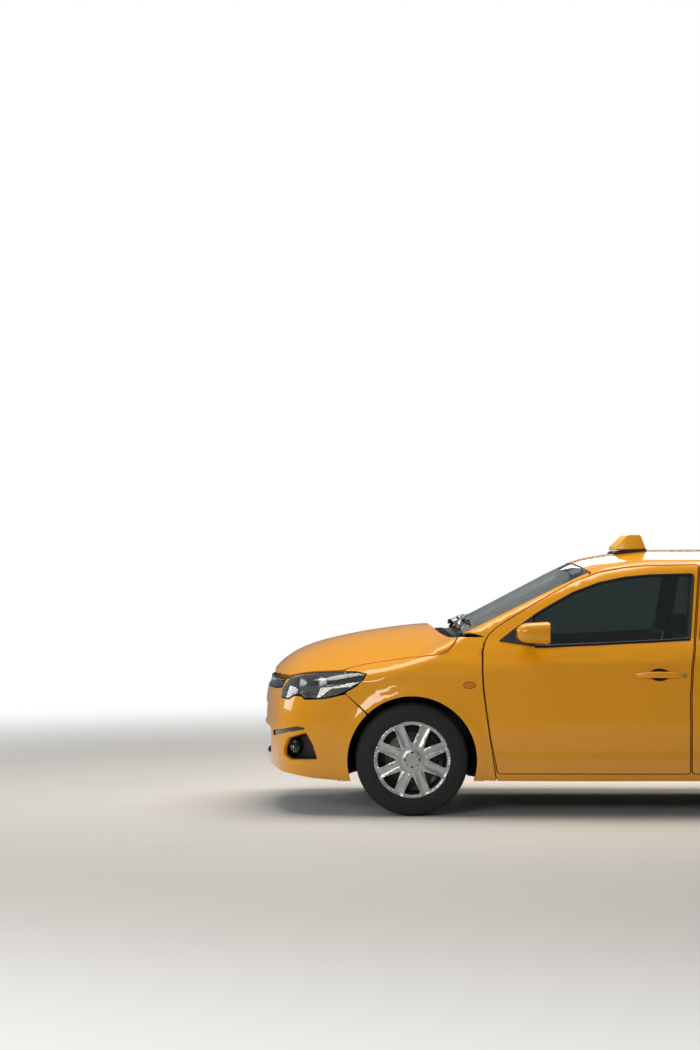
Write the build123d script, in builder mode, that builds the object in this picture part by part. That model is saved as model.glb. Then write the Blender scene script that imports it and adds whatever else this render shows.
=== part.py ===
from build123d import *
import os

os.makedirs("parts", exist_ok=True)

# Millimetres. X runs from nose to tail, Y to the car's right, Z up.
# The origin is on the ground under the middle of the car.

# overall
HALF_MIRRORS = 975.0
REACH = 1000.0
FRONT_AXLE_X = -1391.0
REAR_AXLE_X = 1261.0
FRONT_WHEEL_Y = 750.0
REAR_WHEEL_Y = 739.0

# fits
SEAT = 0.3
SHUT_GAP = 6.0
DOOR_MEET = 14.0
RUN_GAP = 6.0

# wheels
TYRE_R = 310.5
TYRE_W = 195.0
RIM_R = 196.0
RIM_WELL_R = 172.0
RIM_W = 168.0
RIM_T = 7.0
COVER_R = 212.0
COVER_T = 7.0
COVER_LIFT = 5.5
COVER_WINDOWS = 8
COVER_WINDOW = [(88.0, 0.0), (168.0, -38.0), (174.0, 0.0), (168.0, 38.0)]
DISC_T = 14.0
DISC_OUT = 22.0
PIN_R = 28.0
BORE_R = PIN_R + SEAT
BOLT_CIRCLE_R = 50.0
BOLT_HOLE_R = 6.5
BOLT_COUNT = 4
ARCH_R = 356.0
ARCH_Z = 303.0

# panel thicknesses, and how far in each inner face lies
SKIN = 22.0
DOOR_T = 95.0
FRAME_T = 40.0
FLANGE_T = 150.0
FLANGE_FRAME_T = 78.0
GLASS_T = 6.0
GLASS_IN = 9.0
SCREEN_RUN = 12.0
INNER_FLOOR = 60.0

# Lower body: outline seen from above at six heights.
# height, nose, corner x, corner y, flank x, flank y, widest y, tail flank x, tail flank y,
# tail corner x, tail corner y, tail
LOWER_LEVELS = [
    (186.0, -2168.0, -2100.0, 620.0, -1880.0, 770.0, 832.0, 1885.0, 770.0, 2115.0, 615.0, 2175.0),
    (240.0, -2200.0, -2118.0, 640.0, -1900.0, 793.0, 853.0, 1900.0, 790.0, 2130.0, 630.0, 2200.0),
    (520.0, -2221.0, -2126.0, 655.0, -1900.0, 817.0, 874.0, 1920.0, 813.0, 2138.0, 650.0, 2221.0),
    (830.0, -2175.0, -2040.0, 620.0, -1800.0, 800.0, 866.0, 1850.0, 800.0, 2100.0, 620.0, 2190.0),
    (960.0, -2140.0, -1960.0, 560.0, -1720.0, 715.0, 798.0, 1800.0, 735.0, 2060.0, 600.0, 2165.0),
    (1110.0, -2100.0, -1900.0, 520.0, -1660.0, 650.0, 745.0, 1750.0, 690.0, 2030.0, 570.0, 2135.0),
]
INNER_LEVELS = [LOWER_LEVELS[0], LOWER_LEVELS[2], LOWER_LEVELS[4], LOWER_LEVELS[5]]

# Top of the lower body: arched bands across the car.
# x, height in the middle, height at the edge of the band
LOWER_TOPS = [
    (-2260.0, 560.0, 380.0),
    (-2188.0, 750.0, 560.0),
    (-2078.0, 859.0, 630.0),
    (-1957.0, 919.0, 668.0),
    (-1779.0, 968.0, 702.0),
    (-1555.0, 1009.0, 745.0),
    (-1301.0, 1037.0, 830.0),
    (-1140.0, 1042.0, 915.0),
    (-1000.0, 1010.0, 935.0),
    (1089.0, 1010.0, 950.0),
    (1560.0, 1088.0, 955.0),
    (2000.0, 1070.0, 930.0),
    (2270.0, 1042.0, 880.0),
]
INNER_TOPS = [LOWER_TOPS[k] for k in (0, 2, 5, 7, 8, 9, 10, 12)]
BAND_HALF = 905.0
WAIST_FRONT = -1010.0
WAIST_REAR = 1100.0
BAND_FLOOR = 100.0

# Cabin: outline seen from above at two heights.
# height, front middle x, front corner x, front corner y, widest y, rear corner x,
# rear corner y, rear middle x
CABIN_LEVELS = [
    (900.0, -1401.0, -1298.0, 780.0, 822.0, 1790.0, 775.0, 1921.0),
    (1480.0, -298.0, -88.0, 535.0, 585.0, 735.0, 545.0, 847.0),
]

# Roof: arched bands across the cabin.
# x, height in the middle; every band falls by the same amount to its edges
ROOF_HALF = 840.0
ROOF_FALL = 139.0
ROOF_TOPS = [
    (x, middle, middle - ROOF_FALL)
    for x, middle in (
        (-1500.0, 1290.0), (-700.0, 1345.0), (-450.0, 1401.0), (-209.0, 1443.0), (17.0, 1464.0),
        (308.0, 1466.0), (700.0, 1453.0), (939.0, 1430.0), (1200.0, 1393.0), (2000.0, 1290.0),
    )
]
ROOF_FLOOR = 850.0


def grow(points, distance):
    """An outline moved outwards, or inwards if the distance is below zero."""
    count = len(points)
    turn = 0.0
    for k in range(count):
        a = points[k]
        b = points[(k + 1) % count]
        turn = turn + a[0] * b[1] - b[0] * a[1]
    sign = 1.0 if turn > 0 else -1.0
    moved = []
    for k in range(count):
        a = Vector(*points[k - 1])
        b = Vector(*points[k])
        c = Vector(*points[(k + 1) % count])
        first = (b - a).normalized()
        second = (c - b).normalized()
        n1 = Vector(first.Y, -first.X) * sign
        n2 = Vector(second.Y, -second.X) * sign
        share = 1.0 + n1.dot(n2)
        step = (n1 + n2) * (distance / share)
        moved.append((b.X + step.X, b.Y + step.Y))
    return moved


def turned(points, degrees):
    """An outline turned about its origin."""
    spun = [Vector(x, y).rotate(Axis.Z, degrees) for x, y in points]
    return [(v.X, v.Y) for v in spun]


def side_block(points, near, far):
    """A side-view outline made into a block on the left, between two distances out."""
    with BuildPart() as block:
        with BuildSketch(Plane(origin=(0, -near, 0), x_dir=(1, 0, 0), z_dir=(0, -1, 0))):
            with BuildLine():
                Polyline(*points, close=True)
            make_face()
        extrude(amount=far - near)
    return block.part


def across_block(points, half):
    """A side-view outline made into a block across the car."""
    with BuildPart() as block:
        with BuildSketch(Plane(origin=(0, half, 0), x_dir=(1, 0, 0), z_dir=(0, -1, 0))):
            with BuildLine():
                Polyline(*points, close=True)
            make_face()
        extrude(amount=2 * half)
    return block.part


def front_block(points, near, far):
    """A front-view outline, as y, z pairs, made into a block along the car."""
    with BuildPart() as block:
        with BuildSketch(Plane.YZ.offset(near)):
            with BuildLine():
                Polyline(*points, close=True)
            make_face()
        extrude(amount=far - near)
    return block.part


def plan_block(points, low, high):
    """An outline seen from above made into a block between two heights."""
    with BuildPart() as block:
        with BuildSketch(Plane.XY.offset(low)):
            with BuildLine():
                Polyline(*points, close=True)
            make_face()
        extrude(amount=high - low)
    return block.part


def box(x0, x1, y0, y1, z0, z1):
    """A plain box between two corners."""
    with BuildPart() as block:
        with Locations((0.5 * (x0 + x1), 0.5 * (y0 + y1), 0.5 * (z0 + z1))):
            Box(x1 - x0, y1 - y0, z1 - z0)
    return block.part


def side_box(side, x0, x1, near, far, z0, z1):
    """A plain box on one side of the car, between two distances out."""
    return box(x0, x1, min(side * near, side * far), max(side * near, side * far), z0, z1)


def rod(start, end, radius):
    """A round bar between two points."""
    a = Vector(*start)
    b = Vector(*end)
    with BuildPart() as bar:
        with BuildSketch(Plane(origin=a, z_dir=(b - a).normalized())):
            Circle(radius)
        extrude(amount=(b - a).length)
    return bar.part


def arch_block(axle_x, radius, near, far):
    """The round space of a wheel arch on the left."""
    return rod((axle_x, -near, ARCH_Z), (axle_x, -far, ARCH_Z), radius)


def screen_block(low_half, low_corner, low_mid, top_half, top_corner, top_mid, x0, x1, gap):
    """The front-view outline of a window, made into a block along the car."""
    with BuildPart() as block:
        with BuildSketch(Plane.YZ.offset(x0)):
            with BuildLine():
                low_l = (-low_half - gap, low_corner - gap)
                low_r = (low_half + gap, low_corner - gap)
                top_l = (-top_half - gap, top_corner + gap)
                top_r = (top_half + gap, top_corner + gap)
                ThreePointArc(low_l, (0.0, low_mid - gap), low_r)
                Line(low_r, top_r)
                ThreePointArc(top_r, (0.0, top_mid + gap), top_l)
                Line(top_l, low_l)
            make_face()
        extrude(amount=x1 - x0)
    return block.part


def lower_body(levels, side, ends, low):
    """The lower body set in by a distance at the sides and ends, down to a height."""
    with BuildPart() as bulk:
        for k, row in enumerate(levels):
            z, nose, cx, cy, fx, fy, wide, rx, ry, tx, ty, tail = row
            height = low if k == 0 else z
            nose = nose + ends
            cx = cx + ends
            fx = fx + 0.5 * ends
            rx = rx - 0.5 * ends
            tx = tx - ends
            tail = tail - ends
            cy = cy - side
            fy = fy - side
            wide = wide - side
            ry = ry - side
            ty = ty - side
            bend_x = 0.5 * (cx + fx) - 0.10 * (fy - cy)
            bend_y = 0.5 * (cy + fy) + 0.12 * (fx - cx)
            hook_x = 0.5 * (tx + rx) + 0.10 * (ry - ty)
            hook_y = 0.5 * (ty + ry) + 0.12 * (tx - rx)
            with BuildSketch(Plane.XY.offset(height)):
                with BuildLine():
                    ThreePointArc((cx, cy), (nose, 0.0), (cx, -cy))
                    ThreePointArc((cx, -cy), (bend_x, -bend_y), (fx, -fy))
                    ThreePointArc((fx, -fy), (0.0, -wide), (rx, -ry))
                    ThreePointArc((rx, -ry), (hook_x, -hook_y), (tx, -ty))
                    ThreePointArc((tx, -ty), (tail, 0.0), (tx, ty))
                    ThreePointArc((tx, ty), (hook_x, hook_y), (rx, ry))
                    ThreePointArc((rx, ry), (0.0, wide), (fx, fy))
                    ThreePointArc((fx, fy), (bend_x, bend_y), (cx, cy))
                make_face()
        loft(ruled=True)
    return bulk.part


def band(tops, half, floor, drop, open_from=0.0, open_to=0.0):
    """A long block with an arched top, lowered by a distance outside an open stretch."""
    with BuildPart() as bulk:
        for x, middle, edge in tops:
            fall = 0.0 if open_from <= x <= open_to and open_to > open_from else drop
            left = (-half, edge - fall)
            right = (half, edge - fall)
            with BuildSketch(Plane.YZ.offset(x)):
                with BuildLine():
                    ThreePointArc(left, (0.0, middle - fall), right)
                    Line(right, (half, floor))
                    Line((half, floor), (-half, floor))
                    Line((-half, floor), left)
                make_face()
        loft(ruled=True)
    return bulk.part


def cabin(side, ends):
    """The cabin set in by a distance at the sides and at the two windows."""
    with BuildPart() as bulk:
        for z, front, cx, cy, wide, rx, ry, rear in CABIN_LEVELS:
            front = front + ends
            cx = cx + ends
            rx = rx - ends
            rear = rear - ends
            cy = cy - side
            wide = wide - side
            ry = ry - side
            with BuildSketch(Plane.XY.offset(z)):
                with BuildLine():
                    ThreePointArc((cx, cy), (front, 0.0), (cx, -cy))
                    ThreePointArc((cx, -cy), (0.5 * (cx + rx), -wide), (rx, -ry))
                    ThreePointArc((rx, -ry), (rear, 0.0), (rx, ry))
                    ThreePointArc((rx, ry), (0.5 * (cx + rx), wide), (cx, cy))
                make_face()
        loft(ruled=True)
    return bulk.part


def form(side, ends, low, drop, cabin_side, cabin_ends, roof_drop):
    """The whole body as one block, set in by the given distances."""
    levels = LOWER_LEVELS if side <= 0 else INNER_LEVELS
    tops = LOWER_TOPS if side <= 0 else INNER_TOPS
    with BuildPart() as block:
        add(lower_body(levels, side, ends, low))
        add(
            band(tops, BAND_HALF, min(BAND_FLOOR, low), drop, WAIST_FRONT, WAIST_REAR),
            mode=Mode.INTERSECT,
        )
    with BuildPart() as top:
        add(cabin(cabin_side, cabin_ends))
        add(band(ROOF_TOPS, ROOF_HALF, ROOF_FLOOR, roof_drop), mode=Mode.INTERSECT)
    with BuildPart() as whole:
        add(block.part)
        add(top.part)
    return whole.part


def shell(outer, inner):
    """What lies between two forms."""
    with BuildPart() as between:
        add(outer)
        add(inner, mode=Mode.SUBTRACT)
    return between.part


LOW = LOWER_LEVELS[0][0]
OUTER = form(0.0, 0.0, LOW, 0.0, 0.0, 0.0, 0.0)
GROWN = form(-SEAT, -SEAT, LOW, -SEAT, -SEAT, -SEAT, -SEAT)
UNDER_SKIN = form(SKIN, SKIN, INNER_FLOOR, SKIN, SKIN, 2 * SKIN, SKIN)
DOOR_BACK = form(DOOR_T, DOOR_T, INNER_FLOOR, DOOR_T, FRAME_T, FRAME_T, FRAME_T)
LEDGE = DOOR_T + SHUT_GAP
LEDGE_FRAME = FRAME_T + SHUT_GAP
LEDGE_BACK = form(LEDGE, LEDGE, INNER_FLOOR, LEDGE, LEDGE_FRAME, LEDGE_FRAME, LEDGE_FRAME)
FENDER_BACK = form(
    LEDGE - SEAT, LEDGE - SEAT, INNER_FLOOR, LEDGE, LEDGE_FRAME, LEDGE_FRAME, LEDGE_FRAME
)
ROOM = form(
    FLANGE_T, FLANGE_T, INNER_FLOOR, LEDGE, FLANGE_FRAME_T, FLANGE_FRAME_T, FLANGE_FRAME_T
)
FLOOR_SPACE = form(
    FLANGE_T + SEAT, FLANGE_T + SEAT, INNER_FLOOR, LEDGE, FLANGE_FRAME_T, FLANGE_T, FLANGE_T
)
SKIN_SHELL = shell(OUTER, UNDER_SKIN)
DOOR_SHELL = shell(OUTER, DOOR_BACK)

# Side-view outlines as x, z pairs along the middle of each shut line.
HALF_MEET = 0.5 * (DOOR_MEET - SHUT_GAP)
FRONT_DOOR = [
    (-921.0, 232.0), (-961.0, 424.0), (-984.0, 585.0), (-999.0, 708.0), (-1003.0, 794.0),
    (-1001.0, 898.0), (-991.0, 946.0), (-970.0, 988.0), (-932.0, 1024.0), (-850.0, 1077.0),
    (-732.0, 1147.0), (-624.0, 1211.0), (-487.0, 1284.0), (-340.0, 1338.0), (-194.0, 1364.0),
    (-58.0, 1375.0), (218.0 - HALF_MEET, 1380.0), (213.0 - HALF_MEET, 1345.0),
    (165.0 - HALF_MEET, 946.0), (145.0 - HALF_MEET, 822.0), (136.0 - HALF_MEET, 661.0),
    (139.0 - HALF_MEET, 232.0),
]
REAR_DOOR = [
    (139.0 + HALF_MEET, 232.0), (136.0 + HALF_MEET, 661.0), (145.0 + HALF_MEET, 822.0),
    (165.0 + HALF_MEET, 946.0), (213.0 + HALF_MEET, 1345.0), (218.0 + HALF_MEET, 1380.0),
    (480.0, 1376.0), (640.0, 1364.0), (760.0, 1334.0), (850.0, 1280.0), (1076.0, 1030.0),
    (1092.0, 955.0), (1088.0, 860.0), (1070.0, 760.0), (1030.0, 672.0), (960.0, 590.0),
    (905.0, 490.0), (876.0, 390.0), (868.0, 232.0),
]
FRONT_WINDOW = [
    (-722.0, 930.0), (-722.0, 1096.0), (-628.0, 1152.0), (-491.0, 1227.0), (-345.0, 1281.0),
    (-199.0, 1311.0), (-64.0, 1324.0), (184.0, 1330.0), (141.0, 966.0), (-87.0, 954.0),
    (-363.0, 940.0), (-638.0, 928.0),
]
REAR_WINDOW = [
    (192.0, 968.0), (238.0, 1330.0), (470.0, 1329.0), (620.0, 1318.0), (730.0, 1286.0),
    (815.0, 1230.0), (1012.0, 1010.0), (1012.0, 985.0), (640.0, 979.0),
]
FRONT_OPENING = [
    (-868.0, 290.0), (-915.0, 430.0), (-936.0, 590.0), (-950.0, 710.0), (-953.0, 800.0),
    (-951.0, 900.0), (-905.0, 975.0), (-820.0, 1030.0), (-700.0, 1103.0), (-600.0, 1163.0),
    (-462.0, 1235.0), (-320.0, 1288.0), (-185.0, 1315.0), (-60.0, 1326.0), (163.0, 1332.0),
    (115.0, 950.0), (92.0, 822.0), (84.0, 661.0), (88.0, 290.0),
]
REAR_OPENING = [
    (190.0, 290.0), (187.0, 661.0), (196.0, 822.0), (217.0, 950.0), (265.0, 1332.0),
    (470.0, 1330.0), (620.0, 1317.0), (725.0, 1290.0), (806.0, 1240.0), (1026.0, 1010.0),
    (1040.0, 950.0), (1036.0, 870.0), (1016.0, 785.0), (980.0, 715.0), (915.0, 635.0),
    (857.0, 520.0), (826.0, 400.0), (820.0, 290.0),
]
HEADLAMP = [
    (-2116.0, 640.0), (-2118.0, 684.3), (-2300.0, 684.3), (-2300.0, 749.0), (-2080.0, 749.0),
    (-2048.0, 770.0), (-1966.0, 782.0),
    (-1824.0, 790.0), (-1700.0, 790.0), (-1639.0, 778.0), (-1661.0, 744.0), (-1700.0, 712.0),
    (-1759.0, 678.0), (-1808.0, 660.0), (-1874.0, 645.0), (-1984.0, 640.0), (-2000.0, 656.0),
    (-2038.0, 660.0), (-2072.0, 638.0),
]
LAMP_IN = 440.0
BUMPER = [
    (-2300.0, 262.0), (-2173.0, 238.0), (-2056.0, 222.0), (-1945.0, 203.0), (-1760.0, 187.0),
    (-1640.0, 187.0), (-1560.0, 187.0), (-1560.0, 500.0), (-1637.0, 561.0), (-1755.0, 668.0),
    (-1808.0, 655.0), (-1874.0, 640.0), (-1984.0, 635.0), (-2000.0, 651.0), (-2038.0, 655.0),
    (-2072.0, 633.0), (-2118.0, 634.0), (-2124.0, 684.0), (-2300.0, 684.0),
]
BUMPER_T = 60.0
REAR_BUMPER = [
    (1560.0, 187.0), (1560.0, 430.0), (1640.0, 560.0), (1800.0, 600.0), (2049.7, 610.0),
    (2049.7, 652.0), (2300.0, 652.0),
    (2300.0, 250.0), (2100.0, 220.0), (1900.0, 190.0),
]
BONNET_FRONT = [
    (-2300.0, -610.0), (-2300.0, 610.0), (-2060.0, 618.0), (-1990.0, 632.0), (-1905.0, 664.0),
    (-1776.0, 700.0), (-1600.0, 728.0), (-1300.0, 748.0), (-1154.0, 750.0), (-1182.0, 640.0),
    (-1232.0, 440.0), (-1270.0, 220.0), (-1284.0, 0.0), (-1270.0, -220.0), (-1232.0, -440.0),
    (-1182.0, -640.0), (-1154.0, -750.0), (-1300.0, -748.0), (-1600.0, -728.0),
    (-1776.0, -700.0), (-1905.0, -664.0), (-1990.0, -632.0), (-2060.0, -618.0),
]
BONNET_LOW = 756.0
BOOT = (1600.0, 2300.0, 610.0, 660.0, 1200.0)
TAIL_LAMP = (1985.0, 2300.0, 616.0, 690.0, 890.0)
SCREEN = (690.0, 990.0, 1032.0, 552.0, 1340.0, 1390.0)
BACK_SCREEN = (640.0, 1078.0, 1112.0, 500.0, 1368.0, 1416.0)
ROOF_RAIL_Y = 585.0

# front and rear screens take their room out of everything round them
FRONT_HOLE = screen_block(*SCREEN, -1500.0, 0.0, SEAT)
BACK_HOLE = screen_block(*BACK_SCREEN, 500.0, 2000.0, SEAT)

FRONT_DOOR_ROOM = side_block(grow(FRONT_DOOR, 0.5 * SHUT_GAP), 500.0, REACH)
REAR_DOOR_ROOM = side_block(grow(REAR_DOOR, 0.5 * SHUT_GAP), 500.0, REACH)
HEADLAMP_ROOM = side_block(grow(HEADLAMP, SEAT), LAMP_IN - SEAT, REACH)
BONNET_ROOM = plan_block(grow(BONNET_FRONT, SHUT_GAP), BONNET_LOW - SHUT_GAP, 1400.0)
BOOT_X0, BOOT_X1, BOOT_HALF, BOOT_Z0, BOOT_Z1 = BOOT
BOOT_ROOM = box(
    BOOT_X0 - SHUT_GAP, BOOT_X1, -BOOT_HALF - SHUT_GAP, BOOT_HALF + SHUT_GAP,
    BOOT_Z0 - SHUT_GAP, BOOT_Z1,
)
LAMP_X0, LAMP_X1, LAMP_Y0, LAMP_Z0, LAMP_Z1 = TAIL_LAMP

with BuildPart() as door_space:
    add(FRONT_DOOR_ROOM)
    add(REAR_DOOR_ROOM)
    add(LEDGE_BACK, mode=Mode.SUBTRACT)

# left body side: sill, pillars, roof rail and rear quarter in one piece
SIDE_FRONT = -1012.0
SIDE_OUTLINE = [
    (SIDE_FRONT, 187.0), (SIDE_FRONT, 1100.0), (-600.0, 1500.0), (1500.0, 1500.0),
    (2300.0, 1150.0), (2300.0, 652.3), (2049.4, 652.3), (2049.4, 610.3), (1799.9, 600.3),
    (1639.8, 560.3), (1559.7, 430.1), (1559.7, 187.0),
]
FENDER = [
    (-921.0 - SHUT_GAP, 187.0), (-921.0 - SHUT_GAP, 232.0), (-961.0 - SHUT_GAP, 424.0),
    (-984.0 - SHUT_GAP, 585.0), (-999.0 - SHUT_GAP, 708.0), (-1003.0 - SHUT_GAP, 794.0),
    (-1001.0 - SHUT_GAP, 898.0), (-991.0 - SHUT_GAP, 946.0), (-978.0 - SHUT_GAP, 985.0),
    (-1075.0, 1030.0), (-1500.0, 1030.0), (-1990.0, 930.0), (-1990.0, 740.0), (-1760.0, 740.0),
    (-1755.3, 668.3),
    (-1637.0, 561.3), (-1560.0, 500.0), (-1560.0, 187.0),
]
FENDER_IN = 700.5
# room for the rear corner of the bonnet, which swings down as the bonnet opens
CORNER_X0 = -1164.0
CORNER_X1 = -1123.0
CORNER_Y = 753.5
CORNER_Z0 = 930.0
CORNER_Z1 = 1000.0
STOP_X0 = 1640.0
STOP_X1 = 1670.0
STOP_Z = 985.0
STOP_Y0 = 592.0
STOP_Y1 = 680.0
STOP_T = 25.0
PAD_Y0 = 594.0
PAD_Y1 = 609.7
PAD_T = 27.0
with BuildPart() as fender_space:
    add(side_block(grow(FENDER, SEAT), 300.0, REACH))
    add(LEDGE_BACK, mode=Mode.SUBTRACT)
with BuildPart() as body_side_left:
    add(shell(OUTER, ROOM))
    add(side_block(SIDE_OUTLINE, 0.5 * SEAT, REACH), mode=Mode.INTERSECT)
    add(door_space.part, mode=Mode.SUBTRACT)
    add(fender_space.part, mode=Mode.SUBTRACT)
    add(side_block(FRONT_OPENING, 300.0, REACH), mode=Mode.SUBTRACT)
    add(side_block(REAR_OPENING, 300.0, REACH), mode=Mode.SUBTRACT)
    add(FRONT_HOLE, mode=Mode.SUBTRACT)
    add(BACK_HOLE, mode=Mode.SUBTRACT)
    add(box(-560.0, 1200.0, -ROOF_RAIL_Y, 10.0, 1300.0, 1500.0), mode=Mode.SUBTRACT)
    add(box(-1500.0, -900.0, -700.0, 10.0, 150.0, 1100.0), mode=Mode.SUBTRACT)
    add(BONNET_ROOM, mode=Mode.SUBTRACT)
    add(BOOT_ROOM, mode=Mode.SUBTRACT)
    add(box(2000.0, 2300.0, -BOOT_HALF - SHUT_GAP, 10.0, 500.0, 1200.0), mode=Mode.SUBTRACT)
    add(
        box(LAMP_X0 - SEAT, LAMP_X1, -REACH, -LAMP_Y0 + SEAT, LAMP_Z0 - SEAT, LAMP_Z1 + SEAT),
        mode=Mode.SUBTRACT,
    )
    add(arch_block(REAR_AXLE_X, ARCH_R, 560.0, REACH), mode=Mode.SUBTRACT)
    add(box(1500.0, 2300.0, -720.0, 10.0, 150.0, 640.0), mode=Mode.SUBTRACT)
    add(side_box(-1.0, STOP_X0, STOP_X1, STOP_Y0, STOP_Y1, STOP_Z - STOP_T, STOP_Z - SEAT))
body_side_left.part.label = "body_side_left"
export_step(body_side_left.part, "parts/body_side_left.step")

with BuildPart() as body_side_right:
    add(mirror(body_side_left.part, about=Plane.XZ))
body_side_right.part.label = "body_side_right"
export_step(body_side_right.part, "parts/body_side_right.step")

# front fender, with a deep rear edge that seats on the door pillar
with BuildPart() as fender_post:
    add(shell(OUTER, FENDER_BACK))
    add(side_block(FENDER, 300.0, REACH), mode=Mode.INTERSECT)
    add(box(SIDE_FRONT, -900.0, -REACH, -FENDER_IN, 187.0, 930.0), mode=Mode.INTERSECT)
with BuildPart() as front_fender_left:
    add(SKIN_SHELL)
    add(side_block(FENDER, 300.0, REACH), mode=Mode.INTERSECT)
    add(fender_post.part)
    add(HEADLAMP_ROOM, mode=Mode.SUBTRACT)
    add(BONNET_ROOM, mode=Mode.SUBTRACT)
    add(box(-1300.0, -900.0, -FENDER_IN, 0.0, 700.0, 1100.0), mode=Mode.SUBTRACT)
    add(box(CORNER_X0, CORNER_X1, -CORNER_Y, 0.0, CORNER_Z0, CORNER_Z1), mode=Mode.SUBTRACT)
    add(arch_block(FRONT_AXLE_X, ARCH_R, 500.0, REACH), mode=Mode.SUBTRACT)
front_fender_left.part.label = "front_fender_left"
export_step(front_fender_left.part, "parts/front_fender_left.step")

with BuildPart() as front_fender_right:
    add(mirror(front_fender_left.part, about=Plane.XZ))
front_fender_right.part.label = "front_fender_right"
export_step(front_fender_right.part, "parts/front_fender_right.step")

# doors: outer face of the body, full thickness, window cut out
for name, outline, window in (
    ("door_front", FRONT_DOOR, FRONT_WINDOW),
    ("door_rear", REAR_DOOR, REAR_WINDOW),
):
    with BuildPart() as door_left:
        add(DOOR_SHELL)
        add(
            side_block(grow(outline, -0.5 * SHUT_GAP), ROOF_RAIL_Y + SHUT_GAP, REACH),
            mode=Mode.INTERSECT,
        )
        add(side_block(window, 300.0, REACH), mode=Mode.SUBTRACT)
        if name == "door_rear":
            add(arch_block(REAR_AXLE_X, ARCH_R + 34.0, 300.0, REACH), mode=Mode.SUBTRACT)
    door_left.part.label = name + "_left"
    export_step(door_left.part, "parts/" + name + "_left.step")
    with BuildPart() as door_right:
        add(mirror(door_left.part, about=Plane.XZ))
    door_right.part.label = name + "_right"
    export_step(door_right.part, "parts/" + name + "_right.step")

# side glass, set in a little behind the frames
PANE_SHELL = shell(cabin(GLASS_IN, GLASS_IN), cabin(GLASS_IN + GLASS_T, GLASS_IN + GLASS_T))
for name, window in (("glass_front", FRONT_WINDOW), ("glass_rear", REAR_WINDOW)):
    with BuildPart() as pane_left:
        add(PANE_SHELL)
        add(side_block(grow(window, -SEAT), 300.0, REACH), mode=Mode.INTERSECT)
    pane_left.part.label = name + "_left"
    export_step(pane_left.part, "parts/" + name + "_left.step")
    with BuildPart() as pane_right:
        add(mirror(pane_left.part, about=Plane.XZ))
    pane_right.part.label = name + "_right"
    export_step(pane_right.part, "parts/" + name + "_right.step")

# screens
SCREEN_SHELL = shell(cabin(0.0, 0.0), cabin(-20.0, SCREEN_RUN))
with BuildPart() as windscreen:
    add(SCREEN_SHELL)
    add(screen_block(*SCREEN, -1500.0, 0.0, 0.0), mode=Mode.INTERSECT)
windscreen.part.label = "windscreen"
export_step(windscreen.part, "parts/windscreen.step")

with BuildPart() as rear_window:
    add(SCREEN_SHELL)
    add(screen_block(*BACK_SCREEN, 500.0, 2000.0, 0.0), mode=Mode.INTERSECT)
rear_window.part.label = "rear_window"
export_step(rear_window.part, "parts/rear_window.step")

# roof panel with the two header rails
with BuildPart() as roof_panel:
    add(shell(OUTER, DOOR_BACK))
    add(
        box(-559.7, 1199.7, -ROOF_RAIL_Y + SEAT, ROOF_RAIL_Y - SEAT, 1300.3, 1500.0),
        mode=Mode.INTERSECT,
    )
    add(FRONT_HOLE, mode=Mode.SUBTRACT)
    add(BACK_HOLE, mode=Mode.SUBTRACT)
roof_panel.part.label = "roof_panel"
export_step(roof_panel.part, "parts/roof_panel.step")

# bonnet, with two hinge ears behind its rear corners
HINGE_X = -1150.0
HINGE_Z = 940.0
HINGE_PIN_R = 7.0
HINGE_EYE_R = 14.0
EAR_IN = 657.0
EAR_OUT = 677.0
EAR_FRONT = -1215.0
POST_HALF = 10.0
POST_FOOT = 630.0
POST_OUT = 699.0
with BuildPart() as hinge_ears:
    for s in (-1.0, 1.0):
        y0 = min(s * EAR_IN, s * EAR_OUT)
        y1 = max(s * EAR_IN, s * EAR_OUT)
        add(box(EAR_FRONT, HINGE_X, y0, y1, HINGE_Z - HINGE_EYE_R, HINGE_Z + HINGE_EYE_R - 2.0))
        add(rod((HINGE_X, y0, HINGE_Z), (HINGE_X, y1, HINGE_Z), HINGE_EYE_R))
        add(rod((HINGE_X, y0 - 1.0, HINGE_Z), (HINGE_X, y1 + 1.0, HINGE_Z), HINGE_PIN_R + SEAT),
            mode=Mode.SUBTRACT)
    add(OUTER, mode=Mode.INTERSECT)
with BuildPart() as bonnet:
    add(SKIN_SHELL)
    add(plan_block(BONNET_FRONT, BONNET_LOW, 1400.0), mode=Mode.INTERSECT)
    add(hinge_ears.part)
bonnet.part.label = "bonnet"
export_step(bonnet.part, "parts/bonnet.step")

# cowl between bonnet and windscreen
COWL = [
    (-1278.0, 0.0), (-1264.0, -220.0), (-1226.0, -440.0), (-1176.0, -640.0), (-1150.0, -700.0),
    (-1076.0, -700.0), (-1076.0, 700.0), (-1150.0, 700.0), (-1176.0, 640.0), (-1226.0, 440.0),
    (-1264.0, 220.0),
]
COWL_LOW = 900.0
COWL_HIGH = 1040.0
COWL_HALF = 710.0
with BuildPart() as cowl:
    add(shell(UNDER_SKIN, LEDGE_BACK))
    add(plan_block(COWL, COWL_LOW, COWL_HIGH), mode=Mode.INTERSECT)
    add(FRONT_HOLE, mode=Mode.SUBTRACT)
    for s in (-1.0, 1.0):
        add(
            side_box(s, HINGE_X - 100.0, HINGE_X + 150.0, EAR_IN - RUN_GAP, COWL_HALF, COWL_LOW,
                     COWL_HIGH),
            mode=Mode.SUBTRACT,
        )
cowl.part.label = "cowl"
export_step(cowl.part, "parts/cowl.step")

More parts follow.
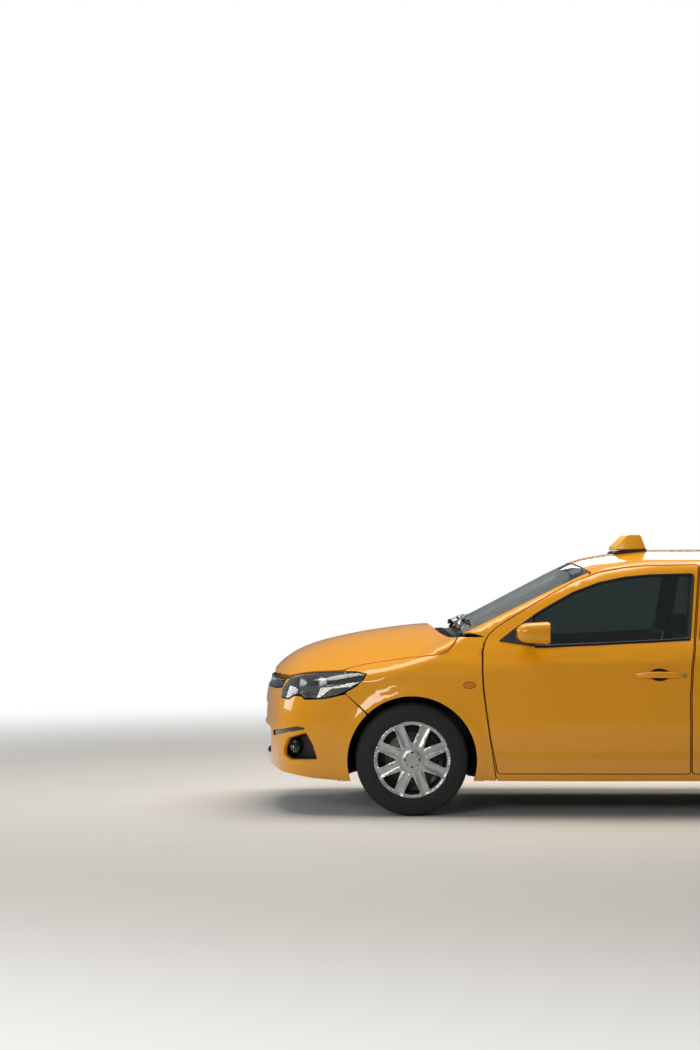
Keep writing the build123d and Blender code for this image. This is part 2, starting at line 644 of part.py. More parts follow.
# boot lid, with a pad at each front corner that closes onto a stop on the body side
with BuildPart() as boot_lid:
    add(SKIN_SHELL)
    add(box(BOOT_X0, BOOT_X1, -BOOT_HALF, BOOT_HALF, BOOT_Z0, BOOT_Z1), mode=Mode.INTERSECT)
    for s in (-1.0, 1.0):
        add(side_box(s, STOP_X0, STOP_X1, PAD_Y0, PAD_Y1, STOP_Z, STOP_Z + PAD_T))
boot_lid.part.label = "boot_lid"
export_step(boot_lid.part, "parts/boot_lid.step")

# bumpers
FOG_POCKET = [
    (-2055.0, 410.0), (-2003.0, 428.0), (-1942.0, 334.0), (-1950.0, 316.0), (-2076.0, 318.0),
    (-2092.0, 350.0),
]
MOUTH = [
    (0.0, 470.0), (300.0, 470.0), (425.0, 462.0), (440.0, 410.0), (395.0, 320.0), (300.0, 312.0),
    (-300.0, 312.0), (-395.0, 320.0), (-440.0, 410.0), (-425.0, 462.0), (-300.0, 470.0),
]
with BuildPart() as front_bumper:
    add(shell(OUTER, form(BUMPER_T, BUMPER_T, INNER_FLOOR, 0.0, SKIN, SKIN, SKIN)))
    add(across_block(BUMPER, REACH), mode=Mode.INTERSECT)
    add(front_block(MOUTH, -2300.0, -2100.0), mode=Mode.SUBTRACT)
    add(side_block(FOG_POCKET, 400.0, REACH), mode=Mode.SUBTRACT)
    add(mirror(side_block(FOG_POCKET, 400.0, REACH), about=Plane.XZ), mode=Mode.SUBTRACT)
    with Locations((FRONT_AXLE_X, 0.0, ARCH_Z)):
        Cylinder(ARCH_R, 2200.0, rotation=(90, 0, 0), mode=Mode.SUBTRACT)
front_bumper.part.label = "front_bumper"
export_step(front_bumper.part, "parts/front_bumper.step")

with BuildPart() as rear_bumper:
    add(shell(OUTER, form(BUMPER_T, BUMPER_T, INNER_FLOOR, 0.0, SKIN, SKIN, SKIN)))
    add(across_block(REAR_BUMPER, REACH), mode=Mode.INTERSECT)
    with Locations((REAR_AXLE_X, 0.0, ARCH_Z)):
        Cylinder(ARCH_R, 2200.0, rotation=(90, 0, 0), mode=Mode.SUBTRACT)
rear_bumper.part.label = "rear_bumper"
export_step(rear_bumper.part, "parts/rear_bumper.step")

# grille: a frame with slats between the headlamps
GRILLE = [(-2300.0, 684.3), (-2060.0, 684.3), (-2060.0, 749.7), (-2300.0, 749.7)]
GRILLE_T = 45.0
with BuildPart() as grille:
    add(shell(OUTER, form(GRILLE_T, GRILLE_T, INNER_FLOOR, GRILLE_T, SKIN, SKIN, SKIN)))
    add(across_block(GRILLE, LAMP_IN - SEAT), mode=Mode.INTERSECT)
grille.part.label = "grille"
export_step(grille.part, "parts/grille.step")

# headlamps and tail lamps
with BuildPart() as headlamp_left:
    add(DOOR_SHELL)
    add(side_block(HEADLAMP, LAMP_IN, REACH), mode=Mode.INTERSECT)
    add(BONNET_ROOM, mode=Mode.SUBTRACT)
headlamp_left.part.label = "headlamp_left"
export_step(headlamp_left.part, "parts/headlamp_left.step")

with BuildPart() as headlamp_right:
    add(mirror(headlamp_left.part, about=Plane.XZ))
headlamp_right.part.label = "headlamp_right"
export_step(headlamp_right.part, "parts/headlamp_right.step")

with BuildPart() as tail_lamp_left:
    add(DOOR_SHELL)
    add(box(LAMP_X0, LAMP_X1, -REACH, -LAMP_Y0, LAMP_Z0, LAMP_Z1), mode=Mode.INTERSECT)
tail_lamp_left.part.label = "tail_lamp_left"
export_step(tail_lamp_left.part, "parts/tail_lamp_left.step")

with BuildPart() as tail_lamp_right:
    add(mirror(tail_lamp_left.part, about=Plane.XZ))
tail_lamp_right.part.label = "tail_lamp_right"
export_step(tail_lamp_right.part, "parts/tail_lamp_right.step")

# door mirror: housing and foot, cut to sit on the door
MIRROR_X0 = -818.0
MIRROR_X1 = -640.0
MIRROR_Z0 = 943.0
MIRROR_Z1 = 1073.0
MIRROR_NEAR = 826.0
with BuildPart() as mirror_left:
    add(box(MIRROR_X0, MIRROR_X1, -HALF_MIRRORS, -MIRROR_NEAR, MIRROR_Z0, MIRROR_Z1))
    fillet(mirror_left.edges().filter_by(Axis.Y), radius=38.0)
    fillet(mirror_left.faces().sort_by(Axis.X)[0].edges(), radius=30.0)
    add(box(-770.0, -690.0, -835.0, -740.0, 945.0, 985.0))
    add(GROWN, mode=Mode.SUBTRACT)
mirror_left.part.label = "mirror_left"
export_step(mirror_left.part, "parts/mirror_left.step")

with BuildPart() as mirror_right:
    add(mirror(mirror_left.part, about=Plane.XZ))
mirror_right.part.label = "mirror_right"
export_step(mirror_right.part, "parts/mirror_right.step")

# taxi sign on the roof
SIGN = [(-211.0, 1400.0), (-211.0, 1462.0), (-125.0, 1551.0), (-65.0, 1551.0), (-29.0, 1462.0),
        (-29.0, 1400.0)]
SIGN_HALF = 190.0
with BuildPart() as taxi_sign:
    add(across_block(SIGN, SIGN_HALF))
    add(GROWN, mode=Mode.SUBTRACT)
taxi_sign.part.label = "taxi_sign"
export_step(taxi_sign.part, "parts/taxi_sign.step")

# steering axis, and the room the turning tyre needs round it
STEER_Y = 650.0
TYRE_SWEEP_R = 378.0

# floor, bulkheads, front rails and wings, boot floor, cut to the body sides
FLOOR_Z = 190.0
FLOOR_T = 20.0
FLOOR_TOP = FLOOR_Z + FLOOR_T
FLOOR_FRONT = -1070.0
FLOOR_REAR = 870.0
WALL_T = 20.0
WIDE = 900.0
BULKHEAD_TOP = 900.0
BOOT_FLOOR_Z = 400.0
BOOT_FLOOR_END = 2150.0
SHELF_X = 1180.0
SHELF_Z = 920.0
SHELF_END = 1590.0
RAIL_IN = 390.0
RAIL_OUT = 470.0
RAIL_Z0 = 420.0
RAIL_Z1 = 500.0
RAIL_END = -2140.0
WING_END = -1800.0
WING_Z0 = 770.0
WING_Z1 = 790.0
WING_T = 20.0
with BuildPart() as floor_pan:
    add(box(FLOOR_FRONT, FLOOR_REAR, -WIDE, WIDE, FLOOR_Z, FLOOR_TOP))
    add(box(FLOOR_FRONT, FLOOR_FRONT + WALL_T, -760.0, 760.0, FLOOR_Z, BULKHEAD_TOP))
    for s in (-1.0, 1.0):
        foot = (FRONT_AXLE_X, s * STEER_Y, 100.0)
        head = (FRONT_AXLE_X, s * STEER_Y, 660.0)
        add(rod(foot, head, TYRE_SWEEP_R), mode=Mode.SUBTRACT)
    add(box(FLOOR_REAR - WALL_T, FLOOR_REAR, -WIDE, WIDE, FLOOR_Z, BOOT_FLOOR_Z + FLOOR_T))
    add(box(FLOOR_REAR - WALL_T, BOOT_FLOOR_END, -WIDE, WIDE, BOOT_FLOOR_Z, BOOT_FLOOR_Z + FLOOR_T))
    add(box(SHELF_X, SHELF_X + WALL_T, -700.0, 700.0, BOOT_FLOOR_Z + 10.0, SHELF_Z + WALL_T))
    add(box(SHELF_X, SHELF_END, -WIDE, WIDE, SHELF_Z, SHELF_Z + WALL_T))
    for s in (-1.0, 1.0):
        add(side_box(s, RAIL_END, FLOOR_FRONT, RAIL_IN, RAIL_OUT, RAIL_Z0, RAIL_Z1))
        add(side_box(s, WING_END, FLOOR_FRONT, RAIL_OUT - WALL_T, RAIL_OUT, RAIL_Z0, WING_Z1))
        add(side_box(s, WING_END, FLOOR_FRONT, RAIL_OUT - WALL_T, 720.0, WING_Z0, WING_Z1))
    add(box(-2040.0, -1990.0, -560.0, 560.0, RAIL_Z0, RAIL_Z1 + 20.0))
    add(FLOOR_SPACE, mode=Mode.INTERSECT)
    for s in (-1.0, 1.0):
        add(rod((REAR_AXLE_X, s * 560, ARCH_Z), (REAR_AXLE_X, s * 1000, ARCH_Z), ARCH_R),
            mode=Mode.SUBTRACT)
    for s in (-1.0, 1.0):
        near = EAR_OUT + RUN_GAP
        add(side_box(s, HINGE_X - POST_HALF, HINGE_X + POST_HALF, POST_FOOT, POST_OUT, WING_Z0,
                     WING_Z1 + WING_T))
        add(side_box(s, HINGE_X - POST_HALF, HINGE_X + POST_HALF, near, POST_OUT, WING_Z1, HINGE_Z))
        add(rod((HINGE_X, s * near, HINGE_Z), (HINGE_X, s * POST_OUT, HINGE_Z), HINGE_EYE_R - 2.0))
        add(rod((HINGE_X, s * (EAR_IN - 4.0), HINGE_Z), (HINGE_X, s * POST_OUT, HINGE_Z),
                HINGE_PIN_R))
floor_pan.part.label = "floor_pan"
export_step(floor_pan.part, "parts/floor_pan.step")

# engine block and the crossmember that carries it
MEMBER_X0 = -1560.0
MEMBER_X1 = -1240.0
MEMBER_HALF = 380.0
MEMBER_Z0 = 205.0
MEMBER_Z1 = 265.0
ENGINE = (-1900.0, -1380.0, -330.0, 330.0, MEMBER_Z1 + SEAT, 780.0)
with BuildPart() as engine_block:
    add(box(*ENGINE))
engine_block.part.label = "engine_block"
export_step(engine_block.part, "parts/engine_block.step")

BALL_R = 12.0
ARM_HALF = 34.0
ARM_OUT = 676.0
ARM_Z0 = MEMBER_Z0 - 15.0
ARM_Z1 = MEMBER_Z0 + 10.0
LINK_X0 = -1300.0
LINK_X1 = -1250.0
LINK_OUT = 450.0
with BuildPart() as front_subframe:
    add(box(MEMBER_X0, MEMBER_X1, -MEMBER_HALF, MEMBER_HALF, MEMBER_Z0, MEMBER_Z1))
    for s in (-1.0, 1.0):
        add(side_box(s, FRONT_AXLE_X - ARM_HALF, FRONT_AXLE_X + ARM_HALF, MEMBER_HALF - 10.0,
                     ARM_OUT, ARM_Z0, ARM_Z1))
        socket_low = (FRONT_AXLE_X, s * STEER_Y, ARM_Z0 - 5.0)
        socket_high = (FRONT_AXLE_X, s * STEER_Y, ARM_Z1 + 5.0)
        add(rod(socket_low, socket_high, BALL_R + SEAT), mode=Mode.SUBTRACT)
        add(side_box(s, LINK_X0, LINK_X1, RAIL_IN + 5.0, LINK_OUT, MEMBER_Z0, RAIL_Z0 - SEAT))
        add(side_box(s, LINK_X0, LINK_X1, MEMBER_HALF - 10.0, LINK_OUT, MEMBER_Z0, MEMBER_Z1))
front_subframe.part.label = "front_subframe"
export_step(front_subframe.part, "parts/front_subframe.step")

# knuckle with strut; it turns with the wheel
KNUCKLE_HALF = 45.0
KNUCKLE_IN = 615.0
KNUCKLE_Z0 = ARM_Z1 + 5.5
KNUCKLE_Z1 = 400.0
STRUT_R = 26.0
STRUT_TOP = 760.0
for side, s in (("left", -1.0), ("right", 1.0)):
    with BuildPart() as knuckle:
        add(side_box(s, FRONT_AXLE_X - KNUCKLE_HALF, FRONT_AXLE_X + KNUCKLE_HALF, KNUCKLE_IN,
                     STEER_Y, KNUCKLE_Z0, KNUCKLE_Z1))
        ball_low = (FRONT_AXLE_X, s * STEER_Y, ARM_Z0 + 3.0)
        ball_high = (FRONT_AXLE_X, s * STEER_Y, KNUCKLE_Z0 + 25.0)
        add(rod(ball_low, ball_high, BALL_R))
        add(rod((FRONT_AXLE_X, s * 640.0, TYRE_R), (FRONT_AXLE_X, s * 790.0, TYRE_R), PIN_R))
        strut_low = (FRONT_AXLE_X, s * 620.0, KNUCKLE_Z1 - 10.0)
        strut_high = (FRONT_AXLE_X, s * 590.0, STRUT_TOP)
        add(rod(strut_low, strut_high, STRUT_R))
    knuckle.part.label = "knuckle_" + side
    export_step(knuckle.part, "parts/knuckle_" + side + ".step")

# rear axle: a beam, two arms and two pins
AXLE_FRONT = 920.0
BEAM_Z0 = 255.0
BEAM_Z1 = 315.0
TRAIL_IN = 570.0
TRAIL_OUT = 615.0
TRAIL_Z0 = 265.0
TRAIL_Z1 = 345.0
with BuildPart() as rear_axle:
    add(box(AXLE_FRONT + 90.0, AXLE_FRONT + 150.0, -590.0, 590.0, BEAM_Z0, BEAM_Z1))
    for s in (-1.0, 1.0):
        add(side_box(s, AXLE_FRONT - 30.0, REAR_AXLE_X + 45.0, TRAIL_IN, TRAIL_OUT, TRAIL_Z0,
                     TRAIL_Z1))
        add(side_box(s, AXLE_FRONT - 30.0, AXLE_FRONT + 40.0, 480.0, 600.0, TRAIL_Z0,
                     BOOT_FLOOR_Z - SEAT))
        add(rod((REAR_AXLE_X, s * 600.0, TYRE_R), (REAR_AXLE_X, s * 779.0, TYRE_R), PIN_R))
rear_axle.part.label = "rear_axle"
export_step(rear_axle.part, "parts/rear_axle.step")

# exhaust along the floor
PIPE_R = 22.0
PIPE_Y = 120.0
PIPE_Z = FLOOR_Z - SEAT - PIPE_R
BOX_HALF = 90.0
with BuildPart() as exhaust:
    add(rod((-1150.0, PIPE_Y, PIPE_Z), (820.0, PIPE_Y, PIPE_Z), PIPE_R))
    add(box(-60.0, 340.0, PIPE_Y - BOX_HALF, PIPE_Y + BOX_HALF, PIPE_Z - PIPE_R, PIPE_Z + PIPE_R))
exhaust.part.label = "exhaust"
export_step(exhaust.part, "parts/exhaust.step")

# wheels with covers, and tyres
for place, axle_x, wheel_y in (
    ("front", FRONT_AXLE_X, FRONT_WHEEL_Y),
    ("rear", REAR_AXLE_X, REAR_WHEEL_Y),
):
    for side, s in (("left", -1.0), ("right", 1.0)):
        centre = Vector(axle_x, s * wheel_y, TYRE_R)
        plane = Plane(origin=centre, x_dir=(1, 0, 0), z_dir=(0, s, 0))
        half = 0.5 * RIM_W
        with BuildPart(plane) as wheel:
            with BuildSketch(Plane(origin=centre, x_dir=(1, 0, 0), z_dir=(0, 0, s))):
                with BuildLine():
                    Polyline(
                        (RIM_R, -half), (RIM_WELL_R + 6, -half + 14), (RIM_WELL_R + 6, 0.0),
                        (RIM_WELL_R + 6, half - 14), (RIM_R, half),
                        (RIM_R - RIM_T, half), (RIM_WELL_R, half - 14 - RIM_T),
                        (RIM_WELL_R, -half + 14 + RIM_T), (RIM_R - RIM_T, -half),
                        close=True,
                    )
                make_face()
            revolve(axis=Axis(centre, (0, s, 0)), revolution_arc=360)
            with BuildSketch(plane.offset(DISC_OUT)):
                Circle(RIM_WELL_R + 3)
                Circle(BORE_R, mode=Mode.SUBTRACT)
                with PolarLocations(BOLT_CIRCLE_R, BOLT_COUNT, start_angle=45):
                    Circle(BOLT_HOLE_R, mode=Mode.SUBTRACT)
            extrude(amount=DISC_T)
            with BuildSketch(plane.offset(half - 8.0)):
                Circle(RIM_R - RIM_T)
                Circle(RIM_R - RIM_T - 8.0, mode=Mode.SUBTRACT)
            extrude(amount=8.0 + COVER_LIFT)
            with BuildSketch(plane.offset(half + COVER_LIFT)):
                Circle(COVER_R)
                for k in range(COVER_WINDOWS):
                    with BuildLine():
                        Polyline(*turned(COVER_WINDOW, 360.0 * k / COVER_WINDOWS), close=True)
                    make_face(mode=Mode.SUBTRACT)
            extrude(amount=COVER_T)
        wheel.part.label = "wheel_" + place + "_" + side
        export_step(wheel.part, "parts/wheel_" + place + "_" + side + ".step")
        with BuildPart(plane) as tyre:
            with BuildSketch(Plane(origin=centre, x_dir=(1, 0, 0), z_dir=(0, 0, s))):
                with BuildLine():
                    wide = 0.5 * TYRE_W
                    Polyline(
                        (RIM_R + SEAT, -half), (228.0, -wide + 4), (258.0, -wide),
                        (288.0, -wide + 6), (305.0, -wide + 22), (TYRE_R, -wide + 40),
                        (TYRE_R, wide - 40), (305.0, wide - 22), (288.0, wide - 6),
                        (258.0, wide), (228.0, wide - 4), (RIM_R + SEAT, half),
                        (RIM_R + SEAT, half - 8), (218.0, half - 6), (260.0, half - 2),
                        (292.0, half - 24), (292.0, -half + 24), (260.0, -half + 2),
                        (218.0, -half + 6), (RIM_R + SEAT, -half + 8),
                        close=True,
                    )
                make_face()
            revolve(axis=Axis(centre, (0, s, 0)), revolution_arc=360)
        tyre.part.label = "tyre_" + place + "_" + side
        export_step(tyre.part, "parts/tyre_" + place + "_" + side + ".step")

# dashboard, steering wheel, seats
with BuildPart() as dashboard:
    add(box(-1049.7, -700.0, -900.0, 900.0, 640.0, 930.0))
    fillet(dashboard.edges().filter_by(Axis.Y).sort_by(Axis.X)[-2:], radius=40.0)
    add(box(-1049.7, -560.0, -110.0, 110.0, FLOOR_TOP + SEAT, 660.0))
    add(FLOOR_SPACE, mode=Mode.INTERSECT)
dashboard.part.label = "dashboard"
export_step(dashboard.part, "parts/dashboard.step")

WHEEL_Y = -350.0
COLUMN_START = Vector(-699.7, WHEEL_Y, 785.0)
COLUMN_END = Vector(-560.0, WHEEL_Y, 850.0)
with BuildPart() as steering_wheel:
    add(rod(COLUMN_START + 0.15 * (COLUMN_END - COLUMN_START), COLUMN_END, 24.0))
    add(box(-699.7, -640.0, WHEEL_Y - 40.0, WHEEL_Y + 40.0, 760.0, 830.0))
    lean = (COLUMN_END - COLUMN_START).normalized()
    ring = Plane(origin=COLUMN_END, x_dir=(0, 1, 0), z_dir=lean)
    with BuildSketch(ring):
        Circle(188.0)
        Circle(160.0, mode=Mode.SUBTRACT)
        Rectangle(340.0, 26.0)
        Circle(60.0)
    extrude(amount=26.0, both=False)
steering_wheel.part.label = "steering_wheel"
export_step(steering_wheel.part, "parts/steering_wheel.step")

SEAT_PROFILE = [
    (-520.0, 330.0), (-540.0, 480.0), (-500.0, 500.0), (-120.0, 470.0), (-10.0, 560.0),
    (70.0, 900.0), (110.0, 960.0), (120.0, 1110.0), (170.0, 1120.0), (190.0, 960.0),
    (160.0, 860.0), (60.0, 480.0), (20.0, 350.0),
]
for side, s in (("left", -1.0), ("right", 1.0)):
    with BuildPart() as front_seat:
        with BuildSketch(Plane(origin=(0, s * 345 + 235, 0), x_dir=(1, 0, 0), z_dir=(0, -1, 0))):
            with BuildLine():
                Polyline(*SEAT_PROFILE, close=True)
            make_face()
        extrude(amount=470.0)
        for edge in (-1.0, 1.0):
            add(box(90.0, 260.0, s * 345 + edge * 235 - 120, s * 345 + edge * 235 + 120,
                    975.0, 1200.0), mode=Mode.SUBTRACT)
        add(box(-450.0, -20.0, s * 345 - 200, s * 345 + 200, FLOOR_TOP + SEAT, 335.0))
    front_seat.part.label = "front_seat_" + side
    export_step(front_seat.part, "parts/front_seat_" + side + ".step")

BENCH_PROFILE = [
    (440.0, FLOOR_TOP + SEAT), (430.0, 450.0), (470.0, 500.0), (860.0, 470.0), (960.0, 560.0),
    (1120.0, 935.0), (1179.7, 938.0), (1179.7, 420.0 + SEAT), (849.7, 420.0 + SEAT),
    (849.7, FLOOR_TOP + SEAT),
]
with BuildPart() as rear_bench:
    add(across_block(BENCH_PROFILE, 555.0))
rear_bench.part.label = "rear_bench"
export_step(rear_bench.part, "parts/rear_bench.step")
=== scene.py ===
# %% [markdown]
# # A saloon taxi, dressed over its imported frame
# The frame gives every solid piece of the car at its real size and place. This lesson
# lays the visible surfaces over it: pressed body panels, glass, lamps, wheels and cabin.
# The frame is loaded first. Nothing may grow past it.

import math

import bmesh
import bpy
import numpy as np
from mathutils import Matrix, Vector
from mathutils.geometry import delaunay_2d_cdt


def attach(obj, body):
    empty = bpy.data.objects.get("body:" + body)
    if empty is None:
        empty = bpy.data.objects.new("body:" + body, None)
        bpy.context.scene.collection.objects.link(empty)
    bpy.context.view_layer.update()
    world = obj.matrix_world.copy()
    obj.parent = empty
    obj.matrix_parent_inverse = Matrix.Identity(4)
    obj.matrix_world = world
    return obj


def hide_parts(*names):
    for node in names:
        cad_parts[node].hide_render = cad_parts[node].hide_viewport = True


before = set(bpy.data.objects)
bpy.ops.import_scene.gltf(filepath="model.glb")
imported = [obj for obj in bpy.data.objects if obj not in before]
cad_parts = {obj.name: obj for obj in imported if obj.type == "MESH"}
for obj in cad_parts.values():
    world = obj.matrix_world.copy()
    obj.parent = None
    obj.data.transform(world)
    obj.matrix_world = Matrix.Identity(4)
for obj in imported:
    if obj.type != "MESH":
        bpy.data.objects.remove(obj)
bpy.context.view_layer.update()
print("frame:", len(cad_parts), "solid pieces")

# %% [markdown]
# ## The body's main lines
# A pressed steel body is one flowing surface that is later cut into panels. The lines
# that drive it are the outline seen from above at six heights, and the arch of the
# bonnet, roof and boot at points along the car. All values are millimetres, with X from
# nose to tail, Y across and Z up.

# %% Driving lines of the body
MM = 0.001
SIDES = ((-1, "left"), (1, "right"))
OUTLINES = {
    "height": (186, 240, 520, 830, 960, 1110),
    "nose": (-2168, -2200, -2221, -2175, -2140, -2100),
    "nose corner x": (-2100, -2118, -2126, -2040, -1960, -1900),
    "nose corner y": (620, 640, 655, 620, 560, 520),
    "flank front x": (-1880, -1900, -1900, -1800, -1720, -1660),
    "flank front y": (770, 793, 817, 800, 715, 650),
    "flank rear x": (1885, 1900, 1920, 1850, 1800, 1750),
    "flank rear y": (770, 790, 813, 800, 735, 690),
    "tail corner x": (2115, 2130, 2138, 2100, 2060, 2030),
    "tail corner y": (615, 630, 650, 620, 600, 570),
    "tail": (2175, 2200, 2221, 2190, 2165, 2135),
}
WIDEST = {
    "height": (186, 225, 300, 324, 340, 520, 700, 790, 832, 845, 885, 920, 960, 1110),
    "half": (832, 849, 858, 863, 860.5, 873, 873, 870, 867, 862, 842, 822, 798, 745),
}
SHOULDER = {
    "x": (-2100, -1900, -1637, -1191, -1003, -638, -363, -87, 185, 1100, 2100),
    "height": (745, 762, 776, 785, 798, 824, 839, 849, 857, 885, 900),
}
SHOULDER_LEVEL = 835 * MM
LOWER_TOP = {
    "x": (-2260, -2188, -2078, -1957, -1779, -1555, -1301, -1140, -1000, 1089, 1560, 2000, 2270),
    "middle": (560, 750, 859, 919, 968, 1009, 1037, 1042, 1010, 1010, 1088, 1070, 1042),
    "edge": (380, 560, 630, 668, 702, 745, 830, 915, 935, 950, 955, 930, 880),
}
BAND_HALF = 905 * MM
ROOF_TOP = {
    "x": (-1500, -700, -450, -209, 17, 308, 700, 939, 1200, 2000),
    "middle": (1290, 1345, 1401, 1443, 1464, 1466, 1453, 1430, 1393, 1290),
}
ROOF_HALF = 840 * MM
ROOF_FALL = 139 * MM
CABIN_LOW = 900 * MM
CABIN_HIGH = 1480 * MM
CABIN_FLOOR = 905 * MM
CABIN = {
    "screen middle x": (-1401, -298),
    "screen corner x": (-1298, -88),
    "screen corner y": (780, 535),
    "half": (822, 585),
    "back corner x": (1790, 735),
    "back corner y": (775, 545),
    "back middle x": (1921, 847),
}
FRONT_AXLE = -1391
REAR_AXLE = 1261
ARCH = 356
FRONT_AXLE_X = FRONT_AXLE * MM
REAR_AXLE_X = REAR_AXLE * MM
ARCH_Z = 303 * MM
ARCH_R = ARCH * MM
TYRE_R = 0.3105

# %% [markdown]
# ## Curves that never overshoot
# A stylist's spline stays calm between its points. Plain cubic interpolation would
# ripple, and ripples show at once in gloss paint, so the slopes at the points are taken
# as weighted harmonic means, which keeps every stretch monotonic.

# %% Smooth curves through driving points


def curve_through(xs, ys):
    """A smooth function through the points, with no overshoot between them."""
    xs = np.array(xs, float) * MM
    ys = np.array(ys, float) * MM
    gap = np.diff(xs)
    rise = np.diff(ys) / gap
    slope = np.zeros(len(xs))
    slope[0] = rise[0]
    slope[-1] = rise[-1]
    for i in range(1, len(xs) - 1):
        if rise[i - 1] * rise[i] > 0:
            w1 = 2 * gap[i] + gap[i - 1]
            w2 = gap[i] + 2 * gap[i - 1]
            slope[i] = (w1 + w2) / (w1 / rise[i - 1] + w2 / rise[i])

    def at(x):
        x = np.clip(np.asarray(x, float), xs[0], xs[-1])
        i = np.clip(np.searchsorted(xs, x) - 1, 0, len(xs) - 2)
        t = (x - xs[i]) / gap[i]
        start = (1 + 2 * t) * (1 - t) ** 2
        leave = t * (1 - t) ** 2
        end = t * t * (3 - 2 * t)
        arrive = t * t * (t - 1)
        step = gap[i]
        return (
            start * ys[i] + leave * step * slope[i] + end * ys[i + 1] + arrive * step * slope[i + 1]
        )

    return at


plan = {key: curve_through(OUTLINES["height"], OUTLINES[key]) for key in OUTLINES if key != "height"}
widest = curve_through(WIDEST["height"], WIDEST["half"])
shoulder_height = curve_through(SHOULDER["x"], SHOULDER["height"])
lower_middle = curve_through(LOWER_TOP["x"], LOWER_TOP["middle"])
lower_edge = curve_through(LOWER_TOP["x"], LOWER_TOP["edge"])
roof_middle = curve_through(ROOF_TOP["x"], ROOF_TOP["middle"])
print("half width of the doors at their widest:", float(widest(0.6)), "m")

# %% [markdown]
# ## One skin for the whole body
# The body is described by a depth function: zero on the skin, positive inside. Each
# face of the body, such as the flank, the bonnet's arch or the windscreen, gives the
# depth under itself, and a soft minimum joins them, which rounds the edges the way
# pressed sheet does. Shut lines, window edges and flanges can then be found at any depth.

# %% The depth under the skin


def soft_min(a, b, width):
    """The smaller value, rounded over a width where the two are close."""
    share = np.clip(0.5 + 0.5 * (b - a) / width, 0.0, 1.0)
    return b + (a - b) * share - width * share * (1.0 - share)


def soft_step(low, high, x):
    """Zero below low, one above high, and a smooth rise between."""
    t = np.clip((x - low) / (high - low), 0.0, 1.0)
    return t * t * (3.0 - 2.0 * t)


HANDLE_CUP = (-36 * MM, 777 * MM, 66 * MM, 43 * MM, 15 * MM)
REAR_HANDLE_CUP = (882 * MM, 822 * MM, 66 * MM, 43 * MM, 15 * MM)
FLARE_REACH = 72 * MM
FLARE_RISE = 9 * MM


def flank_half(x, z):
    """Half the width of the lower body, with its creases, arch flares and handle cups."""
    shifted = z + SHOULDER_LEVEL - shoulder_height(x)
    blend = soft_step(0.55, 0.75, z)
    half = widest(z + (shifted - z) * blend)
    front = (half - plan["flank front y"](z)) * (x / plan["flank front x"](z)) ** 2
    rear = (half - plan["flank rear y"](z)) * (x / plan["flank rear x"](z)) ** 2
    half = half - np.where(x < 0, front, rear)
    for axle in (FRONT_AXLE_X, REAR_AXLE_X):
        away = np.hypot(x - axle, z - ARCH_Z) - ARCH_R
        half = half + FLARE_RISE * soft_step(FLARE_REACH, 0.15 * FLARE_REACH, away)
    for cx, cz, rx, rz, deep in (HANDLE_CUP, REAR_HANDLE_CUP):
        r = np.hypot((x - cx) / rx, (z - cz) / rz)
        half = half - deep * soft_step(1.0, 0.25, r)
    return half


def cabin_line(key, z):
    """A value of the cabin's outline at a height."""
    low, high = CABIN[key]
    t = (z - CABIN_LOW) / (CABIN_HIGH - CABIN_LOW)
    return (low + (high - low) * t) * MM


def skin_depth(x, y, z):
    """How deep a point lies under the body's skin: zero on it, positive inside."""
    y = np.abs(y)
    z_low = np.clip(z, 186 * MM, 1110 * MM)
    nose = plan["nose"](z_low)
    nose_corner = plan["nose corner x"](z_low)
    front = x - nose - (nose_corner - nose) * (y / plan["nose corner y"](z_low)) ** 2
    tail = plan["tail"](z_low)
    tail_corner = plan["tail corner x"](z_low)
    rear = tail - (tail - tail_corner) * (y / plan["tail corner y"](z_low)) ** 2 - x
    side = flank_half(x, z_low) - y
    fall = lower_middle(x) - lower_edge(x)
    top = (lower_middle(x) - fall * (y / BAND_HALF) ** 2 - z) * 0.93
    lower = soft_min(side, 0.93 * front, 0.20)
    lower = soft_min(lower, 0.93 * rear, 0.20)
    lower = soft_min(lower, top, 0.035)
    corner_y = cabin_line("screen corner y", z)
    screen_middle = cabin_line("screen middle x", z)
    screen_corner = cabin_line("screen corner x", z)
    screen = x - screen_middle - (screen_corner - screen_middle) * (y / corner_y) ** 2
    back_corner = cabin_line("back corner x", z)
    back_middle = cabin_line("back middle x", z)
    back = back_middle - (back_middle - back_corner) * (y / cabin_line("back corner y", z)) ** 2 - x
    middle = 0.5 * (screen_corner + back_corner)
    reach = 0.5 * (back_corner - screen_corner)
    cabin_half = cabin_line("half", z)
    along = (x - middle) / reach
    flank = (cabin_half - (cabin_half - corner_y) * along ** 2 - y) * 0.925
    roof = roof_middle(x) - ROOF_FALL * (y / ROOF_HALF) ** 2 - z
    cabin = soft_min(flank, roof, 0.055)
    cabin = soft_min(cabin, 0.466 * screen, 0.03)
    cabin = soft_min(cabin, 0.475 * back, 0.05)
    cabin = np.minimum(cabin, z - CABIN_FLOOR)
    return -soft_min(-lower, -cabin, 0.025)


def skin_normal(points):
    """The direction out of the body at points near its skin."""
    h = 0.5 * MM
    p = np.asarray(points, float)
    grad = np.zeros_like(p)
    for axis in range(3):
        step = np.zeros(3)
        step[axis] = h
        grad[:, axis] = skin_depth(*(p + step).T) - skin_depth(*(p - step).T)
    return -grad / np.linalg.norm(grad, axis=1)[:, None]


def reach_skin(start, along, depth=0.0):
    """Goes from points inside the body along given directions, to a depth under the skin."""
    start = np.asarray(start, float)
    along = np.asarray(along, float)
    near = np.zeros(len(start))
    far = np.ones(len(start))
    for _ in range(24):
        half = 0.5 * (near + far)
        inside = skin_depth(*(start + along * half[:, None]).T) > depth
        near = np.where(inside, half, near)
        far = np.where(inside, far, half)
    return start + along * (0.5 * (near + far))[:, None]


